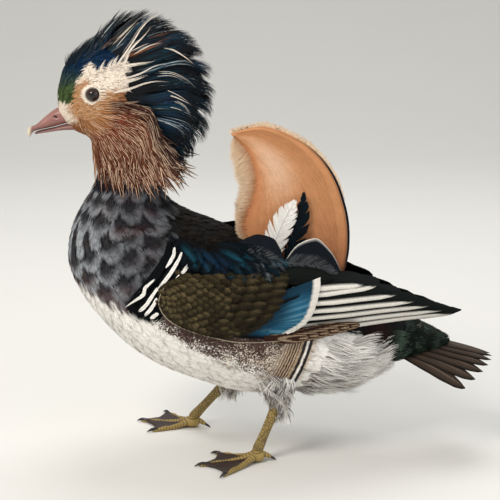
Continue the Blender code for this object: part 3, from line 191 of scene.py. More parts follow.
COLOURS = {
    "forehead_green": ("Forehead", "Scaly green over the bill", "#4C6038"),
    "crown_blue": ("Crown", "Deep blue of the crown", "#0C2C4A"),
    "crest_black": ("Crest", "Blue-black of the long crest feathers", "#03070D"),
    "crest_teal": ("Crest sheen", "Teal in the crest", "#0F3F4E"),
    "crest_copper": ("Crest copper", "Copper streaks in the crest", "#84543A"),
    "face_white": ("Face", "Cream white round and behind the eye", "#E9DCCB"),
    "cheek_buff": ("Cheek", "Orange buff of lores and cheek", "#B07F52"),
    "rust": ("Rust", "Rusty brown of throat and ruff", "#7C3B20"),
    # Dark rust: painted shade in the gaps between the ruff's feathers. It is also the real dark of the sail's fine
    # shaft line and of the nostrils.
    "rust_dark_and_gap_shade": ("Dark rust", "Gaps and tips of the ruff feathers", "#240D09"),
    "shaft_cream": ("Ruff shafts", "Cream pink shafts of the ruff feathers", "#F3D3B4"),
    "breast_slate": ("Breast", "Slate purple of neck base and breast", "#1E1B22"),
    "breast_pale": ("Breast bands", "Pale blue grey bands across the breast", "#A7ADB2"),
    "maroon": ("Maroon", "Maroon tint and lower edge of the breast", "#431B1B"),
    "back_brown": ("Back", "Brown black of the back", "#090705"),
    "belly_white": ("Belly", "White of the belly and the down", "#EFECE6"),
    # belly_shade is painted shade: the grey at the roots of the white feathers and between the tufts of down. It also
    # dims the lower side of the white edges of the primaries and the speculum.
    "belly_shade": ("Belly shade", "Grey base of the white feathers", "#98938C"),
    "flank_tan": ("Flank", "Tan of the flank feathers", "#B79F82"),
    "flank_brown": ("Flank lines", "Fine brown lines on the flank", "#3E241A"),
    "covert_olive": ("Wing coverts", "Olive brown of the wing coverts", "#2A2417"),
    # covert_pale is the pale rim of the wing. It is also the painted highlight along the upper half of each covert.
    "covert_pale": ("Covert edges", "Pale edges of the wing coverts", "#7C6D4C"),
    "scapular_teal": ("Scapulars", "Dark teal of the shoulder feathers", "#06161F"),
    "speculum_blue": ("Speculum", "Teal blue of the secondaries", "#255E7C"),
    "speculum_dark": ("Speculum lines", "Dark webs of the secondaries", "#061622"),
    "band_white": ("White bands", "White tips and edges in the wing", "#E9E4DA"),
    "primary_black": ("Primaries", "Green black of the primaries", "#0A0F0D"),
    "sail_orange": ("Sails", "Orange of the sail feathers", "#C68C60"),
    "sail_pink": ("Sail middle", "Paler middle of the sail feathers", "#DFBA9C"),
    "sail_cream": ("Sail fringe", "Cream front fringe of the sail feathers", "#EAD2B2"),
    "sail_navy": ("Sail rear", "Blue black rear web of the sail feathers", "#060E18"),
    "tail_brown": ("Tail", "Grey brown of the tail feathers", "#3A3028"),
    "tail_green": ("Tail coverts", "Black green of the tail coverts", "#0A100C"),
    "tail_mottle": ("Covert mottle", "Pale green mottles on the tail coverts", "#47594D"),
    "bill_rose": ("Bill", "Dusty rose of the bill", "#8F615A"),
    "nail_cream": ("Nail", "Pale horn of the nail", "#D9CDB8"),
    "leg_ochre": ("Legs", "Ochre of the scaled legs and toes", "#94773A"),
    "web_brown": ("Webs", "Dark brown of the webs", "#26130C"),
    "claw_black": ("Claws", "Black of the claws", "#16110E"),
    "floor": ("Floor", "Pale floor and backdrop", "#DCDBD7"),
}


def linear(code):
    """The linear value of an sRGB hex colour."""
    values = [int(code[i:i + 2], 16) / 255 for i in (1, 3, 5)]
    return tuple(v / 12.92 if v <= 0.04045 else ((v + 0.055) / 1.055) ** 2.4 for v in values)


class DRAKE_PG_colours(bpy.types.PropertyGroup):
    """The colours of plumage, bill and feet."""


for key, (label, text, code) in COLOURS.items():
    DRAKE_PG_colours.__annotations__[key] = FloatVectorProperty(
        name=label, description=text, subtype="COLOR", size=3, min=0, max=1, default=linear(code))


class DRAKE_PG_sizes(bpy.types.PropertyGroup):
    """The sizes and counts of the coat."""

    coat_depth: FloatProperty(
        name="Coat depth", description="How far the skin lies inside the solids", default=2.4 * MM,
        min=0.0, max=6 * MM, unit="LENGTH")
    crest_hairs: IntProperty(
        name="Crest barbs", description="Fine feathers in each lock of the crest", default=52, min=5, max=200)
    ruff_feathers: IntProperty(
        name="Ruff feathers", description="Lance shaped feathers on each side", default=760, min=20, max=2000)
    barb_spacing: FloatProperty(
        name="Barb spacing", description="Distance between the barbs drawn on the large feathers",
        default=0.9 * MM, min=0.3 * MM, max=3 * MM, unit="LENGTH")
    seed: IntProperty(name="Seed", description="Seed of every random draw", default=7, min=0)


def tint(name):
    return np.array(getattr(bpy.context.scene.drake_colours, name))


def sizes():
    return bpy.context.scene.drake_sizes


def draws(offset):
    return np.random.default_rng(sizes().seed + offset)


# Frame and shapes


HEAD_LOW, HEAD_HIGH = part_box("head")
SHIFT = np.array([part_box("bill_upper")[0].x / MM + BILL_REACH, (HEAD_LOW.y + HEAD_HIGH.y) / 2 / MM, 0.0])


def placed(points):
    """Points of the bird in millimetres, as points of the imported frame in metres."""
    return (np.asarray(points, float) + SHIFT) * MM


def unit(vectors):
    return vectors / np.maximum(np.linalg.norm(vectors, axis=-1, keepdims=True), 1e-9)


def smooth(value):
    value = np.clip(value, 0, 1)
    return value * value * (3 - 2 * value)


def mix(a, b, share):
    share = np.asarray(share, float)
    return a + (b - a) * share[..., None]


def curve_read(values, shares):
    """A smooth curve through equally spaced values, read at shares from 0 to 1."""
    values = np.asarray(values, float)
    values = values.reshape(len(values), -1)
    last = len(values) - 1
    at = np.clip(shares, 0, 1) * last
    i = np.minimum(at.astype(int), last - 1)
    t = (at - i)[:, None]
    before, start = values[np.maximum(i - 1, 0)], values[i]
    end, after = values[i + 1], values[np.minimum(i + 2, last)]
    slope_in, slope_out = (end - before) / 2, (after - start) / 2
    return ((2 * t**3 - 3 * t**2 + 1) * start + (t**3 - 2 * t**2 + t) * slope_in
            + (3 * t**2 - 2 * t**3) * end + (t**3 - t**2) * slope_out)


def rounded(value, power):
    return np.sign(value) * np.abs(value) ** (2 / power)


def loft(stations, shares, angles, grow=0.0, power=BODY_POWER):
    """Points of rings across a body, as an array of rings by points round each ring."""
    top = curve_read([s[0] for s in stations], shares)
    bottom = curve_read([s[1] for s in stations], shares)
    width = curve_read([s[2] for s in stations], shares)[:, 0] + grow
    centre, half = (top + bottom) / 2, (top - bottom) / 2
    reach = unit(half) * (np.linalg.norm(half, axis=1, keepdims=True) + grow)
    up, side = rounded(np.cos(angles), power), rounded(np.sin(angles), power)
    return np.stack([
        centre[:, :1] + reach[:, :1] * up, width[:, None] * side, centre[:, 1:] + reach[:, 1:] * up,
    ], axis=-1)


def surface_of(table):
    """Outward normals of a table of points whose first axis runs along the body."""
    along = np.gradient(table, axis=0)
    around = np.roll(table, -1, axis=1) - np.roll(table, 1, axis=1)
    normals = unit(np.cross(along, around))
    centre = table.mean(axis=1, keepdims=True)
    if (normals * (table - centre)).sum() < 0:
        normals = -normals
    return normals


def wing_surface(x, z):
    """How far out the folded wing's outer face stands."""
    low, high, out, depth = (np.interp(x, WING[:, 0], WING[:, k]) for k in range(1, 5))
    middle, half = (low + high) / 2, (high - low) / 2
    share = (z - middle) / half
    held = np.minimum(np.abs(share), WING_HELD)
    y = out - depth + depth * (1 - held**WING_POWER) ** (1 / WING_POWER)
    return y - WING_FALL * half * np.maximum(0, np.abs(share) - WING_HELD) * np.where(share > 0, 1, 0.5)


def seen(p):
    """Where points show in the picture's plane. Both sides are read as the near one."""
    rise = math.radians(CAMERA_RISE)
    up, y = p[..., 2] - PICTURE_MIDDLE, -np.abs(p[..., 1])
    depth = 1 + (y * math.cos(rise) - up * math.sin(rise)) / PICTURE_DISTANCE
    high = PICTURE_MIDDLE + (y * math.sin(rise) + up * math.cos(rise)) / depth
    return np.stack([p[..., 0] / depth, y, high], axis=-1)


def from_picture(x, z, reach):
    """The true x and z of places in the picture's plane that stand so far out to the side."""
    rise = math.radians(CAMERA_RISE)
    up, depth = z - PICTURE_MIDDLE, 1.0
    for _ in range(3):
        high = (up * depth + reach * math.sin(rise)) / math.cos(rise)
        depth = 1 - (reach * math.cos(rise) + high * math.sin(rise)) / PICTURE_DISTANCE
    return x * depth, PICTURE_MIDDLE + high


def ripple(points, size, seed):
    """Smooth noise from about -1 to 1 made of a few waves of about the given size."""
    draw = np.random.default_rng(seed)
    total = 0.0
    for _ in range(6):
        wave = unit(draw.normal(size=points.shape[-1])) * 2 * math.pi / (size * draw.uniform(0.7, 1.4))
        total = total + np.sin(points @ wave + draw.uniform(0, 6.28))
    return total / 2.6


def depth_inside(points, outline):
    """How far inside an outline in x and z each point lies. Outside it is negative."""
    p = points[..., [0, 2]]
    corners = np.array(outline, float)
    nearest = np.full(p.shape[:-1], 1e9)
    inside = np.zeros(p.shape[:-1], bool)
    for a, b in zip(corners, np.roll(corners, -1, axis=0)):
        edge = b - a
        t = np.clip(((p - a) @ edge) / (edge @ edge), 0, 1)
        nearest = np.minimum(nearest, np.linalg.norm(p - a - t[..., None] * edge, axis=-1))
        crosses = ((a[1] > p[..., 1]) != (b[1] > p[..., 1]))
        with np.errstate(divide="ignore", invalid="ignore"):
            at = (b[0] - a[0]) * (p[..., 1] - a[1]) / (b[1] - a[1]) + a[0]
        inside ^= crosses & (p[..., 0] < at)
    return np.where(inside, nearest, -nearest)


def unwrapped(points):
    """Where points fall on the unwrap of the skin: along the body's axis, and round it."""
    p = points[..., [0, 2]]
    lengths = np.linalg.norm(np.diff(AXIS, axis=0), axis=1)
    starts = np.concatenate([[0], np.cumsum(lengths)])
    best = np.full(p.shape[:-1], 1e9)
    along, above = np.zeros_like(best), np.zeros_like(best)
    for i, (a, b) in enumerate(zip(AXIS, AXIS[1:])):
        edge = b - a
        t = np.clip(((p - a) @ edge) / (edge @ edge), 0, 1)
        away = p - a - t[..., None] * edge
        distance = np.linalg.norm(away, axis=-1)
        closer = distance < best
        best = np.where(closer, distance, best)
        along = np.where(closer, starts[i] + t * lengths[i], along)
        hand = away[..., 1] * -edge[0] + away[..., 0] * edge[1]
        above = np.where(closer, np.sign(hand) * distance, above)
    turn = np.arctan2(points[..., 1], above) / (2 * math.pi) + 0.5
    return np.stack([0.02 + 0.94 * along / starts[-1], 0.03 + 0.9 * turn], axis=-1)


# Markings


def head_marking(p):
    """The colour of head and neck at points in millimetres."""
    p = seen(p)
    rough = ripple(p, 2.5, 1) * 0.8
    colour = np.broadcast_to(tint("face_white"), p.shape).copy()
    stipple = ripple(p, 1.3, 2)
    buff = mix(tint("cheek_buff"), tint("face_white"), smooth(0.16 + 0.14 * stipple))
    rear = smooth((p[..., 0] + 108) / 16)
    buff = mix(buff, tint("rust"), rear * 0.75)
    colour = mix(colour, buff, smooth(0.5 + (depth_inside(p, CHEEK) + rough + 2.4) / 6))
    throat = mix(tint("rust"), tint("cheek_buff"), 0.45 * smooth((-104 - p[..., 0]) / 12))
    colour = mix(colour, throat, smooth(0.5 + (depth_inside(p, THROAT) + rough) / 4))
    blue = smooth((p[..., 2] - 268) / 22)
    crown = mix(tint("forehead_green"), tint("crown_blue"), blue)
    crown = mix(crown, crown * 0.25, smooth(0.5 + 0.7 * ripple(p, 2.2, 3)) * 0.8)
    colour = mix(colour, crown, smooth(0.5 + (depth_inside(p, CROWN) + rough) / 2.2))
    colour = mix(colour, tint("crest_black"), smooth(0.5 + (depth_inside(p, NAPE) + rough) / 5))
    lower = smooth(0.5 + (214 - p[..., 2] + rough * 2 - 0.25 * (p[..., 0] + 112)) / 6)
    return mix(colour, tint("breast_slate"), lower)


def body_marking(p):
    """The colour of breast, back and belly at points in millimetres."""
    p = seen(p)
    rough = ripple(p, 5, 4) * 2.2 + ripple(p, 2, 5)
    colour = mix(tint("breast_slate"), tint("maroon"), smooth(0.15 + 0.5 * ripple(p, 16, 6)) * 0.6)
    back = smooth(0.5 + (p[..., 0] + 62 + 0.12 * (195 - p[..., 2]) + rough) / 9)
    colour = mix(colour, tint("back_brown"), back)
    edge = depth_inside(p, BELLY) + rough
    maroon = smooth(1.1 - np.abs(edge + 4) / 7) * smooth((-78 - p[..., 0]) / 10)
    colour = mix(colour, tint("maroon"), maroon)
    colour = mix(colour, tint("belly_white"), smooth(0.5 + edge / 2.5))
    flank = smooth(0.5 + (depth_inside(p, FLANK) + rough * 1.3) / 7) * smooth((p[..., 1] ** 2 - 300) / 500)
    stipple = smooth(0.5 + ripple(p, 1.8, 7))
    colour = mix(colour, mix(tint("flank_tan"), tint("flank_brown"), stipple), flank)
    striped = smooth(0.5 + (depth_inside(p, STRIPE_ZONE) + rough * 0.4) / 2) * smooth((p[..., 1] ** 2 - 500) / 300)
    return mix(colour, tint("crest_black"), striped)


def rump_marking(p):
    """The colour of the tail's coverts."""
    colour = np.broadcast_to(tint("tail_green"), p.shape).copy()
    return mix(colour, tint("maroon") * 0.22, smooth((112 - p[..., 0]) / 18))


def skin_marking(p):
    """The whole skin's colour: head, body and rump by their height and place."""
    body = body_marking(p)
    neck = smooth((p[..., 2] - 205 + 0.2 * (p[..., 0] + 100)) / 5)
    colour = mix(body, head_marking(p), neck)
    return mix(colour, rump_marking(p), smooth((p[..., 0] - 104 + (p[..., 2] - 75) * 0.4) / 8))


# Materials


def add_node(tree, kind, inputs=(), **settings):
    """Adds a node with its settings and its inputs, each a value or a socket of another node."""
    node = tree.nodes.new(kind)
    for name, value in settings.items():
        setattr(node, name, value)
    for key, value in dict(inputs).items():
        if isinstance(value, bpy.types.NodeSocket):
            tree.links.new(value, node.inputs[key])
        else:
            node.inputs[key].default_value = value
    return node


def new_material(name, roughness, **numbers):
    """A material with its shader, whose plain numbers are set on the shader itself."""
    made = bpy.data.materials.new(name)
    made.use_nodes = True
    shader = made.node_tree.nodes["Principled BSDF"]
    shader.inputs["Roughness"].default_value = roughness
    for key, value in numbers.items():
        shader.inputs[key.replace("_", " ").title().replace("Ior", "IOR")].default_value = value
    return made, made.node_tree, shader


def plumage(name, roughness, barbs=0.0, variation=0.25, sheen=0.0, coat=0.0, specular=0.08):
    """Keratin feather: its colour rides on the mesh, and fine barbs run slanting from the shaft."""
    made, tree, shader = new_material(name, roughness, sheen_weight=sheen, coat_weight=coat)
    shader.inputs["Specular IOR Level"].default_value = specular
    shader.inputs["Sheen Roughness"].default_value = 0.4
    shader.inputs["Coat Roughness"].default_value = 0.35
    colour = add_node(tree, "ShaderNodeAttribute", attribute_name="Plumage")
    place = add_node(tree, "ShaderNodeTexCoord")
    grain = add_node(tree, "ShaderNodeTexNoise", {"Vector": place.outputs["Object"], "Scale": 900, "Detail": 2})
    spread = add_node(tree, "ShaderNodeMapRange", {
        "Value": grain.outputs["Fac"], "From Min": 0.3, "From Max": 0.7, "To Min": 1 - variation, "To Max": 1 + variation})
    value = spread.outputs["Result"]
    if barbs:
        lines = add_node(tree, "ShaderNodeUVMap", uv_map="Barbs")
        split = add_node(tree, "ShaderNodeSeparateXYZ", {"Vector": lines.outputs["UV"]})
        side = add_node(tree, "ShaderNodeMath", {0: split.outputs["X"]}, operation="ABSOLUTE")
        slant = add_node(tree, "ShaderNodeMath", {0: side.outputs[0], 1: -1.1, 2: split.outputs["Y"]},
                         operation="MULTIPLY_ADD")
        turn = add_node(tree, "ShaderNodeMath", {0: slant.outputs[0], 1: 2 * math.pi / sizes().barb_spacing},
                        operation="MULTIPLY")
        wave = add_node(tree, "ShaderNodeMath", {0: turn.outputs[0]}, operation="SINE")
        shade = add_node(tree, "ShaderNodeMath", {0: wave.outputs[0], 1: barbs * 0.5, 2: value},
                         operation="MULTIPLY_ADD")
        bump = add_node(tree, "ShaderNodeBump", {"Height": wave.outputs[0], "Strength": min(1.0, barbs * 2.5),
                                                 "Distance": 0.12 * MM})
        tree.links.new(bump.outputs["Normal"], shader.inputs["Normal"])
        value = shade.outputs[0]
    tone = add_node(tree, "ShaderNodeVectorMath", {0: colour.outputs["Color"]}, operation="SCALE")
    tree.links.new(value, tone.inputs["Scale"])
    tree.links.new(tone.outputs["Vector"], shader.inputs["Base Color"])
    return made


def flank_plumage():
    """Flank feathers: brown stipple that thins to white, then fine rings, then black, white and black."""
    made, tree, shader = new_material("flank vane", 0.7)
    share = {key: add_node(tree, "ShaderNodeAttribute", attribute_name=key).outputs["Fac"]
             for key in ("Lines", "Stipple", "Ends", "Reach")}
    base = add_node(tree, "ShaderNodeAttribute", attribute_name="Plumage")
    place = add_node(tree, "ShaderNodeTexCoord")
    dots = add_node(tree, "ShaderNodeTexVoronoi", {"Vector": place.outputs["Object"], "Scale": 1 / (1.2 * MM)})
    inside = add_node(tree, "ShaderNodeMath", {0: share["Stipple"], 1: dots.outputs["Distance"]}, operation="SUBTRACT")
    dotted = add_node(tree, "ShaderNodeMapRange", {"Value": inside.outputs[0], "From Min": -0.2, "From Max": 0.16})
    wobble = add_node(tree, "ShaderNodeTexNoise", {"Vector": place.outputs["Object"], "Scale": 320})
    bent = add_node(tree, "ShaderNodeMath", {0: wobble.outputs["Fac"], 1: 1.4 * MM, 2: share["Reach"]},
                    operation="MULTIPLY_ADD")
    turn = add_node(tree, "ShaderNodeMath", {0: bent.outputs[0], 1: 2 * math.pi / (1.9 * MM)}, operation="MULTIPLY")
    wave = add_node(tree, "ShaderNodeMath", {0: turn.outputs[0]}, operation="SINE")
    line = add_node(tree, "ShaderNodeMapRange", {"Value": wave.outputs[0], "From Min": -0.5, "From Max": 0.2})
    ruled = add_node(tree, "ShaderNodeMath", {0: line.outputs["Result"], 1: share["Lines"]}, operation="MULTIPLY")
    marks = [(dotted.outputs["Result"], "flank_brown"), (ruled.outputs[0], "flank_brown")]
    for middle, half, name in ((107.4, 1.1, "crest_black"), (109.5, 1.0, "belly_white"), (111.6, 1.3, "crest_black")):
        away = add_node(tree, "ShaderNodeMath", {0: bent.outputs[0], 1: (middle + 0.7) * MM}, operation="SUBTRACT")
        size = add_node(tree, "ShaderNodeMath", {0: away.outputs[0]}, operation="ABSOLUTE")
        band = add_node(tree, "ShaderNodeMapRange", {
            "Value": size.outputs[0], "From Min": half * MM, "From Max": (half - 0.4) * MM})
        held = add_node(tree, "ShaderNodeMath", {0: band.outputs["Result"], 1: share["Ends"]}, operation="MULTIPLY")
        marks.append((held.outputs[0], name))
    colour = base.outputs["Color"]
    for amount, name in marks:
        layer = add_node(tree, "ShaderNodeMix", {"Factor": amount, "A": colour, "B": (*tint(name), 1)}, data_type="RGBA")
        colour = layer.outputs["Result"]
    tree.links.new(colour, shader.inputs["Base Color"])
    return made


# Meshes


class Coat:
    """Gathers vanes and strips, each a grid of points, into meshes that carry colours and maps."""

    def __init__(self):
        self.grids = []

    def add(self, points, colours, lines=None, cells=None):
        """points is feathers by rows along by columns across. cells gives each feather its own patch."""
        count, rows, columns = points.shape[:3]
        colours = np.broadcast_to(colours, points.shape)
        along = np.linspace(0, 1, rows)[:, None] + np.zeros(columns)
        across = np.linspace(-1, 1, columns)[None, :] + np.zeros((rows, 1))
        if lines is None:
            steps = np.linalg.norm(np.diff(points, axis=1), axis=-1).mean(axis=2)
            run = np.concatenate([np.zeros((count, 1)), np.cumsum(steps, axis=1)], axis=1)
            middle = (points[:, :, :1] + points[:, :, -1:]) / 2
            side = np.linalg.norm(points - middle, axis=-1) * np.sign(across)
            lines = np.stack([side, run[:, :, None] + np.zeros(columns)], axis=-1) * MM
        if cells is None:
            root = unwrapped(points[:, 0].mean(axis=1))
            local = np.stack([along, across / 2], axis=-1) * 0.003
            maps = root[:, None, None] + local[None]
        else:
            origin, size = cells
            local = np.stack([along * size[0], (across + 1) / 2 * size[1]], axis=-1)
            maps = origin[:, None, None] + local[None]
        self.grids.append((points, colours, lines, maps))

    def build(self, name, material, body="root"):
        """Makes the meshes, split so that each stays within MOST_TRIANGLES triangles."""
        made, batch, total = [], [], 0
        for points, colours, lines, maps in self.grids:
            each = (points.shape[1] - 1) * (points.shape[2] - 1) * 2
            start = 0
            while start < len(points):
                room = max(1, (MOST_TRIANGLES - total) // each)
                stop = min(len(points), start + room)
                if total and total + each > MOST_TRIANGLES:
                    made.append(batch)
                    batch, total = [], 0
                    continue
                batch.append((points[start:stop], colours[start:stop], lines[start:stop], maps[start:stop]))
                total += (stop - start) * each
                start = stop
        made.append(batch)
        names = [name] if len(made) == 1 else [f"{name}_{i + 1}" for i in range(len(made))]
        return [joined_grids(n, b, material, body) for n, b in zip(names, made)]


def joined_grids(name, grids, material, body):
    """One mesh of many grids, with the attribute Plumage and the maps Barbs and OFBake."""
    places, faces, start = [], [], 0
    for points, _, _, _ in grids:
        count, rows, columns = points.shape[:3]
        index = np.arange(count * rows * columns).reshape(count, rows, columns) + start
        quads = np.stack([index[:, :-1, :-1], index[:, :-1, 1:], index[:, 1:, 1:], index[:, 1:, :-1]], axis=-1)
        faces.append(quads.reshape(-1, 4))
        places.append(points.reshape(-1, 3))
        start += count * rows * columns
    places, faces = np.concatenate(places), np.concatenate(faces)
    mesh = bpy.data.meshes.new(name)
    mesh.vertices.add(len(places))
    mesh.vertices.foreach_set("co", placed(places).astype(np.float32).ravel())
    mesh.loops.add(faces.size)
    mesh.loops.foreach_set("vertex_index", faces.astype(np.int32).ravel())
    mesh.polygons.add(len(faces))
    mesh.polygons.foreach_set("loop_start", np.arange(0, faces.size, 4, dtype=np.int32))
    mesh.polygons.foreach_set("use_smooth", np.ones(len(faces), bool))
    mesh.update(calc_edges=True)
    colours = np.concatenate([c.reshape(-1, 3) for _, c, _, _ in grids])
    store_colours(mesh, colours)
    for key, part in (("Barbs", 2), ("OFBake", 3)):
        values = np.concatenate([g[part].reshape(-1, 2) for g in grids])
        layer = mesh.uv_layers.new(name=key)
        layer.data.foreach_set("uv", values[faces.ravel()].astype(np.float32).ravel())
    mesh.materials.append(material)
    obj = bpy.data.objects.new(name, mesh)
    bpy.context.scene.collection.objects.link(obj)
    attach(obj, body)
    return obj


def store_colours(mesh, colours):
    layer = mesh.attributes.get("Plumage") or mesh.attributes.new("Plumage", "FLOAT_COLOR", "POINT")
    values = np.concatenate([np.clip(colours, 0, 1), np.ones((len(colours), 1))], axis=1)
    layer.data.foreach_set("color", values.astype(np.float32).ravel())


def own_cells(count, columns, low=0.02, high=0.96):
    """A patch of its own for each of a few large feathers, in a band of the OFBake map."""
    rows = math.ceil(count / columns)
    index = np.arange(count)
    size = (0.94 / columns, (high - low) / rows)
    origin = np.stack([0.02 + (index % columns) * size[0], low + (index // columns) * size[1]], axis=-1)
    return origin, (size[0] * 0.94, size[1] * 0.9)


def frames_of(paths, normals):
    """Unit vectors along and across each path, with the surface's normal made square to the path."""
    along = unit(np.gradient(paths, axis=1))
    normals = unit(normals - along * (normals * along).sum(axis=-1, keepdims=True))
    return along, np.cross(along, normals), normals


def widened(paths, normals, half_widths, columns=2, camber=0.0):
    """Grids of points on both sides of paths. camber lifts the middle over the edges."""
    _, across, normals = frames_of(paths, normals)
    u = np.linspace(-1, 1, columns)
    points = paths[:, :, None] + across[:, :, None] * (half_widths[..., None, None] * u[:, None])
    return points + normals[:, :, None] * (camber * half_widths[..., None, None] * (1 - u[:, None] ** 2))


def bezier(start, first, second, end, rows):
    t = np.linspace(0, 1, rows)[None, :, None]
    s = 1 - t
    return (start[:, None] * s**3 + first[:, None] * 3 * s * s * t + second[:, None] * 3 * s * t * t
            + end[:, None] * t**3)


def laid_rows(table, spacing, length, rows, draw, jitter=0.25, keep=None, sway=0.0):
    """Paths of feathers that root in rows on a table of points and lie along its first axis."""
    normals = surface_of(table)
    beyond = table[-1] + unit(table[-1] - table[-2]) * length * 1.5
    table = np.concatenate([table, beyond[None]])
    normals = np.concatenate([normals, normals[-1:]])
    paths, faces, widths = [], [], []
    for j in range(table.shape[1]):
        column = table[:, j]
        arc = np.concatenate([[0], np.cumsum(np.linalg.norm(np.diff(column, axis=0), axis=1))])
        starts = np.arange((j % 2) * spacing / 2, arc[-2], spacing)
        starts = starts + draw.uniform(-jitter, jitter, len(starts)) * spacing
        at = starts[:, None] + np.linspace(0, 1, rows)[None] * length * draw.uniform(0.9, 1.1, (len(starts), 1))
        paths.append(np.stack([np.interp(at, arc, column[:, k]) for k in range(3)], axis=-1))
        faces.append(np.stack([np.interp(at, arc, normals[:, j, k]) for k in range(3)], axis=-1))
        gap = np.linalg.norm(table[:, (j + 1) % table.shape[1]] - column, axis=1)
        widths.append(np.interp(starts, arc, gap))
    paths, faces, widths = np.concatenate(paths), unit(np.concatenate(faces)), np.concatenate(widths)
    if keep is not None:
        chosen = keep(paths[:, 0])
        paths, faces, widths = paths[chosen], faces[chosen], widths[chosen]
    _, across, _ = frames_of(paths, faces)
    shift = draw.uniform(-sway, sway, len(paths)) * widths
    return paths + across * shift[:, None, None], faces, widths


def read_along(values, t):
    """Values sampled at even stops along the second axis, read at t for each row of values."""
    last = values.shape[1] - 1
    at = np.clip(t, 0, 1) * last
    i = np.minimum(at.astype(int), last - 1)
    share = (at - i)[..., None]
    row = np.arange(len(values)).reshape(-1, *([1] * (t.ndim - 1)))
    return values[row, i] * (1 - share) + values[row, i + 1] * share


def contour_feathers(coat, paths, normals, widths, colour, draw, barbs=11, lift=1.6, depth=1.4, ragged=0.07,
                     barb_width=0.42, vane_rows=5):
    """Small body feathers: a rounded vane, and over it a fan of barbs that ends in a soft edge."""
    count = len(paths)
    if not count:
        return
    _, across, normals = frames_of(paths, normals)
    t = np.linspace(0, 1, vane_rows)
    shape = np.interp(t, (0, 0.3, 0.6, 0.85, 1), (0.55, 0.85, 1.0, 0.8, 0.3)) * 0.92
    lean = draw.normal(0, 0.35, (count, 1, 1))
    raise_by = (lift * t**1.4 - depth)[None, :, None]
    spine = read_along(paths, np.broadcast_to(t * 0.94, (count, vane_rows)))
    spine_normals = unit(read_along(normals, np.broadcast_to(t * 0.94, (count, vane_rows))))
    spine_across = unit(read_along(across, np.broadcast_to(t * 0.94, (count, vane_rows))))
    u = np.linspace(-1, 1, 4)
    half = (widths[:, None] / 2 * shape)[..., None, None]
    points = (spine + spine_normals * raise_by)[:, :, None] + spine_across[:, :, None] * half * u[:, None]
    points = points + spine_normals[:, :, None] * (0.10 * half * (1 - u[:, None] ** 2))
    grid_t = np.broadcast_to(t[None, :, None], points.shape[:3])
    grid_u = np.broadcast_to(u[None, None], points.shape[:3])
    roots = paths[:, 0]
    coat.add(points, colour(roots, points, grid_t, grid_u))
    ends = np.linspace(-0.96, 0.96, barbs)[None] + draw.uniform(-0.5, 0.5, (count, barbs)) * 1.6 / barbs
    ends = np.clip(ends, -1, 1)
    reach = 0.66 + 0.34 * np.sqrt(1 - ends**2) + draw.uniform(-ragged, ragged, ends.shape)
    first = draw.uniform(0.18, 0.5, ends.shape)
    tau = np.linspace(0, 1, 4)
    bt = first[..., None] + (reach - first)[..., None] * tau
    bu = ends[..., None] * (0.3 + 0.7 * tau**0.8)
    centre, out = read_along(paths, bt), unit(read_along(normals, bt))
    side = unit(read_along(across, bt))
    height = lift * np.clip(bt, 0, 1.1) ** 1.4 - depth + 0.12 + draw.uniform(0, 0.22, (count, barbs, 1))
    middle = centre + side * (bu * widths[:, None, None] / 2)[..., None] + out * height[..., None]
    thick = barb_width * np.array([0.8, 1.0, 0.8, 0.18])
    strips = middle[..., None, :] + side[..., None, :] * (thick[:, None] * np.array([-1, 1]))[..., None]
    strips = strips.reshape(count * barbs, 4, 2, 3)
    strip_t = np.repeat(bt.reshape(-1, 4)[..., None], 2, axis=-1)
    strip_u = np.repeat(bu.reshape(-1, 4)[..., None], 2, axis=-1)
    shade = draw.uniform(0.82, 1.18, (count * barbs, 1, 1, 1))
    coat.add(strips, colour(np.repeat(roots, barbs, axis=0), strips, strip_t, strip_u) * shade)


def settle(obj, nodes, body="root"):
    """Hides the solids that a finished piece stands for, and hangs the piece from a body if it has no parent."""
    if nodes:
        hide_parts(*nodes)
    if obj.parent is None:
        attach(obj, body)
    return obj


def settle_all(objects, nodes=()):
    for obj in objects:
        settle(obj, nodes)
    return objects


# Skin


def ring_mesh(name, rings):
    """A closed skin over rings in millimetres."""
    shape = bmesh.new()
    made = [[shape.verts.new(p) for p in placed(ring)] for ring in rings]
    count = len(rings[0])
    for here, there in zip(made, made[1:]):
        for j in range(count):
            k = (j + 1) % count
            shape.faces.new((here[j], here[k], there[k], there[j]))
    shape.faces.new(made[0])
    shape.faces.new(made[-1])
    bmesh.ops.recalc_face_normals(shape, faces=shape.faces)
    mesh = bpy.data.meshes.new(name)
    shape.to_mesh(mesh)
    shape.free()
    obj = bpy.data.objects.new(name, mesh)
    bpy.context.scene.collection.objects.link(obj)
    return obj


def only(*objects):
    """Selects just these objects, with the first one active."""
    bpy.ops.object.select_all(action="DESELECT")
    for obj in objects:
        obj.select_set(True)
    bpy.context.view_layer.objects.active = objects[0]


def tucked(x, side):
    """How far the wing's end leans in and drops. The right wing lies a little lower, behind the left."""
    inward = np.interp(x, (75, 165), (0, 15)) if side < 0 else np.interp(x, (45, 100, 165), (0, 13, 17))
    return inward, 0.2 * inward + (side > 0) * np.interp(x, (40, 72, 112, 165), (0, 7, 6, 2))


def wing_rings(side, inset):
    """The wing under its feathers, lower than them along the top."""
    rings = []
    for x, low, high, out, depth in WING[:11]:
        inward, drop = tucked(x, side)
        low, high, out = low - drop, high - drop - 8, out - inward - 1.5
        angles = np.linspace(0, 2 * math.pi, 16, endpoint=False)
        middle, half = (low + high) / 2, max((high - low) / 2 - inset, 1.5)
        y = out - depth + max(depth - inset, 0.8) * rounded(np.cos(angles), WING_POWER)
        rings.append(np.stack([np.full(16, x), y, middle + half * rounded(np.sin(angles), WING_POWER)], axis=-1))
    return rings


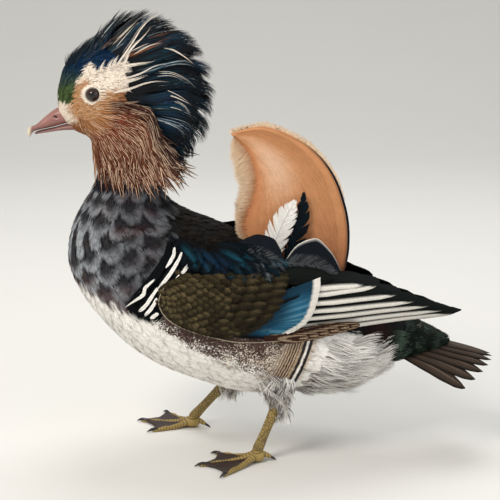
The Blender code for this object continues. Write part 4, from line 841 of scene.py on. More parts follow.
def thigh_rings(leg, side, inset):
    heel = np.array(leg["heel"], float)
    rings = []
    for (dx, dy, dz), radius in zip(((-6, -6, 34), (-4, -3, 22), (-1, -1, 11), (0, 0, 3), (0.5, 0, -2)),
                                    (24, 20, 13.5, 8.4, 5.6)):
        angles = np.linspace(0, 2 * math.pi, 16, endpoint=False)
        r = max(radius - inset, 2)
        centre = heel + (dx, dy, dz)
        rings.append(np.stack([centre[0] + r * np.cos(angles), (centre[1] + r * np.sin(angles)) * side,
                               np.full(16, centre[2])], axis=-1))
    return rings


class DRAKE_OT_skin(bpy.types.Operator):
    """One skin under the coat, from the bill's base to the tail"""

    bl_idname = "drake.skin"
    bl_label = "Skin"

    def execute(self, context):
        inset = sizes().coat_depth / MM
        angles = np.linspace(0, 2 * math.pi, 40, endpoint=False)
        lofts = [(TORSO, inset, 60), (NECK, inset, 20), (HEAD, 1.0, 40), (DRESSED_TAIL, inset, 20)]
        parts = [ring_mesh("part", loft(stations, np.linspace(0, 1, count), angles, -grow))
                 for stations, grow, count in lofts]
        for side_name, side in SIDES.items():
            rings = [ring * (1, side, 1) for ring in wing_rings(side, 3.5)]
            parts.append(ring_mesh("part", rings))
            parts.append(ring_mesh("part", thigh_rings(LEGS[side_name], side, inset)))
        only(*parts)
        bpy.ops.object.join()
        skin = context.view_layer.objects.active
        skin.name = skin.data.name = "skin"
        skin.data.remesh_voxel_size = 1.7 * MM
        bpy.ops.object.voxel_remesh()
        ease = skin.modifiers.new("ease", "SMOOTH")
        ease.iterations = 4
        bpy.ops.object.modifier_apply(modifier=ease.name)
        bpy.ops.object.shade_smooth()
        co = np.zeros(len(skin.data.vertices) * 3)
        skin.data.vertices.foreach_get("co", co)
        points = co.reshape(-1, 3) / MM - SHIFT
        colours = skin_marking(points) * 0.8
        store_colours(skin.data, colours)
        layer = skin.data.uv_layers.new(name="OFBake")
        maps = unwrapped(points)
        for face in skin.data.polygons:
            values = maps[list(face.vertices)]
            if np.ptp(values[:, 1]) > 0.4:
                values = values.copy()
                values[values[:, 1] < 0.5, 1] += 0.9
            for loop, value in zip(face.loop_indices, values):
                layer.data[loop].uv = value
        skin.data.materials.clear()
        skin.data.materials.append(plumage("down on skin", 0.85, variation=0.35))
        settle(skin, ["torso", "neck", "head", "thigh_left", "thigh_right"])
        return {"FINISHED"}


# Body coat


def under_wing(p):
    """Roots that the folded wing hides."""
    low, high = np.interp(p[:, 0], WING[:, 0], WING[:, 1]), np.interp(p[:, 0], WING[:, 0], WING[:, 2])
    return (p[:, 0] > -58) & (p[:, 0] < 80) & (p[:, 2] > low + 7) & (p[:, 2] < high - 14) & (np.abs(p[:, 1]) > 25)


def body_table(columns, grow):
    """Points round the torso and the neck's foot, from the neck to the tail."""
    angles = np.linspace(0, 2 * math.pi, columns, endpoint=False)
    return loft(TORSO + NECK[1:3], np.linspace(1, 0, 280), angles, grow)


def scallop(p):
    """Where points lie on the breast's scallops: 0 just below the one above, 1 at the rim."""
    place = unwrapped(p)
    length = np.linalg.norm(np.diff(AXIS, axis=0), axis=1).sum()
    along = (0.96 - place[..., 0]) / 0.94 * length / SCALLOP_ROW + 0.06 * ripple(p, 18, 25)
    around = (place[..., 1] - 0.03) / 0.9 * SCALLOP_COLUMNS + 0.06 * ripple(p, 24, 26)
    phases = []
    for half in (0, 1):
        column = around - 0.5 * half
        reach = (along - half + 2.3 * (column - np.round(column)) ** 2) / 2
        phases.append(reach - np.floor(reach))
    return np.clip(np.maximum(*phases) * 2 - 1, 0, 1)


def breast_colour(roots, points, t, u):
    """Slate, in large scallops that grow paler towards a thin dark rim, brightest at the front."""
    base = body_marking(points)
    flat = seen(points)
    is_slate = smooth((-60 - roots[:, 0]) / 8)[:, None, None]
    edge = smooth(0.5 - depth_inside(flat, BELLY) / 6) * smooth(0.5 - depth_inside(flat, STRIPE_ZONE) / 2)
    rim = scallop(points)
    band = (0.1 + 0.9 * smooth((rim - 0.05) / 0.55)) * smooth((0.9 - rim) / 0.18)
    front = smooth((-84 - roots[:, 0]) / 46)[:, None, None]
    grain = 0.65 + 0.35 * smooth(0.55 + 0.9 * ripple(points, 1.5, 24))
    shade = np.maximum(0.8 * smooth((0.3 - rim) / 0.3), smooth((rim - 0.74) / 0.1))
    colour = base * (1 - 0.72 * shade * is_slate * edge)[..., None]
    return mix(colour, tint("breast_pale"), band * is_slate * edge * (0.24 + 0.76 * front) * grain)


def back_colour(roots, points, t, u):
    base = body_marking(points)
    lit = ripple(roots, 9, 22)[:, None, None]
    warm = np.array(linear("#33261A"))
    return mix(base, warm, smooth(0.1 + 0.35 * lit) * 0.6 * smooth((t - 0.3) / 0.5))


def belly_colour(roots, points, t, u):
    base = body_marking(points)
    # Painted shade: each white feather greys towards its root, where the feather above overlaps it.
    grey = smooth(0.35 + 0.7 * ripple(roots, 20, 23))[:, None, None] * (0.35 + 0.65 * smooth((0.6 - t) / 0.4))
    return mix(base, tint("belly_shade"), grey * 0.4 * smooth(base.mean(axis=-1) * 3 - 0.6))


class DRAKE_OT_body_coat(bpy.types.Operator):
    """Feathers of breast, back, belly and flank"""

    bl_idname = "drake.body_coat"
    bl_label = "Body feathers"

    def execute(self, context):
        draw = draws(10)
        white = lambda p: depth_inside(seen(p) + (4, 0, 0), BELLY) > -2
        flank = lambda p: (depth_inside(seen(p) + (8, 0, 0), FLANK) > -3) & (np.abs(p[:, 1]) > 18)
        rear = lambda p: seen(p)[:, 0] > -64
        shown = lambda p: ~under_wing(p) & ~flank(p)
        layouts = {
            "breast_feathers": (54, 6.4, 18, 0.3, lambda p: shown(p) & ~white(p) & ~rear(p), breast_colour, 1.5, 24, 1.5, 0.12),
            "back_feathers": (60, 6.0, 17, 0.25, lambda p: shown(p) & ~white(p) & rear(p), back_colour, 1.4, 19, 1.9, 0.12),
            "belly_feathers": (44, 8.0, 22, 0.25, lambda p: shown(p) & white(p), belly_colour, 1.6, 25, 1.3, 0.1),
        }
        for name, (columns, spacing, length, jitter, keep, colour, broad, barbs, lift, ragged) in layouts.items():
            paths, normals, widths = laid_rows(body_table(columns, -1.0), spacing, length, 6, draw, jitter, keep, jitter)
            coat = Coat()
            contour_feathers(coat, paths, normals, widths * broad, colour, draw, barbs, lift, 1.2, ragged)
            if name == "breast_feathers":
                self.stripes(coat, draw)
            settle_all(coat.build(name, plumage(name.replace("_", " "), 0.7, variation=0.15)))
        self.flank(draw)
        return {"FINISHED"}

    def stripes(self, coat, draw):
        """Curved wisps of fine feathers, white over black, that slant down before the wing."""
        lanes = [(line, 6.5, 90, tint("crest_black") * 0.8, 1.2) for line in (*STRIPES, *STRIPE_EDGES)]
        lanes = lanes + [(line, 2.3, 60, tint("belly_white"), 2.5) for line in STRIPES]
        t = np.linspace(0, 1, 7)
        for side in SIDES.values():
            for line, width, count, colour, over in lanes:
                begin = draw.uniform(0, 0.62, count)
                at = begin[:, None] + draw.uniform(0.28, 0.38, (count, 1)) * t
                p = curve_read(line, at.ravel()).reshape(count, len(t), 2)
                run = unit(np.gradient(p, axis=1))
                swell = np.sin(math.pi * (0.05 + 0.9 * at)) ** 0.6 * width * draw.uniform(-0.5, 0.5, (count, 1))
                p = p + np.stack([-run[..., 1], run[..., 0]], axis=-1) * swell[..., None]
                reach = 55.0
                for _ in range(2):
                    x, z = from_picture(p[..., 0], p[..., 1], reach)
                    reach = neck_reach(x, z, (TORSO,), 240, 1.4)
                paths = np.stack([x, (reach + 0.8 + over) * side, z], axis=-1)
                normals = np.broadcast_to(unit(np.array((-0.45, side * 0.9, 0.1))), paths.shape)
                half = draw.uniform(0.3, 0.5, (count, 1)) * np.array([0.15, 0.8, 1, 1, 0.8, 0.5, 0.08])
                points = widened(paths, normals, half)
                coat.add(points, np.broadcast_to(colour, points.shape) * draw.uniform(0.8, 1.1, (count, 1, 1, 1)))

    def flank(self, draw):
        """Flank feathers carry how dense the stipple and the lines are, and the shader draws both."""
        low = lambda p: wing_edge(p[:, 0]) + np.where(p[:, 0] < 60, 1.0, 40)
        chosen = lambda p: (depth_inside(seen(p) + (6, 0, 0), FLANK) > -5) & (np.abs(p[:, 1]) > 14) & (p[:, 2] < low(p))
        paths, normals, widths = laid_rows(body_table(90, -0.6), 4.6, 15, 5, draw, 0.25, chosen, 0.3)
        coat = Coat()
        contour_feathers(coat, paths, normals, widths * 1.7, belly_colour, draw, 11, 1.8, 1.0)
        for obj in coat.build("flank_feathers", flank_plumage()):
            co = np.zeros(len(obj.data.vertices) * 3)
            obj.data.vertices.foreach_get("co", co)
            whole = co.reshape(-1, 3) / MM - SHIFT
            p = seen(whole)
            reach = np.linalg.norm(p[:, [0, 2]] - FLANK_CENTRE, axis=1)
            depth = depth_inside(p, FLANK) + ripple(p, 9, 9) * 3
            rear = smooth((reach - 88) / 12) * smooth(0.5 + (depth + 3) / 4)
            lines = rear * smooth((FLANK_END - 6 - reach) / 1.5)
            dark = 0.56 + 0.26 * smooth((p[:, 2] - 72) / 14) + 0.12 * ripple(p, 16, 12)
            stipple = smooth((depth + 5) / 9) * dark * (1 - rear)
            ends = smooth(0.5 + (depth_inside(p, FLANK) + 5) / 2) * (p[:, 0] > 0)
            for key, value in (("Lines", lines), ("Stipple", stipple), ("Ends", ends), ("Reach", reach * MM)):
                obj.data.attributes.new(key, "FLOAT", "POINT").data.foreach_set("value", value.astype(np.float32))
            colours = belly_colour(whole, whole[:, None, None], np.full((len(p), 1, 1), 0.8), 0)[:, 0, 0]
            tan = mix(mix(tint("belly_white"), tint("flank_tan"), smooth((depth - 1) / 9) * 0.6), tint("flank_tan"), rear)
            tan = mix(tan, tint("belly_white"), smooth((reach - FLANK_END - 1) / 1.5))
            colours = mix(colours, tan, smooth(0.5 + depth / 3))
            store_colours(obj.data, colours)
            settle(obj, [])


class DRAKE_OT_down(bpy.types.Operator):
    """Loose white down under the tail and round the thighs"""

    bl_idname = "drake.down"
    bl_label = "Down"

    def execute(self, context):
        draw = draws(30)
        vent = lambda p: (p[:, 0] > 26) & (p[:, 0] < 108) & (p[:, 2] < 101 - 0.26 * (p[:, 0] - 30)) & (
            depth_inside(seen(p), FLANK) < 2)
        paths, normals, _ = laid_rows(body_table(58, -1.5), 7.2, 27, 7, draw, 0.4, vent, 0.4)
        coat = Coat()
        self.tufts(coat, paths, normals, draw, 26, 8.5, 5.2)
        for side_name, side in SIDES.items():
            table = self.thigh_table(LEGS[side_name], side)
            paths, normals, _ = laid_rows(table, 4.4, 19, 7, draw, 0.45, None, 0.5)
            self.tufts(coat, paths, normals, draw, 17, 3.4, 3.4)
        settle_all(coat.build("down", plumage("loose down", 0.9, variation=0.12, sheen=0.25)))
        return {"FINISHED"}

    def thigh_table(self, leg, side):
        """Points of the thigh from its top to the heel, in rings."""
        rings = np.array(thigh_rings(leg, side, 1.0))
        flat = curve_read(rings.reshape(len(rings), -1), np.linspace(0.12, 1, 34))
        return flat.reshape(34, 16, 3)[:, ::-side]

    def tufts(self, coat, paths, normals, draw, strands, lift, wide):
        """Each tuft is a lock of soft strands that part, curl together and close to a point."""
        count, rows = paths.shape[:2]
        _, across, normals = frames_of(paths, normals)
        t = np.linspace(0, 1, rows)
        spread = draw.uniform(-1, 1, (count, strands, 1))
        curl = draw.normal(0, 2.4, (count, 1, 1)) + draw.normal(0, 0.5, (count, strands, 1))
        height = draw.uniform(0.45, 1.0, (count, 1, 1)) * lift * draw.uniform(0.35, 1.0, (count, strands, 1))
        short = draw.uniform(0.7, 1.05, (count, strands, 1))
        at = np.broadcast_to(t * short, (count, strands, rows))
        place, side, out = (read_along(values, at) for values in (paths, across, normals))
        sway = spread * wide * (0.25 + t * (1.5 - 1.25 * t)) + curl * np.sin(2.2 * t) * t * wide * 0.55
        middle = place + side * sway[..., None] + out * (height * t**1.1 - 0.8)[..., None]
        half = 0.36 * np.interp(t, (0, 0.5, 0.8, 1), (0.9, 1.0, 0.6, 0.1))
        strips = middle[..., None, :] + side[..., None, :] * (half[:, None] * np.array([-1, 1]))[..., None]
        strips = strips.reshape(count * strands, rows, 2, 3)
        roots = np.repeat(paths[:, 0], strands, axis=0)
        shade = smooth(0.4 + 0.8 * ripple(roots, 14, 31))[:, None, None] * (1 - t[None, :, None] * 0.6)
        colour = mix(tint("belly_white"), tint("belly_shade") * 0.6, shade * 0.75)
        near_leg = np.min([np.hypot(roots[:, 0] - LEGS[k]["heel"][0] + 2, (roots[:, 2] - 66) * 0.8)
                           for k in SIDES], axis=0)
        dark = draw.uniform(0, 1, (count * strands, 1, 1)) < 0.05 + 0.4 * smooth((22 - near_leg) / 14)[:, None, None]
        colour = mix(colour, tint("flank_brown") * 0.6, dark * smooth((t[None, :, None] - 0.1) / 0.4) * 0.8)
        coat.add(strips, np.broadcast_to(colour, strips.shape))


# Head and neck


def tiny_colour(roots, points, t, u):
    return head_marking(points)


class DRAKE_OT_face(bpy.types.Operator):
    """Short feathers of face, crown and neck"""

    bl_idname = "drake.face"
    bl_label = "Face feathers"

    def execute(self, context):
        draw = draws(40)
        coat = Coat()
        angles = np.linspace(0, 2 * math.pi, 150, endpoint=False)
        head = loft(HEAD, np.linspace(0, 1, 120), angles, -0.8)
        clear = lambda p: np.linalg.norm(np.abs(p) - (-EYE[0], EYE[1] + 2, EYE[2]), axis=1) > 5.6
        paths, normals, widths = laid_rows(head, 1.15, 4.4, 4, draw, 0.5, clear, 0.9)
        self.tufts(coat, paths, normals, draw, 0.5, 0.45, 1.4)
        neck = loft(NECK, np.linspace(1, 0, 60), np.linspace(0, 2 * math.pi, 110, endpoint=False), -1.2)
        paths, normals, widths = laid_rows(neck, 1.7, 8.5, 4, draw, 0.5, lambda p: p[:, 2] > 206, 0.8)
        self.tufts(coat, paths, normals, draw, 0.5, 0.7, 1.5)
        self.eye_ring(coat, draw)
        settle_all(coat.build("face_feathers", plumage("short face feathers", 0.7)))
        return {"FINISHED"}

    def tufts(self, coat, paths, normals, draw, half, lift, sway):
        _, across, normals = frames_of(paths, normals)
        t = np.linspace(0, 1, paths.shape[1])
        bend = draw.normal(0, sway * 0.35, (len(paths), 1)) * t
        paths = paths + across * bend[..., None] + normals * (lift * t)[:, None] * draw.uniform(0.6, 1.2, (len(paths), 1, 1))
        widths = np.broadcast_to(half * np.array([1.0, 1.0, 0.75, 0.12]), paths.shape[:2])
        points = widened(paths, normals, widths)
        colour = head_marking(np.broadcast_to(paths[:, :1, None], points.shape)) * draw.uniform(0.9, 1.08, (len(paths), 1, 1, 1))
        coat.add(points, colour)

    def eye_ring(self, coat, draw):
        """White feathers that ring the lids, lying outwards and back."""
        count = 190
        for side in SIDES.values():
            turn = np.linspace(0, 2 * math.pi, count, endpoint=False) + draw.uniform(-0.02, 0.02, count)
            for ring, (inner, rise) in enumerate(((5.1, 2.6), (5.9, 1.9), (6.8, 1.2))):
                away = np.stack([np.cos(turn), np.zeros(count), np.sin(turn)], axis=-1)
                lean = unit(away + (0.75, 0, -0.1))
                start = np.array(EYE) * (1, side, 1) + away * inner + (0, side * rise, 0)
                t = np.linspace(0, 1, 4)[None, :, None]
                paths = start[:, None] + lean[:, None] * t * 3.0 - np.array((0, side, 0)) * t * 0.7
                normals = np.broadcast_to((0, side, 0), paths.shape)
                points = widened(paths, normals, np.broadcast_to([0.3, 0.34, 0.26, 0.05], paths.shape[:2]))
                white = mix(tint("face_white"), tint("cheek_buff"), draw.uniform(0, 0.25, (count, 1, 1)) * ring)
                coat.add(points, np.broadcast_to(white, points.shape))


class DRAKE_OT_ruff(bpy.types.Operator):
    """Lance shaped feathers that fan from the cheek over the neck"""

    bl_idname = "drake.ruff"
    bl_label = "Ruff"

    def execute(self, context):
        coat = Coat()
        for side in SIDES.values():
            self.half(coat, side, draws(50 + side))
        settle_all(coat.build("ruff", plumage("ruff vane", 0.6, variation=0.1)))
        return {"FINISHED"}

    def half(self, coat, side, draw):
        """Feathers fan from below the eye. The shorter ones root higher and lie over the longer ones."""
        count, rows = sizes().ruff_feathers, 8
        share = draw.uniform(0, 1, count)
        tip_share = draw.uniform(0.16, 1.0, count) ** 0.75
        tip_share = np.where(share > 0.55, np.minimum(tip_share, 1.02), tip_share)
        reach = 58 + 35 * np.minimum(1, share * 1.25)
        tip_radius = reach * tip_share * draw.uniform(0.94, 1.03, count)
        length = 9 + 23 * tip_share
        root_radius = np.maximum(10, tip_radius - length)
        tip_radius = np.maximum(tip_radius, root_radius + 6)
        t = np.linspace(0, 1, rows)
        radius = root_radius[:, None] + (tip_radius - root_radius)[:, None] * t
        upper = np.interp(radius, (12, 24, 47, 56, 75, 95), (16, 10, -3, -20, -29, -31))
        lower = np.interp(radius, (10, 16, 25, 95), (-125, -107, -86, -80))
        turn = np.radians(lower + (upper - lower) * share[:, None] + draw.normal(0, 3.0, count)[:, None] * t**2)
        bend = draw.normal(1.4, 1.2, count)[:, None] * t**2
        x = -118 + np.cos(turn) * radius - np.sin(turn) * bend
        z = 262 + np.sin(turn) * radius + np.cos(turn) * bend
        lie = np.maximum(neck_reach(x, z), np.minimum(15.5 + 0.14 * radius, 30) * smooth((x + 118) / 12))
        over = 0.4 + 2.6 * (1 - tip_share)[:, None]
        y = side * (lie + np.minimum(1, t * 2) * over - 0.9 + 1.4 * t * draw.uniform(0.2, 1, (count, 1)))
        paths = np.stack([x, y, z], axis=-1)
        front = np.clip((-108 - x) / 8, 0, 1)
        normals = unit(np.stack([-0.9 * front, np.full_like(x, side), 0.15 * np.ones_like(x)], axis=-1))
        size = (0.45 + 0.5 * tip_share)[:, None]
        half = size * np.array([0.4, 0.8, 1.05, 1.1, 1.0, 0.75, 0.42, 0.05])
        points = widened(paths, normals, half, 5, 0.3)
        u = np.linspace(-1, 1, 5)[None, None]
        tt = np.broadcast_to(t[None, :, None], points.shape[:3])
        far = smooth((tip_share - 0.25) / 0.6)[:, None, None]
        web = mix(tint("rust"), tint("rust") * 0.42, far * smooth(tt / 0.7))
        nape = smooth((share - 0.74) / 0.2)[:, None, None]
        buff = np.maximum(smooth((26 - radius) / 12), smooth((-106 - x) / 14) * 0.5)[:, :, None]
        web = mix(web, tint("cheek_buff"), buff * 0.75 + tt * 0)
        # Painted shade: each feather darkens along both edges, so that the gaps between feathers read as shadow.
        web = mix(web, tint("rust_dark_and_gap_shade"), smooth((np.abs(u) - 0.45) / 0.3) * 0.92 * (1 - buff * 0.6))
        web = mix(web, tint("crest_black"), nape * smooth((tt - 0.2) / 0.4) * 0.8)
        shaft = smooth((0.3 - np.abs(u)) / 0.12) * smooth(tt / 0.2) * smooth((1.08 - tt) / 0.1)
        chance = draw.uniform(0, 1, (count, 1, 1))
        bright = np.where(chance < 0.62, 1.0 - 0.5 * chance, 0.08) * (1 - 0.3 * nape)
        cream = mix(tint("shaft_cream") * 0.75, tint("shaft_cream"), far + 0 * tt)
        colour = web + (cream - web) * (shaft * bright)[..., None]
        coat.add(points, colour * draw.uniform(0.8, 1.1, (count, 1, 1, 1)))


def neck_reach(x, z, bodies=(HEAD, NECK, TORSO[11:]), stops=60, near=2.2):
    """How far out to the side the bodies stand at x, z."""
    out = np.zeros_like(x)
    for stations in bodies:
        shares = np.linspace(0, 1, stops)
        top = curve_read([s[0] for s in stations], shares)
        bottom = curve_read([s[1] for s in stations], shares)
        width = curve_read([s[2] for s in stations], shares)[:, 0]
        for a, b, w in zip(top, bottom, width):
            centre, half = (a + b) / 2, (a - b) / 2
            reach = np.linalg.norm(half)
            axis = half / reach
            dx, dz = x - centre[0], z - centre[1]
            beside = np.abs(dx * axis[1] - dz * axis[0]) < near
            high = np.clip(np.abs(dx * axis[0] + dz * axis[1]) / reach, 0, 1)
            y = w * (1 - high**BODY_POWER) ** (1 / BODY_POWER)
            out = np.where(beside, np.maximum(out, y), out)
    return out


class DRAKE_OT_crest(bpy.types.Operator):
    """Long fine feathers of crown and nape, gathered in pointed locks"""

    bl_idname = "drake.crest"
    bl_label = "Crest"

    def execute(self, context):
        draw = draws(60)
        coat = Coat()
        around = 16
        for hand in np.linspace(-0.94, 0.94, 11):
            most = np.interp(abs(hand), (0, 0.42, 0.78, 0.94), (0.66, 0.7, 0.62, 0.55))
            for i in range(around):
                angle = 124 - 190 * (i + draw.uniform(0.05, 0.95)) / around
                depth = most * draw.uniform(0.6, 1.0)
                if abs(hand) < 0.5 or angle < 66:
                    self.lock(coat, angle, hand + draw.uniform(-0.08, 0.08), depth, sizes().crest_hairs, 1.9, draw)
        leading = 30
        for i in range(leading):
            angle = 122 - 187 * (i + draw.uniform(0.1, 0.9)) / leading
            depth = draw.uniform(0.86, 1.12) * np.interp(angle, (96, 122), (1, 0.82))
            self.lock(coat, angle, draw.uniform(-0.45, 0.45), depth, sizes().crest_hairs, 1.5, draw)
        for _ in range(90):
            self.lock(coat, draw.uniform(-66, 124), draw.uniform(-0.5, 0.5), draw.uniform(0.7, 1.14), 8, 0.7, draw)
        self.brow(coat, draw)
        self.streaks(coat, draw)
        settle_all(coat.build("crest", plumage("crest barbs", 0.45, variation=0.2, specular=0.2)),
                   ["crest"])
        return {"FINISHED"}

    def paths(self, angle, hand, depth, root_turn, rows):
        """Curves from the head's oval to the arc on which the tips lie."""
        turn, half_turn = np.radians(angle), np.radians(62) * hand
        spread = np.cos(half_turn)
        at = np.radians(root_turn)
        start = np.stack([-102 + 27 * spread * np.cos(at), 17.5 * np.sin(half_turn), 266 + 32 * spread * np.sin(at)], axis=-1)
        rx, rz = 34 + 20 * depth, 38 + 24 * depth
        end = np.stack([-80 + rx * np.cos(turn), hand * (19 - 6 * depth), 268 + rz * np.sin(turn)], axis=-1)
        out = np.stack([np.cos(turn), np.zeros_like(turn), np.sin(turn)], axis=-1)
        down = np.stack([np.sin(turn), np.zeros_like(turn), -np.cos(turn)], axis=-1)
        lean = unit(out * 0.9 + down * 0.5 + np.stack([hand * 0, hand * 0.35, hand * 0], axis=-1))
        settle_to = unit(out * 0.5 + down * 0.8)
        length = np.linalg.norm(end - start, axis=-1, keepdims=True)
        return bezier(start, start + lean * length * 0.35, end - settle_to * length * 0.35, end, rows), out, down

    def lock(self, coat, angle, hand, depth, count, loose, draw):
        """One lock: fine feathers that leave the head side by side and close to a curved point."""
        rows = 9
        angles = angle + draw.normal(0, loose, count)
        hands = np.clip(hand + draw.normal(0, 0.04, count), -1, 1)
        depths = depth * (1 - np.abs(draw.normal(0, 0.1, count)))
        roots = angle + 27 + draw.uniform(-9, 9, count)
        paths, out, down = self.paths(angles, hands, depths, roots, rows)
        t = np.linspace(0, 1, rows)
        flick = (1.6 * math.cos(math.radians(angle)) + draw.normal(0, 1.8)) * t**3 + draw.normal(0, 0.6) * np.sin(t * 6 + draw.uniform(0, 6)) * t
        stray = draw.normal(0, 0.7, count)[:, None] * t**2
        paths = paths - down[:, None] * (flick[None] + stray)[..., None]
        over_face = depth_inside(seen(paths[:, :4]), EYE_PATCH).max(axis=1) > -0.5
        clear = ~over_face | (np.abs(hands) < 0.4)
        if not clear.any():
            return
        paths, out, hands, angles = paths[clear], out[clear], hands[clear], angles[clear]
        count = len(paths)
        side = np.where(hands >= 0, 1.0, -1.0)
        outer = smooth((np.abs(hands) - 0.45) / 0.2)[:, None]
        skin = neck_reach(paths[..., 0], paths[..., 2], (HEAD,), 40, 3) + 0.3 + 1.2 * t
        pushed = np.maximum(np.abs(paths[..., 1]), skin * outer)
        paths[..., 1] = pushed * side[:, None]
        normals = unit(np.stack([out[:, 0] * 0.4, side * np.clip(np.abs(hands) * 3, 0.25, 1), out[:, 2] * 0.4], axis=-1))
        half = draw.uniform(0.24, 0.44, (count, 1)) * np.array([0.8, 1, 1, 1, 0.9, 0.75, 0.55, 0.3, 0.05])
        points = widened(paths, np.broadcast_to(normals[:, None], paths.shape), half)
        coat.add(points, self.colour(angle, angles, hands, t, draw)[:, :, None] + points * 0)

    def colour(self, angle, angles, hands, t, draw):
        """Blue black; a sheen of blue or teal crosses each lock, and some feathers are copper or white."""
        count = len(angles)
        # Painted sheen: a band of blue or teal highlight crosses each lock around mid-length.
        painted_sheen = mix(tint("crown_blue") * 2.0, tint("crest_teal") * 1.8, np.array(draw.uniform(0, 1)))
        middle = draw.uniform(0.35, 0.75)
        amount = draw.uniform(0, 1, count) ** 1.3 * draw.uniform(0.45, 1.0)
        colour = mix(tint("crest_black"), painted_sheen, amount[:, None] * smooth(1 - np.abs(t - middle) / 0.42)[None])
        copper = smooth(1 - np.abs(angle - 96) / 12) * 0.6 + smooth(1 - np.abs(angle - 50) / 10) * 0.8
        copper = (draw.uniform(0, 1, count) < copper * 0.6)[:, None]
        colour = mix(colour, tint("crest_copper"), copper * (smooth((t - 0.08) / 0.2) * smooth((0.8 - t) / 0.3))[None] * 0.8)
        near = smooth((np.abs(hands) - 0.45) / 0.2)
        chance = (0.03 + 0.22 * smooth(1 - np.abs(angles - 108) / 16) + 0.12 * smooth(1 - np.abs(angles + 38) / 16)
                  + near * 0.3 * (smooth(1 - np.abs(angles - 64) / 7) + smooth(1 - np.abs(angles - 24) / 6)))
        pale = (draw.uniform(0, 1, count) < chance)[:, None]
        strength = draw.uniform(0.25, 0.9, (count, 1))
        run = smooth((t - 0.1) / 0.25) * smooth((1.02 - t) / 0.3)
        return mix(colour, np.array(linear("#C3D0D2")), pale * run[None] * strength)

    def brow(self, coat, draw):
        """Hairs that leave the crown flat and rise with the crest's front edge."""
        count, rows = 620, 8
        share = draw.uniform(0, 1, count)
        hand = np.clip(draw.normal(0, 0.33, count), -0.9, 0.9)
        end = curve_read([(-129, 300.5), (-118, 309.5), (-107, 316.5), (-94, 326.5)], share)
        back = draw.uniform(13, 24, count)
        low = draw.uniform(0, 1, count) ** 1.5 * (4 + 6 * share) + 9 * hand**2
        tops = np.array([station[0] for station in HEAD])
        x = np.maximum(end[:, 0] - back, -137)
        y = hand * 15
        start = np.stack([x, y, np.interp(x, tops[:, 0], tops[:, 1]) - 2.0 - 11 * hand**2], axis=-1)
        end = np.stack([end[:, 0] + draw.normal(0, 1.2, count), y * 1.15, end[:, 1] - low], axis=-1)
        span = np.linalg.norm(end - start, axis=1)[:, None]
        first = start + unit(np.array((0.9, 0, 0.42))) * span * 0.4
        second = end - unit(np.array((0.8, 0, 0.6))) * span * 0.35
        paths = bezier(start, first, second, end, rows)
        normals = np.stack([np.full(count, -0.3), hand * 2, np.full(count, 0.8)], axis=-1)
        half = draw.uniform(0.24, 0.42, (count, 1)) * np.array([0.5, 1, 1, 1, 0.9, 0.7, 0.4, 0.05])
        points = widened(paths, np.broadcast_to(unit(normals)[:, None], paths.shape), half)
        t = np.linspace(0, 1, rows)
        sheen = mix(tint("crown_blue") * 1.4, tint("crest_teal"), draw.uniform(0, 1, (count, 1)))
        sheen = mix(tint("crest_black"), sheen, draw.uniform(0.1, 0.9, (count, 1)) * smooth((1.1 - t) / 0.9)[None])
        coat.add(points, sheen[:, :, None] + points * 0)

    def streaks(self, coat, draw):
        """White feathers that flow from brow and ear into the crest, in narrow curved wisps."""
        wisps = [([(-100, 291), (-98, 294.5), (-93, 301.5), (-88, 309), (-80, 321.5), (-71, 329), (-66.5, 332)], 15, 0.5),
                 ([(-97, 291), (-93, 298), (-87, 306), (-80, 313), (-73, 322)], 7, 0.5),
                 ([(-98, 289), (-93, 291), (-84, 292.5), (-74, 294), (-68.5, 297.5)], 9, 0.5),
                 ([(-97, 284), (-92, 282.5), (-82, 285.5), (-71, 291), (-58, 293.6)], 10, 0.5),
                 ([(-104, 271), (-98.5, 272), (-88, 274.5), (-79.5, 277.5), (-71, 279.2), (-61, 279)], 15, 0.6),
                 ([(-100, 277), (-93, 279), (-85, 281), (-77, 284)], 12, 0.8),
                 ([(-107, 288), (-105, 293), (-101, 298)], 10, 0.7), ([(-112, 286), (-111, 291), (-108, 296)], 10, 0.7),
                 ([(-103, 289), (-101, 295), (-97, 300)], 10, 0.7), ([(-117, 284), (-117, 288), (-115, 292)], 9, 0.7),
                 ([(-122, 285), (-122.5, 289), (-121, 292)], 8, 0.6), ([(-96, 290), (-93, 296), (-90, 301)], 8, 0.6),
                 ([(-66, 305), (-58, 303), (-48, 297), (-40, 290)], 3, 1.3), ([(-60, 262), (-50, 258), (-43, 248)], 3, 1.3),
                 ([(-104, 306), (-97, 313), (-88, 322), (-82, 327)], 4, 1.3), ([(-90, 300), (-76, 307), (-64, 309)], 3, 1.3),
                 ([(-70, 284), (-58, 284), (-46, 278), (-38, 270)], 3, 1.3), ([(-64, 272), (-54, 268), (-44, 262)], 3, 1.3)]
        t = np.linspace(0, 1, 9)
        for line, count, spread in wisps:
            for side in SIDES.values():
                begin = draw.uniform(0, 0.3, count)
                stop = np.minimum(begin + draw.uniform(0.45, 0.8, count), 1.0)
                at = begin[:, None] + (stop - begin)[:, None] * t
                p = curve_read(line, at.ravel()).reshape(count, len(t), 2)
                run = unit(np.gradient(p, axis=1))
                beside = draw.normal(0, spread, (count, 1)) * (1.25 - at)
                p = p + np.stack([-run[..., 1], run[..., 0]], axis=-1) * beside[..., None]
                x, z = from_picture(p[..., 0], p[..., 1], 20)
                skin = neck_reach(x, z, (HEAD,), 40, 3)
                y = np.maximum(skin, 15) + 2.2 + 2.4 * at
                paths = np.stack([x, y * side, z], axis=-1)
                half = draw.uniform(0.11, 0.23, (count, 1)) * np.array([0.1, 0.8, 1, 1, 0.9, 0.7, 0.45, 0.25, 0.04])
                points = widened(paths, np.broadcast_to((0, side, 0.2), paths.shape), half)
                tone = mix(tint("face_white"), tint("breast_pale"), draw.uniform(0, 0.35, (count, 1, 1)))
                coat.add(points, np.broadcast_to(tone, points.shape))


# Wings


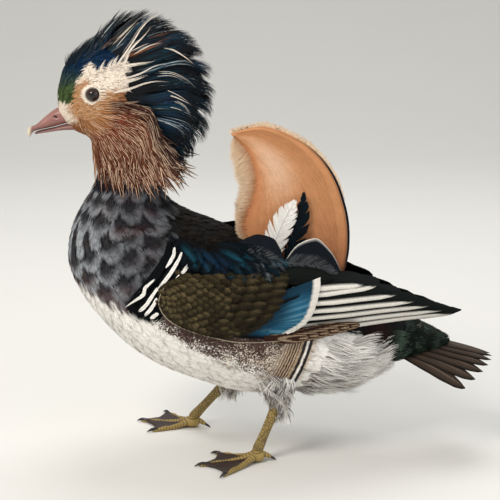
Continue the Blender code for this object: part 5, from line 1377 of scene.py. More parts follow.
def profile(t, stops, shares):
    return np.interp(t, stops, shares)


def tip_places(points, shares):
    return curve_read(points, np.asarray(shares, float))


def wing_vanes(side, roots, tips, width, lifts, shape, rows=12, columns=7, bow=1.0, camber=0.12):
    """Large feathers laid on the folded wing, as grids. lifts raise their roots and tips over it."""
    roots, tips = np.asarray(roots, float), np.asarray(tips, float)
    count = len(roots)
    t, u = np.linspace(0, 1, rows), np.linspace(-1, 1, columns)
    along = unit(tips - roots)
    across = np.stack([-along[:, 1], along[:, 0]], axis=-1)
    middle = roots[:, None] + (tips - roots)[:, None] * t[None, :, None]
    middle = middle + across[:, None] * (bow * 4 * t * (1 - t))[None, :, None]
    half = np.broadcast_to(np.asarray(width, float).reshape(-1, 1), (count, 1)) / 2 * shape(t)[None]
    plane = middle[:, :, None] + across[:, None, None] * (half[..., None] * u)[..., None]
    lifts = np.broadcast_to(np.asarray(lifts, float).reshape(-1, 2), (count, 2))
    lift = lifts[:, :1] + (lifts[:, 1:] - lifts[:, :1]) * t[None]
    y = wing_face(plane[..., 0], plane[..., 1]) + lift[..., None] + camber * half[..., None] * (1 - u**2)
    points = np.stack([plane[..., 0], y * side, plane[..., 1]], axis=-1)
    if side > 0:
        points = points[:, :, ::-1]
    return points, t[None, :, None] + np.zeros((count, 1, columns)), u * (1 if side < 0 else -1) + np.zeros((count, rows, 1))


def rounded_tip(t):
    return profile(t, (0, 0.15, 0.45, 0.8, 0.93, 1), (0.55, 0.8, 1.0, 0.92, 0.66, 0.16))


def long_blade(t):
    return profile(t, (0, 0.1, 0.4, 0.8, 0.94, 1), (0.5, 0.75, 1.0, 0.86, 0.55, 0.08))


def leaf(t):
    return profile(t, (0, 0.2, 0.55, 0.85, 1), (0.35, 0.85, 1.0, 0.5, 0.02))


def solid(points, thickness):
    """Grids closed to thin solids by an under side."""
    normals = unit(np.cross(np.gradient(points, axis=2), np.gradient(points, axis=1)))
    rows = points.shape[1]
    taper = np.ones(rows)
    taper[0] = taper[-1] = 0.02
    under = points - normals * (thickness * taper)[None, :, None, None]
    return np.concatenate([points, under[:, :, ::-1], points[:, :, :1]], axis=2)


def both_faces(values):
    return np.concatenate([values, values[:, :, ::-1], values[:, :, :1]], axis=2)


def square_tip(t):
    return profile(t, (0, 0.15, 0.45, 0.93, 1), (0.55, 0.8, 0.95, 1.0, 1.0))


def barbed_feather(coat, spine, out, width, base, bright, draw, count=130, clumps=9, flat=0.62):
    """A shaft with barbs on both sides, which gather in clumps so that the edge is toothed."""
    t = np.linspace(0, 1, len(spine))
    along = unit(np.gradient(spine, axis=0))
    across = unit(np.cross(along, out))
    read = lambda values, at: np.stack([np.interp(at, t, values[:, k]) for k in range(3)], axis=-1)
    half = 0.5 * (1 - t * 0.75)
    stem = widened(spine[None] + np.array(out) * 0.4, np.broadcast_to(out, (1, len(spine), 3)), half[None], 3, 0.6)
    coat.add(stem, bright * 0.7)
    rows = np.linspace(0, 1, 5)
    for hand in (1, -1):
        start_at = np.sort(draw.uniform(0.02, 0.97, count))
        tip_at = (np.floor(start_at * clumps) + draw.uniform(0.6, 1.0, clumps + 1)[(start_at * clumps).astype(int)]) / clumps
        lean = np.abs(tip_at - start_at) * clumps
        reach = width / 2 * np.interp(start_at, (0, 0.15, 0.4, 0.62, 0.82, 1), (0.5, 0.95, 1.0, 0.78, 0.38, 0.05))
        reach = reach * (1.05 - 0.12 * lean) * draw.uniform(0.9, 1.05, count)
        end_at = start_at + (tip_at - start_at) * 0.4 * smooth((0.98 - start_at) / 0.35)
        slope = (0.8 + 0.7 * start_at) * reach
        start = read(spine, start_at)
        end = read(spine, end_at) + read(across, end_at) * (reach * hand)[:, None] + read(along, end_at) * slope[:, None]
        belly = (start + end) / 2 + read(across, start_at) * (reach * hand * 0.14)[:, None]
        paths = bezier(start, (start + 2 * belly) / 3, (end + 2 * belly) / 3, end, 5)
        paths = paths + np.array(out) * (0.25 - 0.8 * rows[None, :, None] ** 2 * draw.uniform(0, 1, (count, 1, 1)))
        thick = np.full((count, 1), flat) * np.array([0.8, 1, 1, 0.7, 0.1])
        points = widened(paths, np.broadcast_to(out, paths.shape), thick)
        coat.add(points, np.broadcast_to(mix(base, bright, draw.uniform(0, 1, (count, 1, 1))), points.shape))


def wing_edge(x):
    """The height of the folded wing's lower edge."""
    return np.interp(x, WING_EDGE[:, 0], WING_EDGE[:, 1])


def wing_face(x, z):
    """How far out the wing's feathers rest: on the folded wing, and never inside the flank."""
    return np.maximum(wing_surface(x, z), neck_reach(x, z, (TORSO,), 100, 3.2) * (z < 140) + 0.8) - 1.6


def wing_paths(side, roots, tips, bow, lifts, rows=6):
    """Paths of small feathers that lie on the folded wing. lifts raise their roots and tips over it."""
    t = np.linspace(0, 1, rows)
    along = unit(tips - roots)
    across = np.stack([-along[:, 1], along[:, 0]], axis=-1)
    plane = roots[:, None] + (tips - roots)[:, None] * t[None, :, None]
    plane = plane + across[:, None] * (bow * 4 * t * (1 - t))[None, :, None]
    y = wing_face(plane[..., 0], plane[..., 1]) + lifts[:, :1] + (lifts[:, 1:] - lifts[:, :1]) * t
    paths = np.stack([plane[..., 0], y * side, plane[..., 1]], axis=-1)
    return paths, np.broadcast_to(np.array((0.0, side, 0.0)), paths.shape)


class DRAKE_OT_wings(bpy.types.Operator):
    """The folded wings, tier over tier"""

    bl_idname = "drake.wings"
    bl_label = "Wings"

    def execute(self, context):
        flight = plumage("flight vane", 0.6, barbs=0.2, variation=0.1)
        small = plumage("wing covert vane", 0.65, variation=0.2)
        for side_name, side in SIDES.items():
            draw = draws(70 + side)
            vanes, coverts = Coat(), Coat()
            self.primaries(vanes, side)
            self.secondaries(vanes, side)
            self.primary_coverts(vanes, side)
            self.tertials(vanes, coverts, side, draw)
            self.coverts(coverts, side, draw)
            self.rim(coverts, side)
            self.scapulars(coverts, side, draw)
            node = [f"wing_{side_name}"]
            settle_all(vanes.build(f"flight_feathers_{side_name}", flight), node)
            settle_all(coverts.build(f"wing_coverts_{side_name}", small), node)
        return {"FINISHED"}

    def put(self, coat, grids, colour, cells, thickness=0.5):
        points, t, u = grids
        coat.add(solid(points, thickness), both_faces(colour(points, t, u)), cells=cells)

    def primaries(self, coat, side):
        """Green black blades, each with a white lower edge that ends before the round dark tip."""
        count = 7
        shares = np.linspace(0, 1, count)
        tips = tip_places(PRIMARY_TIPS, shares)
        roots = np.linspace(PRIMARY_ROOTS[0], PRIMARY_ROOTS[1], count)
        lifts = np.stack([np.linspace(2.2, -0.8, count), np.linspace(3.2, 0.2, count)], axis=-1)
        points, t, u = wing_vanes(side, roots, tips, 12.5, lifts, long_blade, 22, 15, 1.5, 0.06)
        inward, drop = tucked(points[..., 0], side)
        points[..., 1] -= side * inward
        points[..., 2] -= drop

        def colour(points, t, u):
            dark = mix(tint("primary_black"), tint("primary_black") * 1.6, smooth((t - 0.6) / 0.4))
            edge = -0.4 - 0.6 * smooth((t - 0.84) / 0.13)
            white = mix(tint("band_white"), tint("belly_shade"), smooth((-0.8 - u) / 0.1) * 0.25)
            colour = dark + (white - dark) * (smooth((edge - u) / 0.07) * smooth((0.96 - t) / 0.03))[..., None]
            shaft = smooth((0.1 - np.abs(u + 0.2)) / 0.08)
            return mix(colour, tint("primary_black") * 0.3, shaft * 0.85)

        self.put(coat, (points, t, u), colour, own_cells(count, 1, 0.02, 0.3))

    def secondaries(self, coat, side):
        """The blue speculum: square ended feathers, with a dark line and a white end band."""
        count = 12
        border = curve_read(SPECULUM_END, np.linspace(0, 1, 60))[::-1]
        tips = curve_read(SPECULUM_END, np.linspace(0, 1, count))
        roots = tips - (50, 15)
        roots[:, 1] = np.maximum(roots[:, 1], wing_edge(roots[:, 0]) + 4.5)
        lifts = np.stack([np.linspace(2.6, 1.4, count), np.linspace(4.6, 3.4, count)], axis=-1)
        points, t, u = wing_vanes(side, roots, tips, 8.8, lifts, square_tip, 26, 9, 0.6, 0.03)
        last = points[:, -1:]
        points[..., 0] += (np.interp(last[..., 2], border[:, 1], border[:, 0]) - last[..., 0]) * t**3
        points[..., 2] = np.maximum(points[..., 2], wing_edge(points[..., 0]) + 0.3)

        def colour(points, t, u):
            blue = mix(tint("speculum_dark"), tint("speculum_blue"), smooth((u + 0.7) / 0.6))
            glint = smooth(1 - np.abs(u - 0.4) / 0.4) * smooth((t - 0.4) / 0.4)
            blue = mix(blue, np.array(linear("#7DB0BF")), glint * 0.45 * smooth((136 - points[..., 2]) / 14))
            blue = mix(blue, tint("scapular_teal"), smooth((points[..., 2] - 126) / 14) * 0.75)
            blue = mix(blue, tint("speculum_dark"), smooth((0.78 - t) / 0.3) * 0.6)
            blue = mix(blue, tint("speculum_dark") * 0.25, smooth((-0.6 - u) / 0.15))
            blue = mix(blue, tint("primary_black") * 0.6, smooth((t - 0.885) / 0.012))
            white = mix(tint("band_white"), tint("belly_shade"), smooth((-0.8 - u) / 0.2) * 0.5)
            return blue + (white - blue) * smooth((t - 0.91) / 0.01)[..., None]

        self.put(coat, (points, t, u), colour, own_cells(count, 1, 0.32, 0.62))

    def primary_coverts(self, coat, side):
        """Short brown feathers with pale loops, along the wing's lower edge."""
        count = 6
        tips = np.linspace((80, 106.5), (42, 101), count)
        roots = tips - np.array((32, -1.5))
        grids = wing_vanes(side, roots, tips, 7.0, (3.0, 4.4), rounded_tip, 44, 17, -0.6, 0.06)

        def colour(points, t, u):
            loops = smooth(0.1 + 1.2 * np.sin(np.hypot((1 - t) * 5, u * 4) * 2.6))
            return mix(tint("flank_brown") * 0.6, tint("flank_tan") * 0.9, loops * 0.6 * smooth((t - 0.1) / 0.2))

        self.put(coat, grids, colour, own_cells(count, 1, 0.64, 0.76))

    def coverts(self, coat, side, draw):
        """Olive feathers in rows that follow the wing's edges, larger towards the speculum."""
        roots, tips, widths, lifts = [], [], [], []
        for tier, (back, count, width) in enumerate(((0, 13, 7.6), (10, 12, 7.4), (20, 12, 7.2), (30, 12, 6.8))):
            at = curve_read(COVERT_END, np.linspace(0, 1, count)) - (back, back * 0.05)
            tips.append(at)
            roots.append(at - (22 - 2 * tier, 5.5))
            widths.append(np.full(count, width))
            lifts.append(np.full(count, 5.3 + 0.2 * tier))
        for i, x in enumerate(np.arange(-71, -10, 3.9)):
            low, high = wing_edge(x + 8), np.interp(x + 5, WING[:, 0], WING[:, 2])
            step = 4.6 + 0.035 * (x + 70)
            z = np.arange(low + 2.4 + (i % 2) * step / 2, min(high - 2, 149), step)
            at = np.stack([np.full(len(z), x + 8.0), z], axis=-1)
            line = curve_read(COVERT_END, np.linspace(0, 1, 50))
            at = at[at[:, 0] < np.interp(at[:, 1], line[::-1, 1], line[::-1, 0]) - 32]
            low, high = np.interp(at[:, 0], WING[:, 0], WING[:, 1]), np.interp(at[:, 0], WING[:, 0], WING[:, 2])
            share = (at[:, 1] - (low + high) / 2) / (high - low) * 2
            fan = np.radians(8 + share * 30 * np.clip((-20 - at[:, 0]) / 40, 0, 1))
            length = 10 + 0.09 * (at[:, :1] + 70)
            roots.append(at - np.stack([np.cos(fan), np.sin(fan)], axis=-1) * length)
            tips.append(at)
            widths.append(6.6 + 0.03 * (at[:, 0] + 70))
            lifts.append(5.9 - 0.008 * (at[:, 0] + 70))
        roots, tips, widths, lifts = (np.concatenate(part) for part in (roots, tips, widths, lifts))
        tips = tips + draw.uniform(-0.8, 0.8, tips.shape)
        roots[:, 0] = np.maximum(roots[:, 0], -64)
        for at in (roots, tips):
            at[:, 1] = np.maximum(at[:, 1], wing_edge(at[:, 0]) + 2.6)
        paths, normals = wing_paths(side, roots, tips, 0.4, np.stack([lifts - 1.2, lifts - 0.4], axis=-1))
        colour = lambda roots, points, t, u: self.olive(roots, points, t, u * side)
        contour_feathers(coat, paths, normals, widths, colour, draw, 15, 1.9, 0.6, 0.05, 0.34)

    def olive(self, roots, points, t, upper):
        """Olive brown, with a painted highlight along the upper half of each feather and painted shade along its lower
        edge and towards its root, and darker towards the speculum.
        """
        front = np.interp(roots[:, 0], (-60, -25, 15), (1.0, 0.62, 0.42))[:, None, None]
        lit = smooth((upper + 0.5) / 1.3) * smooth((t - 0.3) / 0.5) * (0.35 + 0.6 * smooth(0.5 + ripple(roots, 11, 42)))[:, None, None]
        olive = mix(tint("covert_olive") * 1.2, tint("covert_pale"), lit * 0.55)
        # Painted shadow along the lower edge of each feather.
        olive = mix(olive, tint("covert_olive") * 0.4, smooth((-0.55 - upper) / 0.4) * 0.45)
        blotch = smooth(ripple(roots, 16, 41) * 1.4 - 0.3)[:, None, None]
        # Painted shade towards each feather's root, where the row above covers it. blotch is the feathers' own darker
        # patches.
        dark = smooth((0.5 - t) / 0.4) * 0.4
        olive = mix(olive, tint("covert_olive") * 0.3, np.maximum(dark, blotch * 0.5)) * front[..., None]
        return olive * (0.8 + 0.4 * smooth(0.5 + ripple(points, 1.3, 43)))[..., None]

    def rim(self, coat, side):
        """The pale edge of the wing's front and lower border."""
        line = curve_read([(-50, 151), (-57, 145), (-64, 132), *WING_EDGE[1:7]], np.linspace(0, 1, 70))
        y = (wing_face(line[:, 0], line[:, 1]) + 5.2) * side
        path = np.stack([line[:, 0], y, line[:, 1]], axis=-1)[None]
        half = 0.4 * np.sin(np.linspace(0.05, math.pi - 0.05, 70))[None] ** 0.4
        points = widened(path, np.broadcast_to((0, side, 0), path.shape), half, 3, 0.8)
        coat.add(points, mix(tint("covert_pale"), tint("band_white"), np.full(points.shape[:3], 0.2)))

    def scapulars(self, coat, side, draw):
        """Blue black feathers that fall from the back over the wing's upper edge."""
        roots, tips, lifts = [], [], []
        for tier, (count, back, drop) in enumerate(((11, 0, 0), (10, 11, -4), (9, 22, -7), (8, 33, -9), (7, 42, -9))):
            at = tip_places([(-36, 150), (-16, 146), (6, 146), (20, 148), (28, 155)], np.linspace(0, 1, count))
            at = at - (back * 0.7, drop + 9 * (side > 0)) + draw.uniform(-2, 2, (count, 2))
            tips.append(at)
            roots.append(at - np.stack([np.linspace(18, 28, count), np.linspace(-15, -3, count)], axis=-1))
            lifts.append(np.linspace(4.6, 6.2, count) + 0.5 * tier)
        roots, tips, lifts = (np.concatenate(part) for part in (roots, tips, lifts))
        paths, normals = wing_paths(side, roots, tips, 1.6, np.stack([lifts - 2.4, lifts - 0.6], axis=-1))

        def colour(roots, points, t, u):
            dark = mix(tint("back_brown"), tint("scapular_teal") * 0.5, smooth((t - 0.1) / 0.4))
            blue = mix(tint("crown_blue"), tint("crest_teal"), smooth(0.5 + ripple(roots, 18, 44))[:, None, None] + 0 * t)
            gleam = smooth(0.35 + 0.8 * ripple(roots, 8, 45))[:, None, None]
            lit = smooth(1 - np.abs(u * side - 0.3) / 0.6) * smooth((t - 0.3) / 0.4) * gleam
            dark = dark + (blue * 1.1 - dark) * (lit * 0.8)[..., None]
            grey = smooth(ripple(points, 1.7, 46) - 0.35) * smooth((points[..., 0] + 2) / 14)
            return mix(dark, tint("breast_pale"), grey * 0.25 * smooth((t - 0.35) / 0.3))

        contour_feathers(coat, paths, normals, np.full(len(roots), 11.5), colour, draw, 27, 2.2, 0.6, 0.08, 0.36, 7)

    def tertials(self, coat, loose, side, draw):
        """The navy leaf with its white rim, and the grey and blue feathers that cover its root."""
        leaves = [((22, 149), (66, 144), 27, 9.0, (1.2, 2.6), "sail_navy", 1), ((-8, 158), (14, 166), 11, 4.0, (1.6, 2.6), "sail_navy", 1),
                  ((20, 148), (60, 143), 13, 1.0, (3.6, 4.4), "tail_green", 0), ((-8, 168), (25, 150), 17, 6.5, (5.0, 7.0), "sail_navy", 0)]
        lower = 8 * (side > 0)
        for i, (root, tip, width, bow, lifts, base, edged) in enumerate(leaves):
            grids = wing_vanes(side, [root], [tip], width, lifts, leaf, 18, 25, bow, 0.08)
            grids[0][..., 2] -= lower

            def colour(points, t, u, base=base, edged=edged):
                web = mix(tint(base) * 0.8, tint(base) * 0.3, smooth((0.1 - u) / 0.9) * 0.8)
                web = mix(web, tint("crest_black") * 0.4, smooth((0.08 - np.abs(u)) / 0.05) * 0.7)
                return mix(web, tint("band_white"), edged * smooth((u - 0.9) / 0.05))

            self.put(coat, grids, colour, own_cells(1, 1, 0.78 + 0.05 * i, 0.82 + 0.05 * i))
        out = np.array((0, side, 0.15))
        for (x0, z0), (x1, z1), width, bow, lift in (((22, 156), (63, 146), 15, 5, 5.8), ((-4, 164), (25, 152), 12, 5, 8.0)):
            t = np.linspace(0, 1, 12)
            x, z = x0 + (x1 - x0) * t, z0 + (z1 - z0) * t + bow * 4 * t * (1 - t) * 0.5
            y = (wing_face(x, z) + lift) * side
            barbed_feather(loose, np.stack([x, y, z - lower], axis=-1), out, width, tint("crest_black"), tint("breast_pale") * 0.2,
                           draw, 110, 30, 0.26)


# Sails and plumes


def sail_depth(z):
    """How far out the sail's vane stands at a height, on its bulge."""
    share = (z - SAIL_FOOT[1]) / (SAIL_TOP[1] - SAIL_FOOT[1])
    return SAIL_FOOT[0] + (SAIL_TOP[0] - SAIL_FOOT[0]) * share + SAIL_BULGE * 0.5


def sail_grid(side, rows):
    """Points of the sail: rows from its foot to its tip, columns from the rear edge to the front."""
    shares = np.linspace(0, 1, rows)
    rear, front = curve_read(SAIL_REAR, shares), curve_read(SAIL_VANE, shares)
    edge = [0, 0.008, 0.014, 0.02, 0.026, 0.034, 0.042, 0.05, 0.058]
    across = np.concatenate([edge, np.linspace(0.075, 1, 30)])
    p = rear[:, None] + (front - rear)[:, None] * across[None, :, None]
    y = sail_depth(p[..., 1]) - SAIL_BULGE * 0.5 + SAIL_BULGE * np.sin(math.pi * across)[None]
    return np.stack([p[..., 0], y * side, p[..., 1]], axis=-1), shares, across


class DRAKE_OT_sails(bpy.types.Operator):
    """The erect orange sail feathers with their barbs and fringe"""

    bl_idname = "drake.sails"
    bl_label = "Sails"

    def execute(self, context):
        look = plumage("sail vane", 0.65, barbs=0.06, variation=0.06, sheen=0.05)
        for side_name, side in SIDES.items():
            draw = draws(80 + side)
            coat = Coat()
            points, shares, across = sail_grid(side, 60)
            if side < 0:
                points = points[:, ::-1]
                across = across[::-1]
            colours = self.colour(points, shares[:, None] + 0 * across, across[None] + 0 * shares[:, None])
            run = np.stack([0 * across[None] * shares[:, None], shares[:, None] * 30 + across[None] * 66], axis=-1) * MM
            closed = solid(points[None], 0.7)
            coat.add(closed, both_faces(colours[None]), both_faces(run[None]), own_cells(1, 1))
            settle_all(coat.build(f"sail_feather_{side_name}", look), [f"sail_{side_name}"])
            loose = Coat()
            self.fringe(loose, side, draw)
            self.rear_hairs(loose, side, draw)
            self.barbs(loose, side, draw)
            settle_all(loose.build(f"sail_barbs_{side_name}", look))
        return {"FINISHED"}

    def colour(self, points, share, across):
        """Orange, paler in the middle, cream in front, with a fine dark shaft and a navy rear edge."""
        colour = np.broadcast_to(tint("sail_orange"), points.shape).copy()
        pink = smooth(1 - np.hypot((across - 0.6) / 0.34, (share - 0.7) / 0.36))
        colour = mix(colour, tint("sail_pink"), pink * 0.85)
        # Painted shadow: a darker orange band along the upper front of the vane, where the fringe begins.
        band = smooth((across - 0.78) / 0.2) * smooth((share - 0.25) / 0.2)
        colour = mix(colour, tint("rust") * 1.6, band * 0.5)
        low = smooth((0.45 - share) / 0.3)
        colour = mix(colour, tint("rust") * 1.3, low * 0.35)
        shaded = 0.13 * smooth((0.55 - across) / 0.4) + 0.1 * smooth((0.35 - share) / 0.25)
        colour = colour * (1 - shaded + 0.04 * ripple(points, 8, 81))[..., None]
        narrow = smooth((share - 0.02) / 0.15) * smooth((0.82 - share) / 0.3)
        colour = mix(colour, tint("rust_dark_and_gap_shade"), smooth(1 - np.abs(across - 0.036) / 0.008) * 0.5)
        return mix(colour, tint("sail_navy"), smooth((0.028 - across) / 0.008) * narrow)

    def fringe(self, coat, side, draw):
        """Loose barbs that leave the vane's front edge and pale as they spread, combed upwards."""
        count, rows = 3000, 7
        share = draw.uniform(0.28, 0.97, count)
        vane, solid_edge, rear = (curve_read(line, share) for line in (SAIL_VANE, SAIL_FRONT, SAIL_REAR))
        away = unit(vane - rear)
        inset = draw.uniform(0, 1, (count, 1)) ** 1.3 * 9
        gap = np.maximum(np.linalg.norm(solid_edge - vane, axis=1), 3)[:, None]
        length = inset + gap * draw.uniform(0.1, 1.15, (count, 1))
        start = vane - away * inset
        t = np.linspace(0, 1, rows)
        path = start[:, None] + away[:, None] * (length * t)[..., None]
        path = path + np.array((0, 1)) * (length * t**1.6 * draw.uniform(0.1, 0.5, (count, 1)))[..., None]
        y = sail_depth(start[:, 1:]) - SAIL_BULGE * 0.5 + draw.uniform(-0.6, 1.0, (count, 1)) + draw.normal(0, 1.2, (count, 1)) * t
        paths = np.stack([path[..., 0], y * side, path[..., 1]], axis=-1)
        half = draw.uniform(0.09, 0.18, (count, 1)) * np.array([0.1, 0.7, 1, 1, 0.8, 0.5, 0.06])
        points = widened(paths, np.broadcast_to((0, side, 0), paths.shape), half)
        past = np.clip((t * length - inset + 3) / (0.5 * gap + 3), 0, 1)
        pale = (past * draw.uniform(0.75, 1.1, (count, 1)))[:, :, None]
        coat.add(points, mix(tint("sail_orange") * 0.9, tint("sail_cream"), np.clip(pale, 0, 1)) + points * 0)

    def rear_hairs(self, coat, side, draw):
        """Short cream barbs that soften the upper rear edge."""
        count, rows = 420, 4
        share = draw.uniform(0.4, 0.995, count)
        rear = curve_read(SAIL_REAR, share)
        ahead = unit(curve_read(SAIL_REAR, np.minimum(share + 0.01, 1)) - curve_read(SAIL_REAR, share - 0.01))
        away = np.stack([ahead[:, 1], -ahead[:, 0]], axis=-1)
        start = rear - away * 0.8
        direction = unit(away + ahead * draw.uniform(0.7, 1.3, (count, 1)))
        t = np.linspace(0, 1, rows)
        path = start[:, None] + direction[:, None] * (draw.uniform(2.0, 4.6, (count, 1)) * t)[..., None]
        y = (sail_depth(path[..., 1]) - SAIL_BULGE + 0.3 * t) * side
        paths = np.stack([path[..., 0], y, path[..., 1]], axis=-1)
        half = np.full((count, 1), 0.17) * np.array([1, 1, 0.7, 0.06])
        points = widened(paths, np.broadcast_to((0, side, 0), paths.shape), half)
        coat.add(points, np.broadcast_to(tint("sail_cream"), points.shape))

    def barbs(self, coat, side, draw):
        """Fine barbs over both faces of the vane, so that its grain catches the light."""
        grid, shares, across = sail_grid(side, 90)
        last = len(across) - 1
        count, rows = 1900, 6
        for face in (1, -1):
            share = draw.uniform(0.1, 0.86, count)
            begin = draw.uniform(0.1, 0.8, count)
            t = np.linspace(0, 1, rows)
            at_share = np.clip(share[:, None] + 0.13 * t, 0, 1) * 89
            where = np.clip(begin[:, None] + draw.uniform(0.03, 0.09, (count, 1)) * t, 0, 1)
            at_across = np.interp(where, across, np.arange(last + 1))
            i, j = np.minimum(at_share.astype(int), 88), np.minimum(at_across.astype(int), last - 1)
            a, b = (at_share - i)[..., None], (at_across - j)[..., None]
            paths = ((grid[i, j] * (1 - a) + grid[i + 1, j] * a) * (1 - b)
                     + (grid[i, j + 1] * (1 - a) + grid[i + 1, j + 1] * a) * b)
            out = np.array((0, side * face, 0))
            paths = paths + out * (0.2 if face > 0 else 0.85)
            half = 0.15 * np.array([0.3, 1, 1, 1, 0.8, 0.1]) + np.zeros((count, 1))
            points = widened(paths, np.broadcast_to(out, paths.shape), half)
            colour = self.colour(points, (at_share / 89)[..., None] + np.zeros(2), where[..., None] + np.zeros(2))
            coat.add(points, colour * draw.uniform(0.88, 1.1, (count, 1, 1, 1)))


class DRAKE_OT_plumes(bpy.types.Operator):
    """The upright white feather and the blue black one before each sail"""

    bl_idname = "drake.plumes"
    bl_label = "Plumes"

    def execute(self, context):
        kinds = {
            "white": ((13, 150), (33, 196), 18, 7.5, 2.0, 7, tint("belly_white") * 0.8, tint("belly_white"), "plumage_white"),
            "black": ((25, 148), (39, 202), 13, 5.0, -3.5, 6, tint("crest_black") * 0.6, tint("scapular_teal"), "plumage_dark"),
        }
        for side_name, side in SIDES.items():
            for kind, (root, tip, width, stand, bow, clumps, base, bright, slot) in kinds.items():
                t = np.linspace(0, 1, 14)
                line = np.array(root, float) + (np.array(tip) - root) * t[:, None]
                along = unit(np.array(tip, float) - root)
                line = line + np.array((-along[1], along[0])) * (bow * 4 * t * (1 - t))[:, None]
                y = (sail_depth(line[:, 1]) + SAIL_BULGE * 0.5 + stand) * side
                spine = np.stack([line[:, 0], y, line[:, 1]], axis=-1)
                coat = Coat()
                barbed_feather(coat, spine, (0, side, 0.0), width, base, bright, draws(90 + side), 150, clumps)
                look = plumage(f"{kind} plume", 0.6, variation=0.1)
                settle_all(coat.build(f"plume_feather_{kind}_{side_name}", look), [f"plume_{kind}_{side_name}"])
        return {"FINISHED"}


# Tail


class DRAKE_OT_tail(bpy.types.Operator):
    """The fan of tail feathers and the coverts over its root"""

    bl_idname = "drake.tail"
    bl_label = "Tail"

    def execute(self, context):
        draw = draws(100)
        fan = Coat()
        count = 12
        share = np.linspace(-1, 1, count)
        rows, columns = 18, 11
        t, u = np.linspace(0, 1, rows), np.linspace(-1, 1, columns)
        bend = share**2
        root = np.stack([np.full(count, 112.0), 13 * share, 86 - 7 * bend], axis=-1)
        tip = np.stack([184 - 25 * bend, 38 * share, 72 - 14 * bend], axis=-1)
        lean = np.radians(38) * share
        across = np.stack([0 * lean, np.cos(lean), -np.sin(lean)], axis=-1)
        up = np.stack([0 * lean, np.sin(lean), np.cos(lean)], axis=-1)
        middle = root[:, None] + (tip - root)[:, None] * t[None, :, None]
        rise = 2.5 * np.sin(math.pi * t)[None] - 1.8 * np.abs(share)[:, None]
        half = 7.6 * np.interp(t, (0, 0.3, 0.6, 0.82, 0.93, 1), (0.6, 0.9, 1.0, 0.78, 0.45, 0.04))
        points = middle[:, :, None] + across[:, None, None] * (half[None, :, None] * u)[..., None]
        points = points + up[:, None, None] * (rise[..., None] + 0.14 * half[None, :, None] * (1 - u**2))[..., None]
        points = points[:, :, ::-1]
        tt = t[None, :, None] + np.zeros((count, 1, columns))
        uu = u[None, None, ::-1] + np.zeros((count, rows, 1))
        edge = smooth((np.abs(uu) - 0.5) / 0.4)
        colour = mix(tint("tail_brown") * 1.25, tint("tail_brown") * 0.22, edge * 0.85)
        colour = mix(colour, tint("tail_brown") * 0.3, smooth((tt - 0.84) / 0.12) * 0.7)
        colour = mix(colour, np.array(linear("#85766A")), smooth((0.12 - np.abs(uu)) / 0.08) * 0.4)
        fan.add(solid(points, 0.6), both_faces(colour), cells=own_cells(count, 1))
        settle_all(fan.build("tail_feathers", plumage("tail vane", 0.6, barbs=0.3, variation=0.12)), ["tail"])
        coat = Coat()
        angles = np.linspace(0, 2 * math.pi, 30, endpoint=False)
        table = loft(DRESSED_TAIL, np.linspace(0, 1, 80), angles, -0.4)
        paths, normals, widths = laid_rows(table, 4.6, 17, 5, draw, 0.35, lambda p: p[:, 0] < 136, 0.4)
        contour_feathers(coat, paths, normals, widths * 2.6, self.covert_colour, draw, 19, 2.6, 0.8, 0.12)
        rump = lambda p: (p[:, 0] > 82) & (p[:, 2] > 96 - 0.5 * (p[:, 0] - 84))
        paths, normals, widths = laid_rows(body_table(46, -0.4), 5.4, 18, 5, draw, 0.35, rump, 0.4)
        contour_feathers(coat, paths, normals, widths * 2.4, self.covert_colour, draw, 19, 2.4, 0.6, 0.12)
        settle_all(coat.build("tail_coverts", plumage("rump vane", 0.6)), ["tail"])
        return {"FINISHED"}

    def covert_colour(self, roots, points, t, u):
        """Green black with a soft grey green light on the outer half of some feathers."""
        base = rump_marking(points)
        light = smooth(0.15 + 1.1 * ripple(roots, 9, 8)) * smooth((roots[:, 0] - 84) / 18)
        lit = light[:, None, None] * smooth((t - 0.35) / 0.35) * smooth((1.05 - t) / 0.2)
        return mix(base * (0.6 + 0.5 * smooth((t - 0.4) / 0.5))[..., None], tint("tail_mottle"), lit * 0.5)


# Bill and eyes


def extruded(name, rings, levels=1):
    """A limb modelled from a filled circle that is extruded from ring to ring, then smoothed."""
    sides = len(rings[0])
    bpy.ops.object.select_all(action="DESELECT")
    bpy.ops.mesh.primitive_circle_add(vertices=sides, radius=MM, fill_type="NGON")
    obj = bpy.context.object
    obj.name = obj.data.name = name
    bpy.ops.object.mode_set(mode="EDIT")
    bpy.ops.mesh.select_mode(type="FACE")
    for number, ring in enumerate(rings):
        if number:
            bpy.ops.mesh.extrude_region_move()
        shape = bmesh.from_edit_mesh(obj.data)
        face = next(f for f in shape.faces if f.select)
        for vertex, place in zip(face.verts, placed(ring)):
            vertex.co = place
        bmesh.update_edit_mesh(obj.data)
    bpy.ops.mesh.select_all(action="SELECT")
    bpy.ops.mesh.normals_make_consistent(inside=False)
    bpy.ops.object.mode_set(mode="OBJECT")
    if levels:
        ease = obj.modifiers.new("ease", "SUBSURF")
        ease.levels = ease.render_levels = levels
        bpy.ops.object.modifier_apply(modifier=ease.name)
    bpy.ops.object.shade_smooth()
    return obj


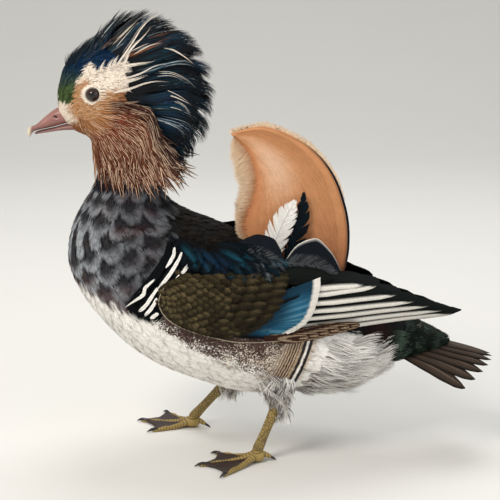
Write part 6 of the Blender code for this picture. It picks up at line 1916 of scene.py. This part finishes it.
def bill_horn():
    """Bare horn of the bill: rose, paler at the nail, satin, with fine growth lines."""
    made, tree, shader = new_material("bill horn", 0.38, coat_weight=0.12)
    shader.inputs["Coat Roughness"].default_value = 0.3
    place = add_node(tree, "ShaderNodeTexCoord")
    split = add_node(tree, "ShaderNodeSeparateXYZ", {"Vector": place.outputs["Object"]})
    nail = placed((-160.8, 0, 0))[0]
    tip = add_node(tree, "ShaderNodeMapRange", {
        "Value": split.outputs["X"], "From Min": nail + 1.2 * MM, "From Max": nail - 1.2 * MM})
    cloud = add_node(tree, "ShaderNodeTexNoise", {"Vector": place.outputs["Object"], "Scale": 160, "Detail": 4})
    rose = add_node(tree, "ShaderNodeMix", {
        "Factor": cloud.outputs["Fac"], "A": (*tint("bill_rose") * 0.72, 1), "B": (*tint("bill_rose") * 1.25, 1)},
        data_type="RGBA")
    # Painted shade: the horn darkens towards the bottom of the bill.
    lower_shade = add_node(tree, "ShaderNodeMapRange", {
        "Value": split.outputs["Z"], "From Min": placed((0, 0, 244))[2], "From Max": placed((0, 0, 250))[2],
        "To Min": 0.75, "To Max": 1.05})
    shaded = add_node(tree, "ShaderNodeVectorMath", {0: rose.outputs["Result"]}, operation="SCALE")
    tree.links.new(lower_shade.outputs["Result"], shaded.inputs["Scale"])
    horn = add_node(tree, "ShaderNodeMix", {
        "Factor": tip.outputs["Result"], "A": shaded.outputs["Vector"], "B": (*tint("nail_cream"), 1)}, data_type="RGBA")
    fine = add_node(tree, "ShaderNodeTexNoise", {"Vector": place.outputs["Object"], "Scale": 900, "Detail": 3})
    bump = add_node(tree, "ShaderNodeBump", {"Height": fine.outputs["Fac"], "Strength": 0.3, "Distance": 0.15 * MM})
    tree.links.new(bump.outputs["Normal"], shader.inputs["Normal"])
    tree.links.new(horn.outputs["Result"], shader.inputs["Base Color"])
    return made


class DRAKE_OT_bill(bpy.types.Operator):
    """The bill in two halves, with its nostrils, gape and hooked nail"""

    bl_idname = "drake.bill"
    bl_label = "Bill"

    def execute(self, context):
        horn = bill_horn()
        angles = np.linspace(0, 2 * math.pi, 20, endpoint=False)
        upper = extruded("bill_upper_horn", loft(UPPER_BILL, np.linspace(0, 1, 15), angles, 0.1, 2.3), 2)
        self.carve_nostrils(upper)
        lower = extruded("bill_lower_horn", loft(LOWER_BILL, np.linspace(0, 1, 10), angles, 0.1, 2.3), 2)
        for obj, node in ((upper, "bill_upper"), (lower, "bill_lower")):
            obj.data.materials.clear()
            obj.data.materials.append(horn)
            settle(obj, [node])
        self.nostrils()
        return {"FINISHED"}

    def carve_nostrils(self, upper):
        """Presses an oval pit into each side of the upper bill."""
        for vertex in upper.data.vertices:
            p = np.array(vertex.co) / MM - SHIFT
            away = np.hypot((p[0] + 141.5) / 3.4, (p[2] - 253.6) / 1.7)
            if away < 1 and abs(p[1]) > 3:
                vertex.co.y -= math.copysign(1.1 * MM * (1 - away**2), p[1])

    def nostrils(self):
        """The dark slit of each nostril, as a pressed oval."""
        made, tree, shader = new_material("nostril skin", 0.6)
        place = add_node(tree, "ShaderNodeTexCoord")
        noise = add_node(tree, "ShaderNodeTexNoise", {"Vector": place.outputs["Object"], "Scale": 700})
        dark = add_node(tree, "ShaderNodeMix", {
            "Factor": noise.outputs["Fac"], "A": (*tint("rust_dark_and_gap_shade") * 0.3, 1), "B": (*tint("rust_dark_and_gap_shade"), 1)}, data_type="RGBA")
        tree.links.new(dark.outputs["Result"], shader.inputs["Base Color"])
        parts = []
        for side in SIDES.values():
            bpy.ops.object.select_all(action="DESELECT")
            where = placed((-141.5, side * 6.4, 253.6))
            bpy.ops.mesh.primitive_uv_sphere_add(segments=20, ring_count=10, radius=MM, location=where)
            obj = bpy.context.object
            obj.scale = (2.3, 0.8, 0.85)
            obj.rotation_euler = (0, math.radians(32), 0)
            bpy.ops.object.transform_apply(location=True, rotation=True, scale=True)
            parts.append(obj)
        only(*parts)
        bpy.ops.object.join()
        nostril = bpy.context.view_layer.objects.active
        nostril.name = nostril.data.name = "nostrils"
        bpy.ops.object.shade_smooth()
        nostril.data.materials.append(made)
        settle(nostril, [])


def eye_glass():
    """A wet eye: black pupil in a dark brown iris under a clear, glossy cornea."""
    made, tree, shader = new_material("wet eye", 0.12, coat_weight=0.35)
    shader.inputs["Coat Roughness"].default_value = 0.02
    shader.inputs["IOR"].default_value = 1.38
    place = add_node(tree, "ShaderNodeTexCoord")
    centre = placed((EYE[0], 0, EYE[2]))
    moved = add_node(tree, "ShaderNodeMapping", {
        "Vector": place.outputs["Object"], "Location": (-centre[0], 0, -centre[2]), "Scale": (1, 0, 1)})
    reach = add_node(tree, "ShaderNodeVectorMath", {0: moved.outputs["Vector"]}, operation="LENGTH")
    fibre = add_node(tree, "ShaderNodeTexNoise", {"Vector": place.outputs["Object"], "Scale": 1500, "Detail": 3})
    ring = add_node(tree, "ShaderNodeValToRGB", {"Fac": reach.outputs["Value"]})
    scale = add_node(tree, "ShaderNodeMath", {0: reach.outputs["Value"], 1: 1 / (5 * MM)}, operation="MULTIPLY")
    tree.links.new(scale.outputs[0], ring.inputs["Fac"])
    stops = [(0.0, "#050404"), (0.44, "#050404"), (0.5, "#2A160C"), (0.74, "#3C2214"), (0.84, "#120A07"), (1.0, "#0A0706")]
    while len(ring.color_ramp.elements) < len(stops):
        ring.color_ramp.elements.new(0.5)
    for element, (position, code) in zip(ring.color_ramp.elements, stops):
        element.position = position
        element.color = (*linear(code), 1)
    flecked = add_node(tree, "ShaderNodeMix", {
        "Factor": 0.35, "A": ring.outputs["Color"], "B": fibre.outputs["Color"]}, data_type="RGBA", blend_type="MULTIPLY")
    tree.links.new(flecked.outputs["Result"], shader.inputs["Base Color"])
    return made


def rim_skin():
    """Bare grey skin of the lid's rim, finely wrinkled."""
    made, tree, shader = new_material("lid skin", 0.5)
    place = add_node(tree, "ShaderNodeTexCoord")
    noise = add_node(tree, "ShaderNodeTexNoise", {"Vector": place.outputs["Object"], "Scale": 1200, "Detail": 3})
    grey = add_node(tree, "ShaderNodeMix", {
        "Factor": noise.outputs["Fac"], "A": (*linear("#57514C"), 1), "B": (*linear("#A39A90"), 1)}, data_type="RGBA")
    bump = add_node(tree, "ShaderNodeBump", {"Height": noise.outputs["Fac"], "Strength": 0.4, "Distance": 0.1 * MM})
    tree.links.new(bump.outputs["Normal"], shader.inputs["Normal"])
    tree.links.new(grey.outputs["Result"], shader.inputs["Base Color"])
    return made


class DRAKE_OT_eyes(bpy.types.Operator):
    """Eyes set in their lids"""

    bl_idname = "drake.eyes"
    bl_label = "Eyes"

    def execute(self, context):
        glass, skin = eye_glass(), rim_skin()
        for side_name, side in SIDES.items():
            where = placed((EYE[0], side * EYE[1], EYE[2]))
            bpy.ops.object.select_all(action="DESELECT")
            bpy.ops.mesh.primitive_uv_sphere_add(
                segments=48, ring_count=24, radius=EYE_RADIUS * MM, location=where, rotation=(math.pi / 2, 0, 0))
            eye = context.object
            eye.name = eye.data.name = f"eyeball_{side_name}"
            bpy.ops.object.transform_apply(location=True, rotation=True, scale=True)
            for vertex in eye.data.vertices:
                beyond = (vertex.co.y - where[1]) * side / MM
                if beyond > 4.4:
                    vertex.co.y += side * 0.5 * MM * ((beyond - 4.4) / 1.1)
            bpy.ops.object.shade_smooth()
            eye.data.materials.append(glass)
            settle(eye, [f"eye_{side_name}"])
            bpy.ops.object.select_all(action="DESELECT")
            rim = placed((EYE[0], side * (EYE[1] + 2.55), EYE[2]))
            bpy.ops.mesh.primitive_torus_add(
                major_segments=56, minor_segments=12, major_radius=4.75 * MM, minor_radius=0.62 * MM,
                location=rim, rotation=(math.pi / 2, 0, math.radians(-6) * side))
            lid = context.object
            lid.name = lid.data.name = f"lid_{side_name}"
            lid.scale = (1.05, 1.0, 0.9)
            bpy.ops.object.transform_apply(location=True, rotation=True, scale=True)
            bpy.ops.object.shade_smooth()
            lid.data.materials.append(skin)
            settle(lid, [])
        return {"FINISHED"}


# Legs and feet


def leg_scales(name, banded):
    """Scaled ochre skin of tarsus and toes: small plates with dark seams, cross plates on the toes."""
    made, tree, shader = new_material(name, 0.5, coat_weight=0.08)
    place = add_node(tree, "ShaderNodeTexCoord")
    cells = add_node(tree, "ShaderNodeTexVoronoi", {"Vector": place.outputs["Object"], "Scale": 1 / (1.9 * MM)},
                     feature="DISTANCE_TO_EDGE")
    seam = add_node(tree, "ShaderNodeMapRange", {"Value": cells.outputs["Distance"], "From Min": 0.02, "From Max": 0.22})
    height = seam.outputs["Result"]
    if banded:
        reach = add_node(tree, "ShaderNodeAttribute", attribute_name="Reach")
        turn = add_node(tree, "ShaderNodeMath", {0: reach.outputs["Fac"], 1: 2 * math.pi / 2.3}, operation="MULTIPLY")
        wave = add_node(tree, "ShaderNodeMath", {0: turn.outputs[0]}, operation="SINE")
        band = add_node(tree, "ShaderNodeMapRange", {"Value": wave.outputs[0], "From Min": -0.95, "From Max": -0.3})
        height = band.outputs["Result"]
    cloud = add_node(tree, "ShaderNodeTexNoise", {"Vector": place.outputs["Object"], "Scale": 90, "Detail": 3})
    warm = add_node(tree, "ShaderNodeMix", {
        "Factor": cloud.outputs["Fac"], "A": (*tint("leg_ochre") * 0.7, 1), "B": (*linear("#AE9550"), 1)}, data_type="RGBA")
    skin = add_node(tree, "ShaderNodeMix", {
        "Factor": height, "A": (*linear("#5E4C24"), 1), "B": warm.outputs["Result"]}, data_type="RGBA")
    bump = add_node(tree, "ShaderNodeBump", {"Height": height, "Strength": 0.7, "Distance": 0.3 * MM})
    tree.links.new(bump.outputs["Normal"], shader.inputs["Normal"])
    tree.links.new(skin.outputs["Result"], shader.inputs["Base Color"])
    return made


def web_skin():
    """Thin dark web: leathery, with wrinkles that run between the toes."""
    made, tree, shader = new_material("web skin", 0.55)
    place = add_node(tree, "ShaderNodeTexCoord")
    noise = add_node(tree, "ShaderNodeTexNoise", {"Vector": place.outputs["Object"], "Scale": 260, "Detail": 5})
    skin = add_node(tree, "ShaderNodeMix", {
        "Factor": noise.outputs["Fac"], "A": (*tint("web_brown") * 0.45, 1), "B": (*tint("web_brown") * 1.9, 1)},
        data_type="RGBA")
    bump = add_node(tree, "ShaderNodeBump", {"Height": noise.outputs["Fac"], "Strength": 0.6, "Distance": 0.4 * MM})
    tree.links.new(bump.outputs["Normal"], shader.inputs["Normal"])
    tree.links.new(skin.outputs["Result"], shader.inputs["Base Color"])
    return made


def claw_horn():
    """Black horn of the claws, polished at the tip."""
    made, tree, shader = new_material("claw horn", 0.3, coat_weight=0.2)
    place = add_node(tree, "ShaderNodeTexCoord")
    noise = add_node(tree, "ShaderNodeTexNoise", {"Vector": place.outputs["Object"], "Scale": 500})
    horn = add_node(tree, "ShaderNodeMix", {
        "Factor": noise.outputs["Fac"], "A": (*tint("claw_black") * 0.6, 1), "B": (*tint("claw_black") * 2.2, 1)},
        data_type="RGBA")
    tree.links.new(horn.outputs["Result"], shader.inputs["Base Color"])
    return made


def limb_rings(points, radii, sides=14, flat=1.0):
    """Rings round a path. flat narrows them from side to side."""
    points = np.asarray(points, float)
    ahead = unit(np.gradient(points, axis=0))
    across = unit(np.cross(ahead, (0, 1, 0)))
    out = unit(np.cross(ahead, across)) * flat
    angles = np.linspace(0, 2 * math.pi, sides, endpoint=False)
    radii = np.asarray(radii, float)[:, None, None]
    return (points[:, None] + across[:, None] * radii * np.cos(angles)[None, :, None]
            + out[:, None] * radii * np.sin(angles)[None, :, None])


def joined(name, parts, material, nodes):
    only(*parts)
    if len(parts) > 1:
        bpy.ops.object.join()
    obj = bpy.context.view_layer.objects.active
    obj.name = obj.data.name = name
    obj.data.materials.clear()
    obj.data.materials.append(material)
    settle(obj, nodes)
    return obj


def store_reach(obj, hub):
    """Keeps each point's distance from the foot's joint, for the cross plates of the toes."""
    co = np.zeros(len(obj.data.vertices) * 3)
    obj.data.vertices.foreach_get("co", co)
    reach = np.linalg.norm(co.reshape(-1, 3)[:, :2] - placed(hub)[:2], axis=1) / MM
    obj.data.attributes.new("Reach", "FLOAT", "POINT").data.foreach_set("value", reach.astype(np.float32))


class DRAKE_OT_legs(bpy.types.Operator):
    """Scaled legs, toes, webs and claws"""

    bl_idname = "drake.legs"
    bl_label = "Legs and feet"

    def execute(self, context):
        scales, plates = leg_scales("tarsus scales", False), leg_scales("toe plates", True)
        web, horn = web_skin(), claw_horn()
        for side_name, side in SIDES.items():
            leg = LEGS[side_name]
            self.tarsus(leg, side, side_name, scales)
            self.foot(leg, side, side_name, plates, web, horn)
        return {"FINISHED"}

    def tarsus(self, leg, side, side_name, scales):
        foot, heel = np.array(leg["foot"], float), np.array(leg["heel"], float)
        shares = np.array([-0.06, 0.06, 0.18, 0.34, 0.5, 0.68, 0.85, 1.0, 1.1, 1.2])
        radii = [3.2, 4.6, 3.9, 3.65, 3.6, 3.8, 4.3, 4.9, 4.4, 3.7]
        points = (foot + (heel - foot) * shares[:, None]) * (1, side, 1)
        shin = extruded("tarsus", limb_rings(points, radii, 14, 0.78), 1)
        joined(f"tarsus_{side_name}", [shin], scales, [f"leg_{side_name}"])

    def foot(self, leg, side, side_name, plates, web, horn):
        hub = np.array(leg["foot"], float) * (1, side, 1)
        toes, claws, lines = [], [], []
        for spread, length in ((-38, 34), (0, 44), (38, 40)):
            turn = math.radians(leg["turn"] + spread)
            direction = np.array((-math.cos(turn), side * math.sin(turn), 0))
            shares = np.array([0.0, 0.1, 0.18, 0.32, 0.40, 0.48, 0.60, 0.68, 0.76, 0.9, 1.0])
            radii = np.array([3.2, 3.5, 2.8, 2.1, 2.5, 2.1, 1.8, 2.2, 1.8, 1.5, 1.1])
            drop = np.interp(np.minimum(1, shares * 2.4), (0, 1), (hub[2] - 2.4, 0))
            drop = drop + radii * 0.86 * np.minimum(1, shares * 2.4)
            points = hub * (1, 1, 0) + direction * length * shares[:, None] + np.array((0, 0, 1)) * drop[:, None]
            across = np.cross(direction, (0, 0, 1))
            angles = np.linspace(0, 2 * math.pi, 12, endpoint=False)
            rings = (points[:, None] + across * (radii[:, None] * np.cos(angles))[..., None]
                     + np.array((0, 0, 1)) * (radii[:, None] * np.sin(angles))[..., None])
            rings[..., 2] = np.maximum(rings[..., 2], 0.05)
            toes.append(extruded("toe", rings, 1))
            claws.append(self.claw(points[-2], direction, across))
            lines.append((direction, length))
        toes.append(self.hub(hub))
        hind, hind_claw = self.hind_toe(hub, leg["turn"], side)
        toes.append(hind)
        claws.append(hind_claw)
        foot = joined(f"toes_{side_name}", toes, plates, [f"foot_{side_name}"])
        store_reach(foot, hub)
        webs = [self.web(hub, lines[i], lines[i + 1], side) for i in range(2)]
        joined(f"webs_{side_name}", webs, web, [f"foot_{side_name}"])
        joined(f"claws_{side_name}", claws, horn, [f"foot_{side_name}"])

    def hub(self, hub):
        """The pad where the toes meet: a sphere, pressed flat where it stands."""
        bpy.ops.object.select_all(action="DESELECT")
        bpy.ops.mesh.primitive_uv_sphere_add(segments=24, ring_count=12, radius=MM, location=placed(hub * (1, 1, 0) + (0, 0, 4.8)))
        obj = bpy.context.object
        obj.scale = (6.2, 5.2, 5.0)
        bpy.ops.object.transform_apply(location=True, rotation=True, scale=True)
        for vertex in obj.data.vertices:
            vertex.co.z = max(vertex.co.z, 0.05 * MM)
        bpy.ops.object.shade_smooth()
        return obj

    def claw(self, base, direction, across):
        """A hooked claw: each ring smaller than the last and bent to the ground."""
        steps = ((-1.8, 0.3, 1.7), (0.6, 0.8, 1.75), (2.8, 1.1, 1.5), (4.8, 0.9, 1.15), (6.6, 0.2, 0.7), (8.0, -0.7, 0.2))
        angles = np.linspace(0, 2 * math.pi, 10, endpoint=False)
        rings = []
        for reach, rise, radius in steps:
            middle = base + direction * reach + np.array((0, 0, rise))
            rings.append(middle + across * (radius * 0.72 * np.cos(angles))[:, None]
                         + np.array((0, 0, 1)) * (radius * np.sin(angles))[:, None])
        rings = np.array(rings)
        rings[..., 2] = np.maximum(rings[..., 2], 0.05)
        return extruded("claw", rings, 1)

    def hind_toe(self, hub, turn, side):
        angle = math.radians(turn + 176)
        direction = np.array((-math.cos(angle), side * math.sin(angle), 0))
        points = [hub + (0, 0, -1), hub + direction * 3 + (0, 0, -1.3), hub + direction * 6 + (0, 0, -2.2),
                  hub + direction * 9 + (0, 0, -3.8), hub + direction * 11 + (0, 0, -5.0)]
        toe = extruded("hind_toe", limb_rings(points, (2.4, 2.4, 2.1, 1.9, 1.4), 10), 1)
        tips = [points[-1] + direction * reach + np.array((0, 0, rise)) for reach, rise in ((-1.2, 0.5), (0.8, -0.3), (2.6, -1.4), (3.9, -2.4))]
        rings = limb_rings(tips, (1.1, 1.15, 0.8, 0.2), 8)
        rings[..., 2] = np.maximum(rings[..., 2], 0.05)
        return toe, extruded("hind_claw", rings, 1)

    def web(self, hub, first, second, side):
        """The membrane between two toes: a grid, shaped to both toes and drawn back in front."""
        rows, columns = 14, 12
        bpy.ops.object.select_all(action="DESELECT")
        bpy.ops.mesh.primitive_grid_add(x_subdivisions=columns - 1, y_subdivisions=rows - 1, size=MM)
        obj = bpy.context.object
        co = np.zeros((rows, columns, 3))
        for i, share in enumerate(np.linspace(0.06, 0.97, rows)):
            for j, across in enumerate(np.linspace(0, 1, columns)):
                drawn = 1 - 0.13 * 4 * across * (1 - across) * share
                a, b = first[0] * first[1] * share * drawn, second[0] * second[1] * share * drawn
                sag = math.sin(math.pi * across) * (1.0 + 0.25 * math.sin(across * 19 + share * 5))
                height = 2.5 + 1.1 * (1 - share) + 1.6 * (1 - min(1, share * 2.2)) - 0.9 * sag * share
                co[i, j] = hub * (1, 1, 0) + a + (b - a) * across + (0, 0, height)
        if len(obj.data.vertices) != rows * columns:
            raise RuntimeError("the web's grid has another number of points")
        obj.data.vertices.foreach_set("co", placed(co.reshape(-1, 3)).astype(np.float32).ravel())
        thick = obj.modifiers.new("thick", "SOLIDIFY")
        thick.thickness = 0.8 * MM
        thick.offset = 0
        only(obj)
        bpy.ops.object.modifier_apply(modifier=thick.name)
        bpy.ops.object.mode_set(mode="EDIT")
        bpy.ops.mesh.select_all(action="SELECT")
        bpy.ops.mesh.normals_make_consistent(inside=False)
        bpy.ops.object.mode_set(mode="OBJECT")
        bpy.ops.object.shade_smooth()
        return obj


# Stage


CAMERA_TARGET = (0.0, 0.0, 153.0)
CAMERA_RISE = 12
CAMERA_DISTANCE = 1.0


class DRAKE_OT_stage(bpy.types.Operator):
    """Pale floor and backdrop, soft lights and the camera"""

    bl_idname = "drake.stage"
    bl_label = "Stage"

    def execute(self, context):
        self.sweep()
        self.lights()
        self.camera()
        return {"FINISHED"}

    def sweep(self):
        """A plane whose rear edge is extruded up and rounded to a seamless backdrop."""
        bpy.ops.object.select_all(action="DESELECT")
        bpy.ops.mesh.primitive_plane_add(size=6, location=(0, 0, 0))
        obj = bpy.context.object
        obj.name = obj.data.name = "sweep"
        bpy.ops.object.mode_set(mode="EDIT")
        bpy.ops.mesh.select_mode(type="EDGE")
        shape = bmesh.from_edit_mesh(obj.data)
        for edge in shape.edges:
            edge.select = all(v.co.y > 2.9 for v in edge.verts)
        shape.select_flush_mode()
        bmesh.update_edit_mesh(obj.data)
        bpy.ops.mesh.extrude_region_move(TRANSFORM_OT_translate={"value": (0, 0, 3)})
        shape = bmesh.from_edit_mesh(obj.data)
        for edge in shape.edges:
            edge.select = all(v.co.y > 2.9 and v.co.z < 0.1 for v in edge.verts)
        shape.select_flush_mode()
        bmesh.update_edit_mesh(obj.data)
        bpy.ops.mesh.bevel(offset=1.5, segments=16, affect="EDGES")
        bpy.ops.object.mode_set(mode="OBJECT")
        bpy.ops.object.shade_smooth()
        made, tree, shader = new_material("matt paper board", 0.9)
        place = add_node(tree, "ShaderNodeTexCoord")
        noise = add_node(tree, "ShaderNodeTexNoise", {"Vector": place.outputs["Object"], "Scale": 6, "Detail": 3})
        tone = add_node(tree, "ShaderNodeMix", {
            "Factor": noise.outputs["Fac"], "A": (*tint("floor") * 0.97, 1), "B": (*tint("floor"), 1)}, data_type="RGBA")
        tree.links.new(tone.outputs["Result"], shader.inputs["Base Color"])
        obj.data.materials.append(made)

    def lights(self):
        """One broad key from the upper left, a fill from the right and a soft one from above."""
        lamps = {
            "key": ((-0.9, -1.1, 1.5), 0.8, 24, "#FFF8F0"),
            "fill": ((1.3, -0.9, 0.7), 1.4, 5, "#F1F5FF"),
            "top": ((0.1, 0.7, 1.7), 1.2, 14, "#FFFFFF"),
        }
        for name, (where, size, power, code) in lamps.items():
            light = bpy.data.lights.new(name, "AREA")
            light.shape = "DISK"
            light.size = size
            light.energy = power
            light.color = linear(code)
            obj = bpy.data.objects.new(name, light)
            obj.location = where
            obj.rotation_euler = (Vector((0, 0, 0.14)) - Vector(where)).to_track_quat("-Z", "Y").to_euler()
            bpy.context.scene.collection.objects.link(obj)
        world = bpy.context.scene.world or bpy.data.worlds.new("studio")
        bpy.context.scene.world = world
        world.use_nodes = True
        back = world.node_tree.nodes["Background"]
        back.inputs["Color"].default_value = (*linear("#F3F3F2"), 1)
        back.inputs["Strength"].default_value = 0.66
        context_view = bpy.context.scene.view_settings
        context_view.view_transform = "Standard"

    def camera(self):
        target = Vector(placed(CAMERA_TARGET))
        rise = math.radians(CAMERA_RISE)
        data = bpy.data.cameras.new("camera")
        data.sensor_width = 36
        data.lens = 96
        data.clip_start, data.clip_end = 0.05, 50
        obj = bpy.data.objects.new("camera", data)
        obj.location = target + Vector((0, -math.cos(rise), math.sin(rise))) * CAMERA_DISTANCE
        obj.rotation_euler = (target - obj.location).to_track_quat("-Z", "Y").to_euler()
        bpy.context.scene.collection.objects.link(obj)
        bpy.context.scene.camera = obj


OPERATORS = [
    DRAKE_OT_skin, DRAKE_OT_body_coat, DRAKE_OT_down, DRAKE_OT_face, DRAKE_OT_ruff, DRAKE_OT_crest,
    DRAKE_OT_wings, DRAKE_OT_sails, DRAKE_OT_plumes, DRAKE_OT_tail, DRAKE_OT_bill, DRAKE_OT_eyes,
    DRAKE_OT_legs, DRAKE_OT_stage,
]


class DRAKE_PT_panel(bpy.types.Panel):
    """Lists the pieces of the drake"""

    bl_idname = "DRAKE_PT_panel"
    bl_label = "Mandarin Drake"
    bl_space_type = "VIEW_3D"
    bl_region_type = "UI"
    bl_category = "Drake"

    def draw(self, context):
        for operator in OPERATORS:
            self.layout.operator(operator.bl_idname)
        for group in (context.scene.drake_sizes, context.scene.drake_colours):
            box = self.layout.box()
            for key in group.__annotations__:
                box.prop(group, key)


CLASSES = [DRAKE_PG_colours, DRAKE_PG_sizes, *OPERATORS, DRAKE_PT_panel]


def register():
    for item in CLASSES:
        bpy.utils.register_class(item)
    bpy.types.Scene.drake_colours = PointerProperty(type=DRAKE_PG_colours)
    bpy.types.Scene.drake_sizes = PointerProperty(type=DRAKE_PG_sizes)


def unregister():
    del bpy.types.Scene.drake_sizes
    del bpy.types.Scene.drake_colours
    for item in reversed(CLASSES):
        bpy.utils.unregister_class(item)


def main():
    register()
    for operator in OPERATORS:
        group, name = operator.bl_idname.split(".")
        getattr(getattr(bpy.ops, group), name)()


if __name__ == "__main__":
    main()
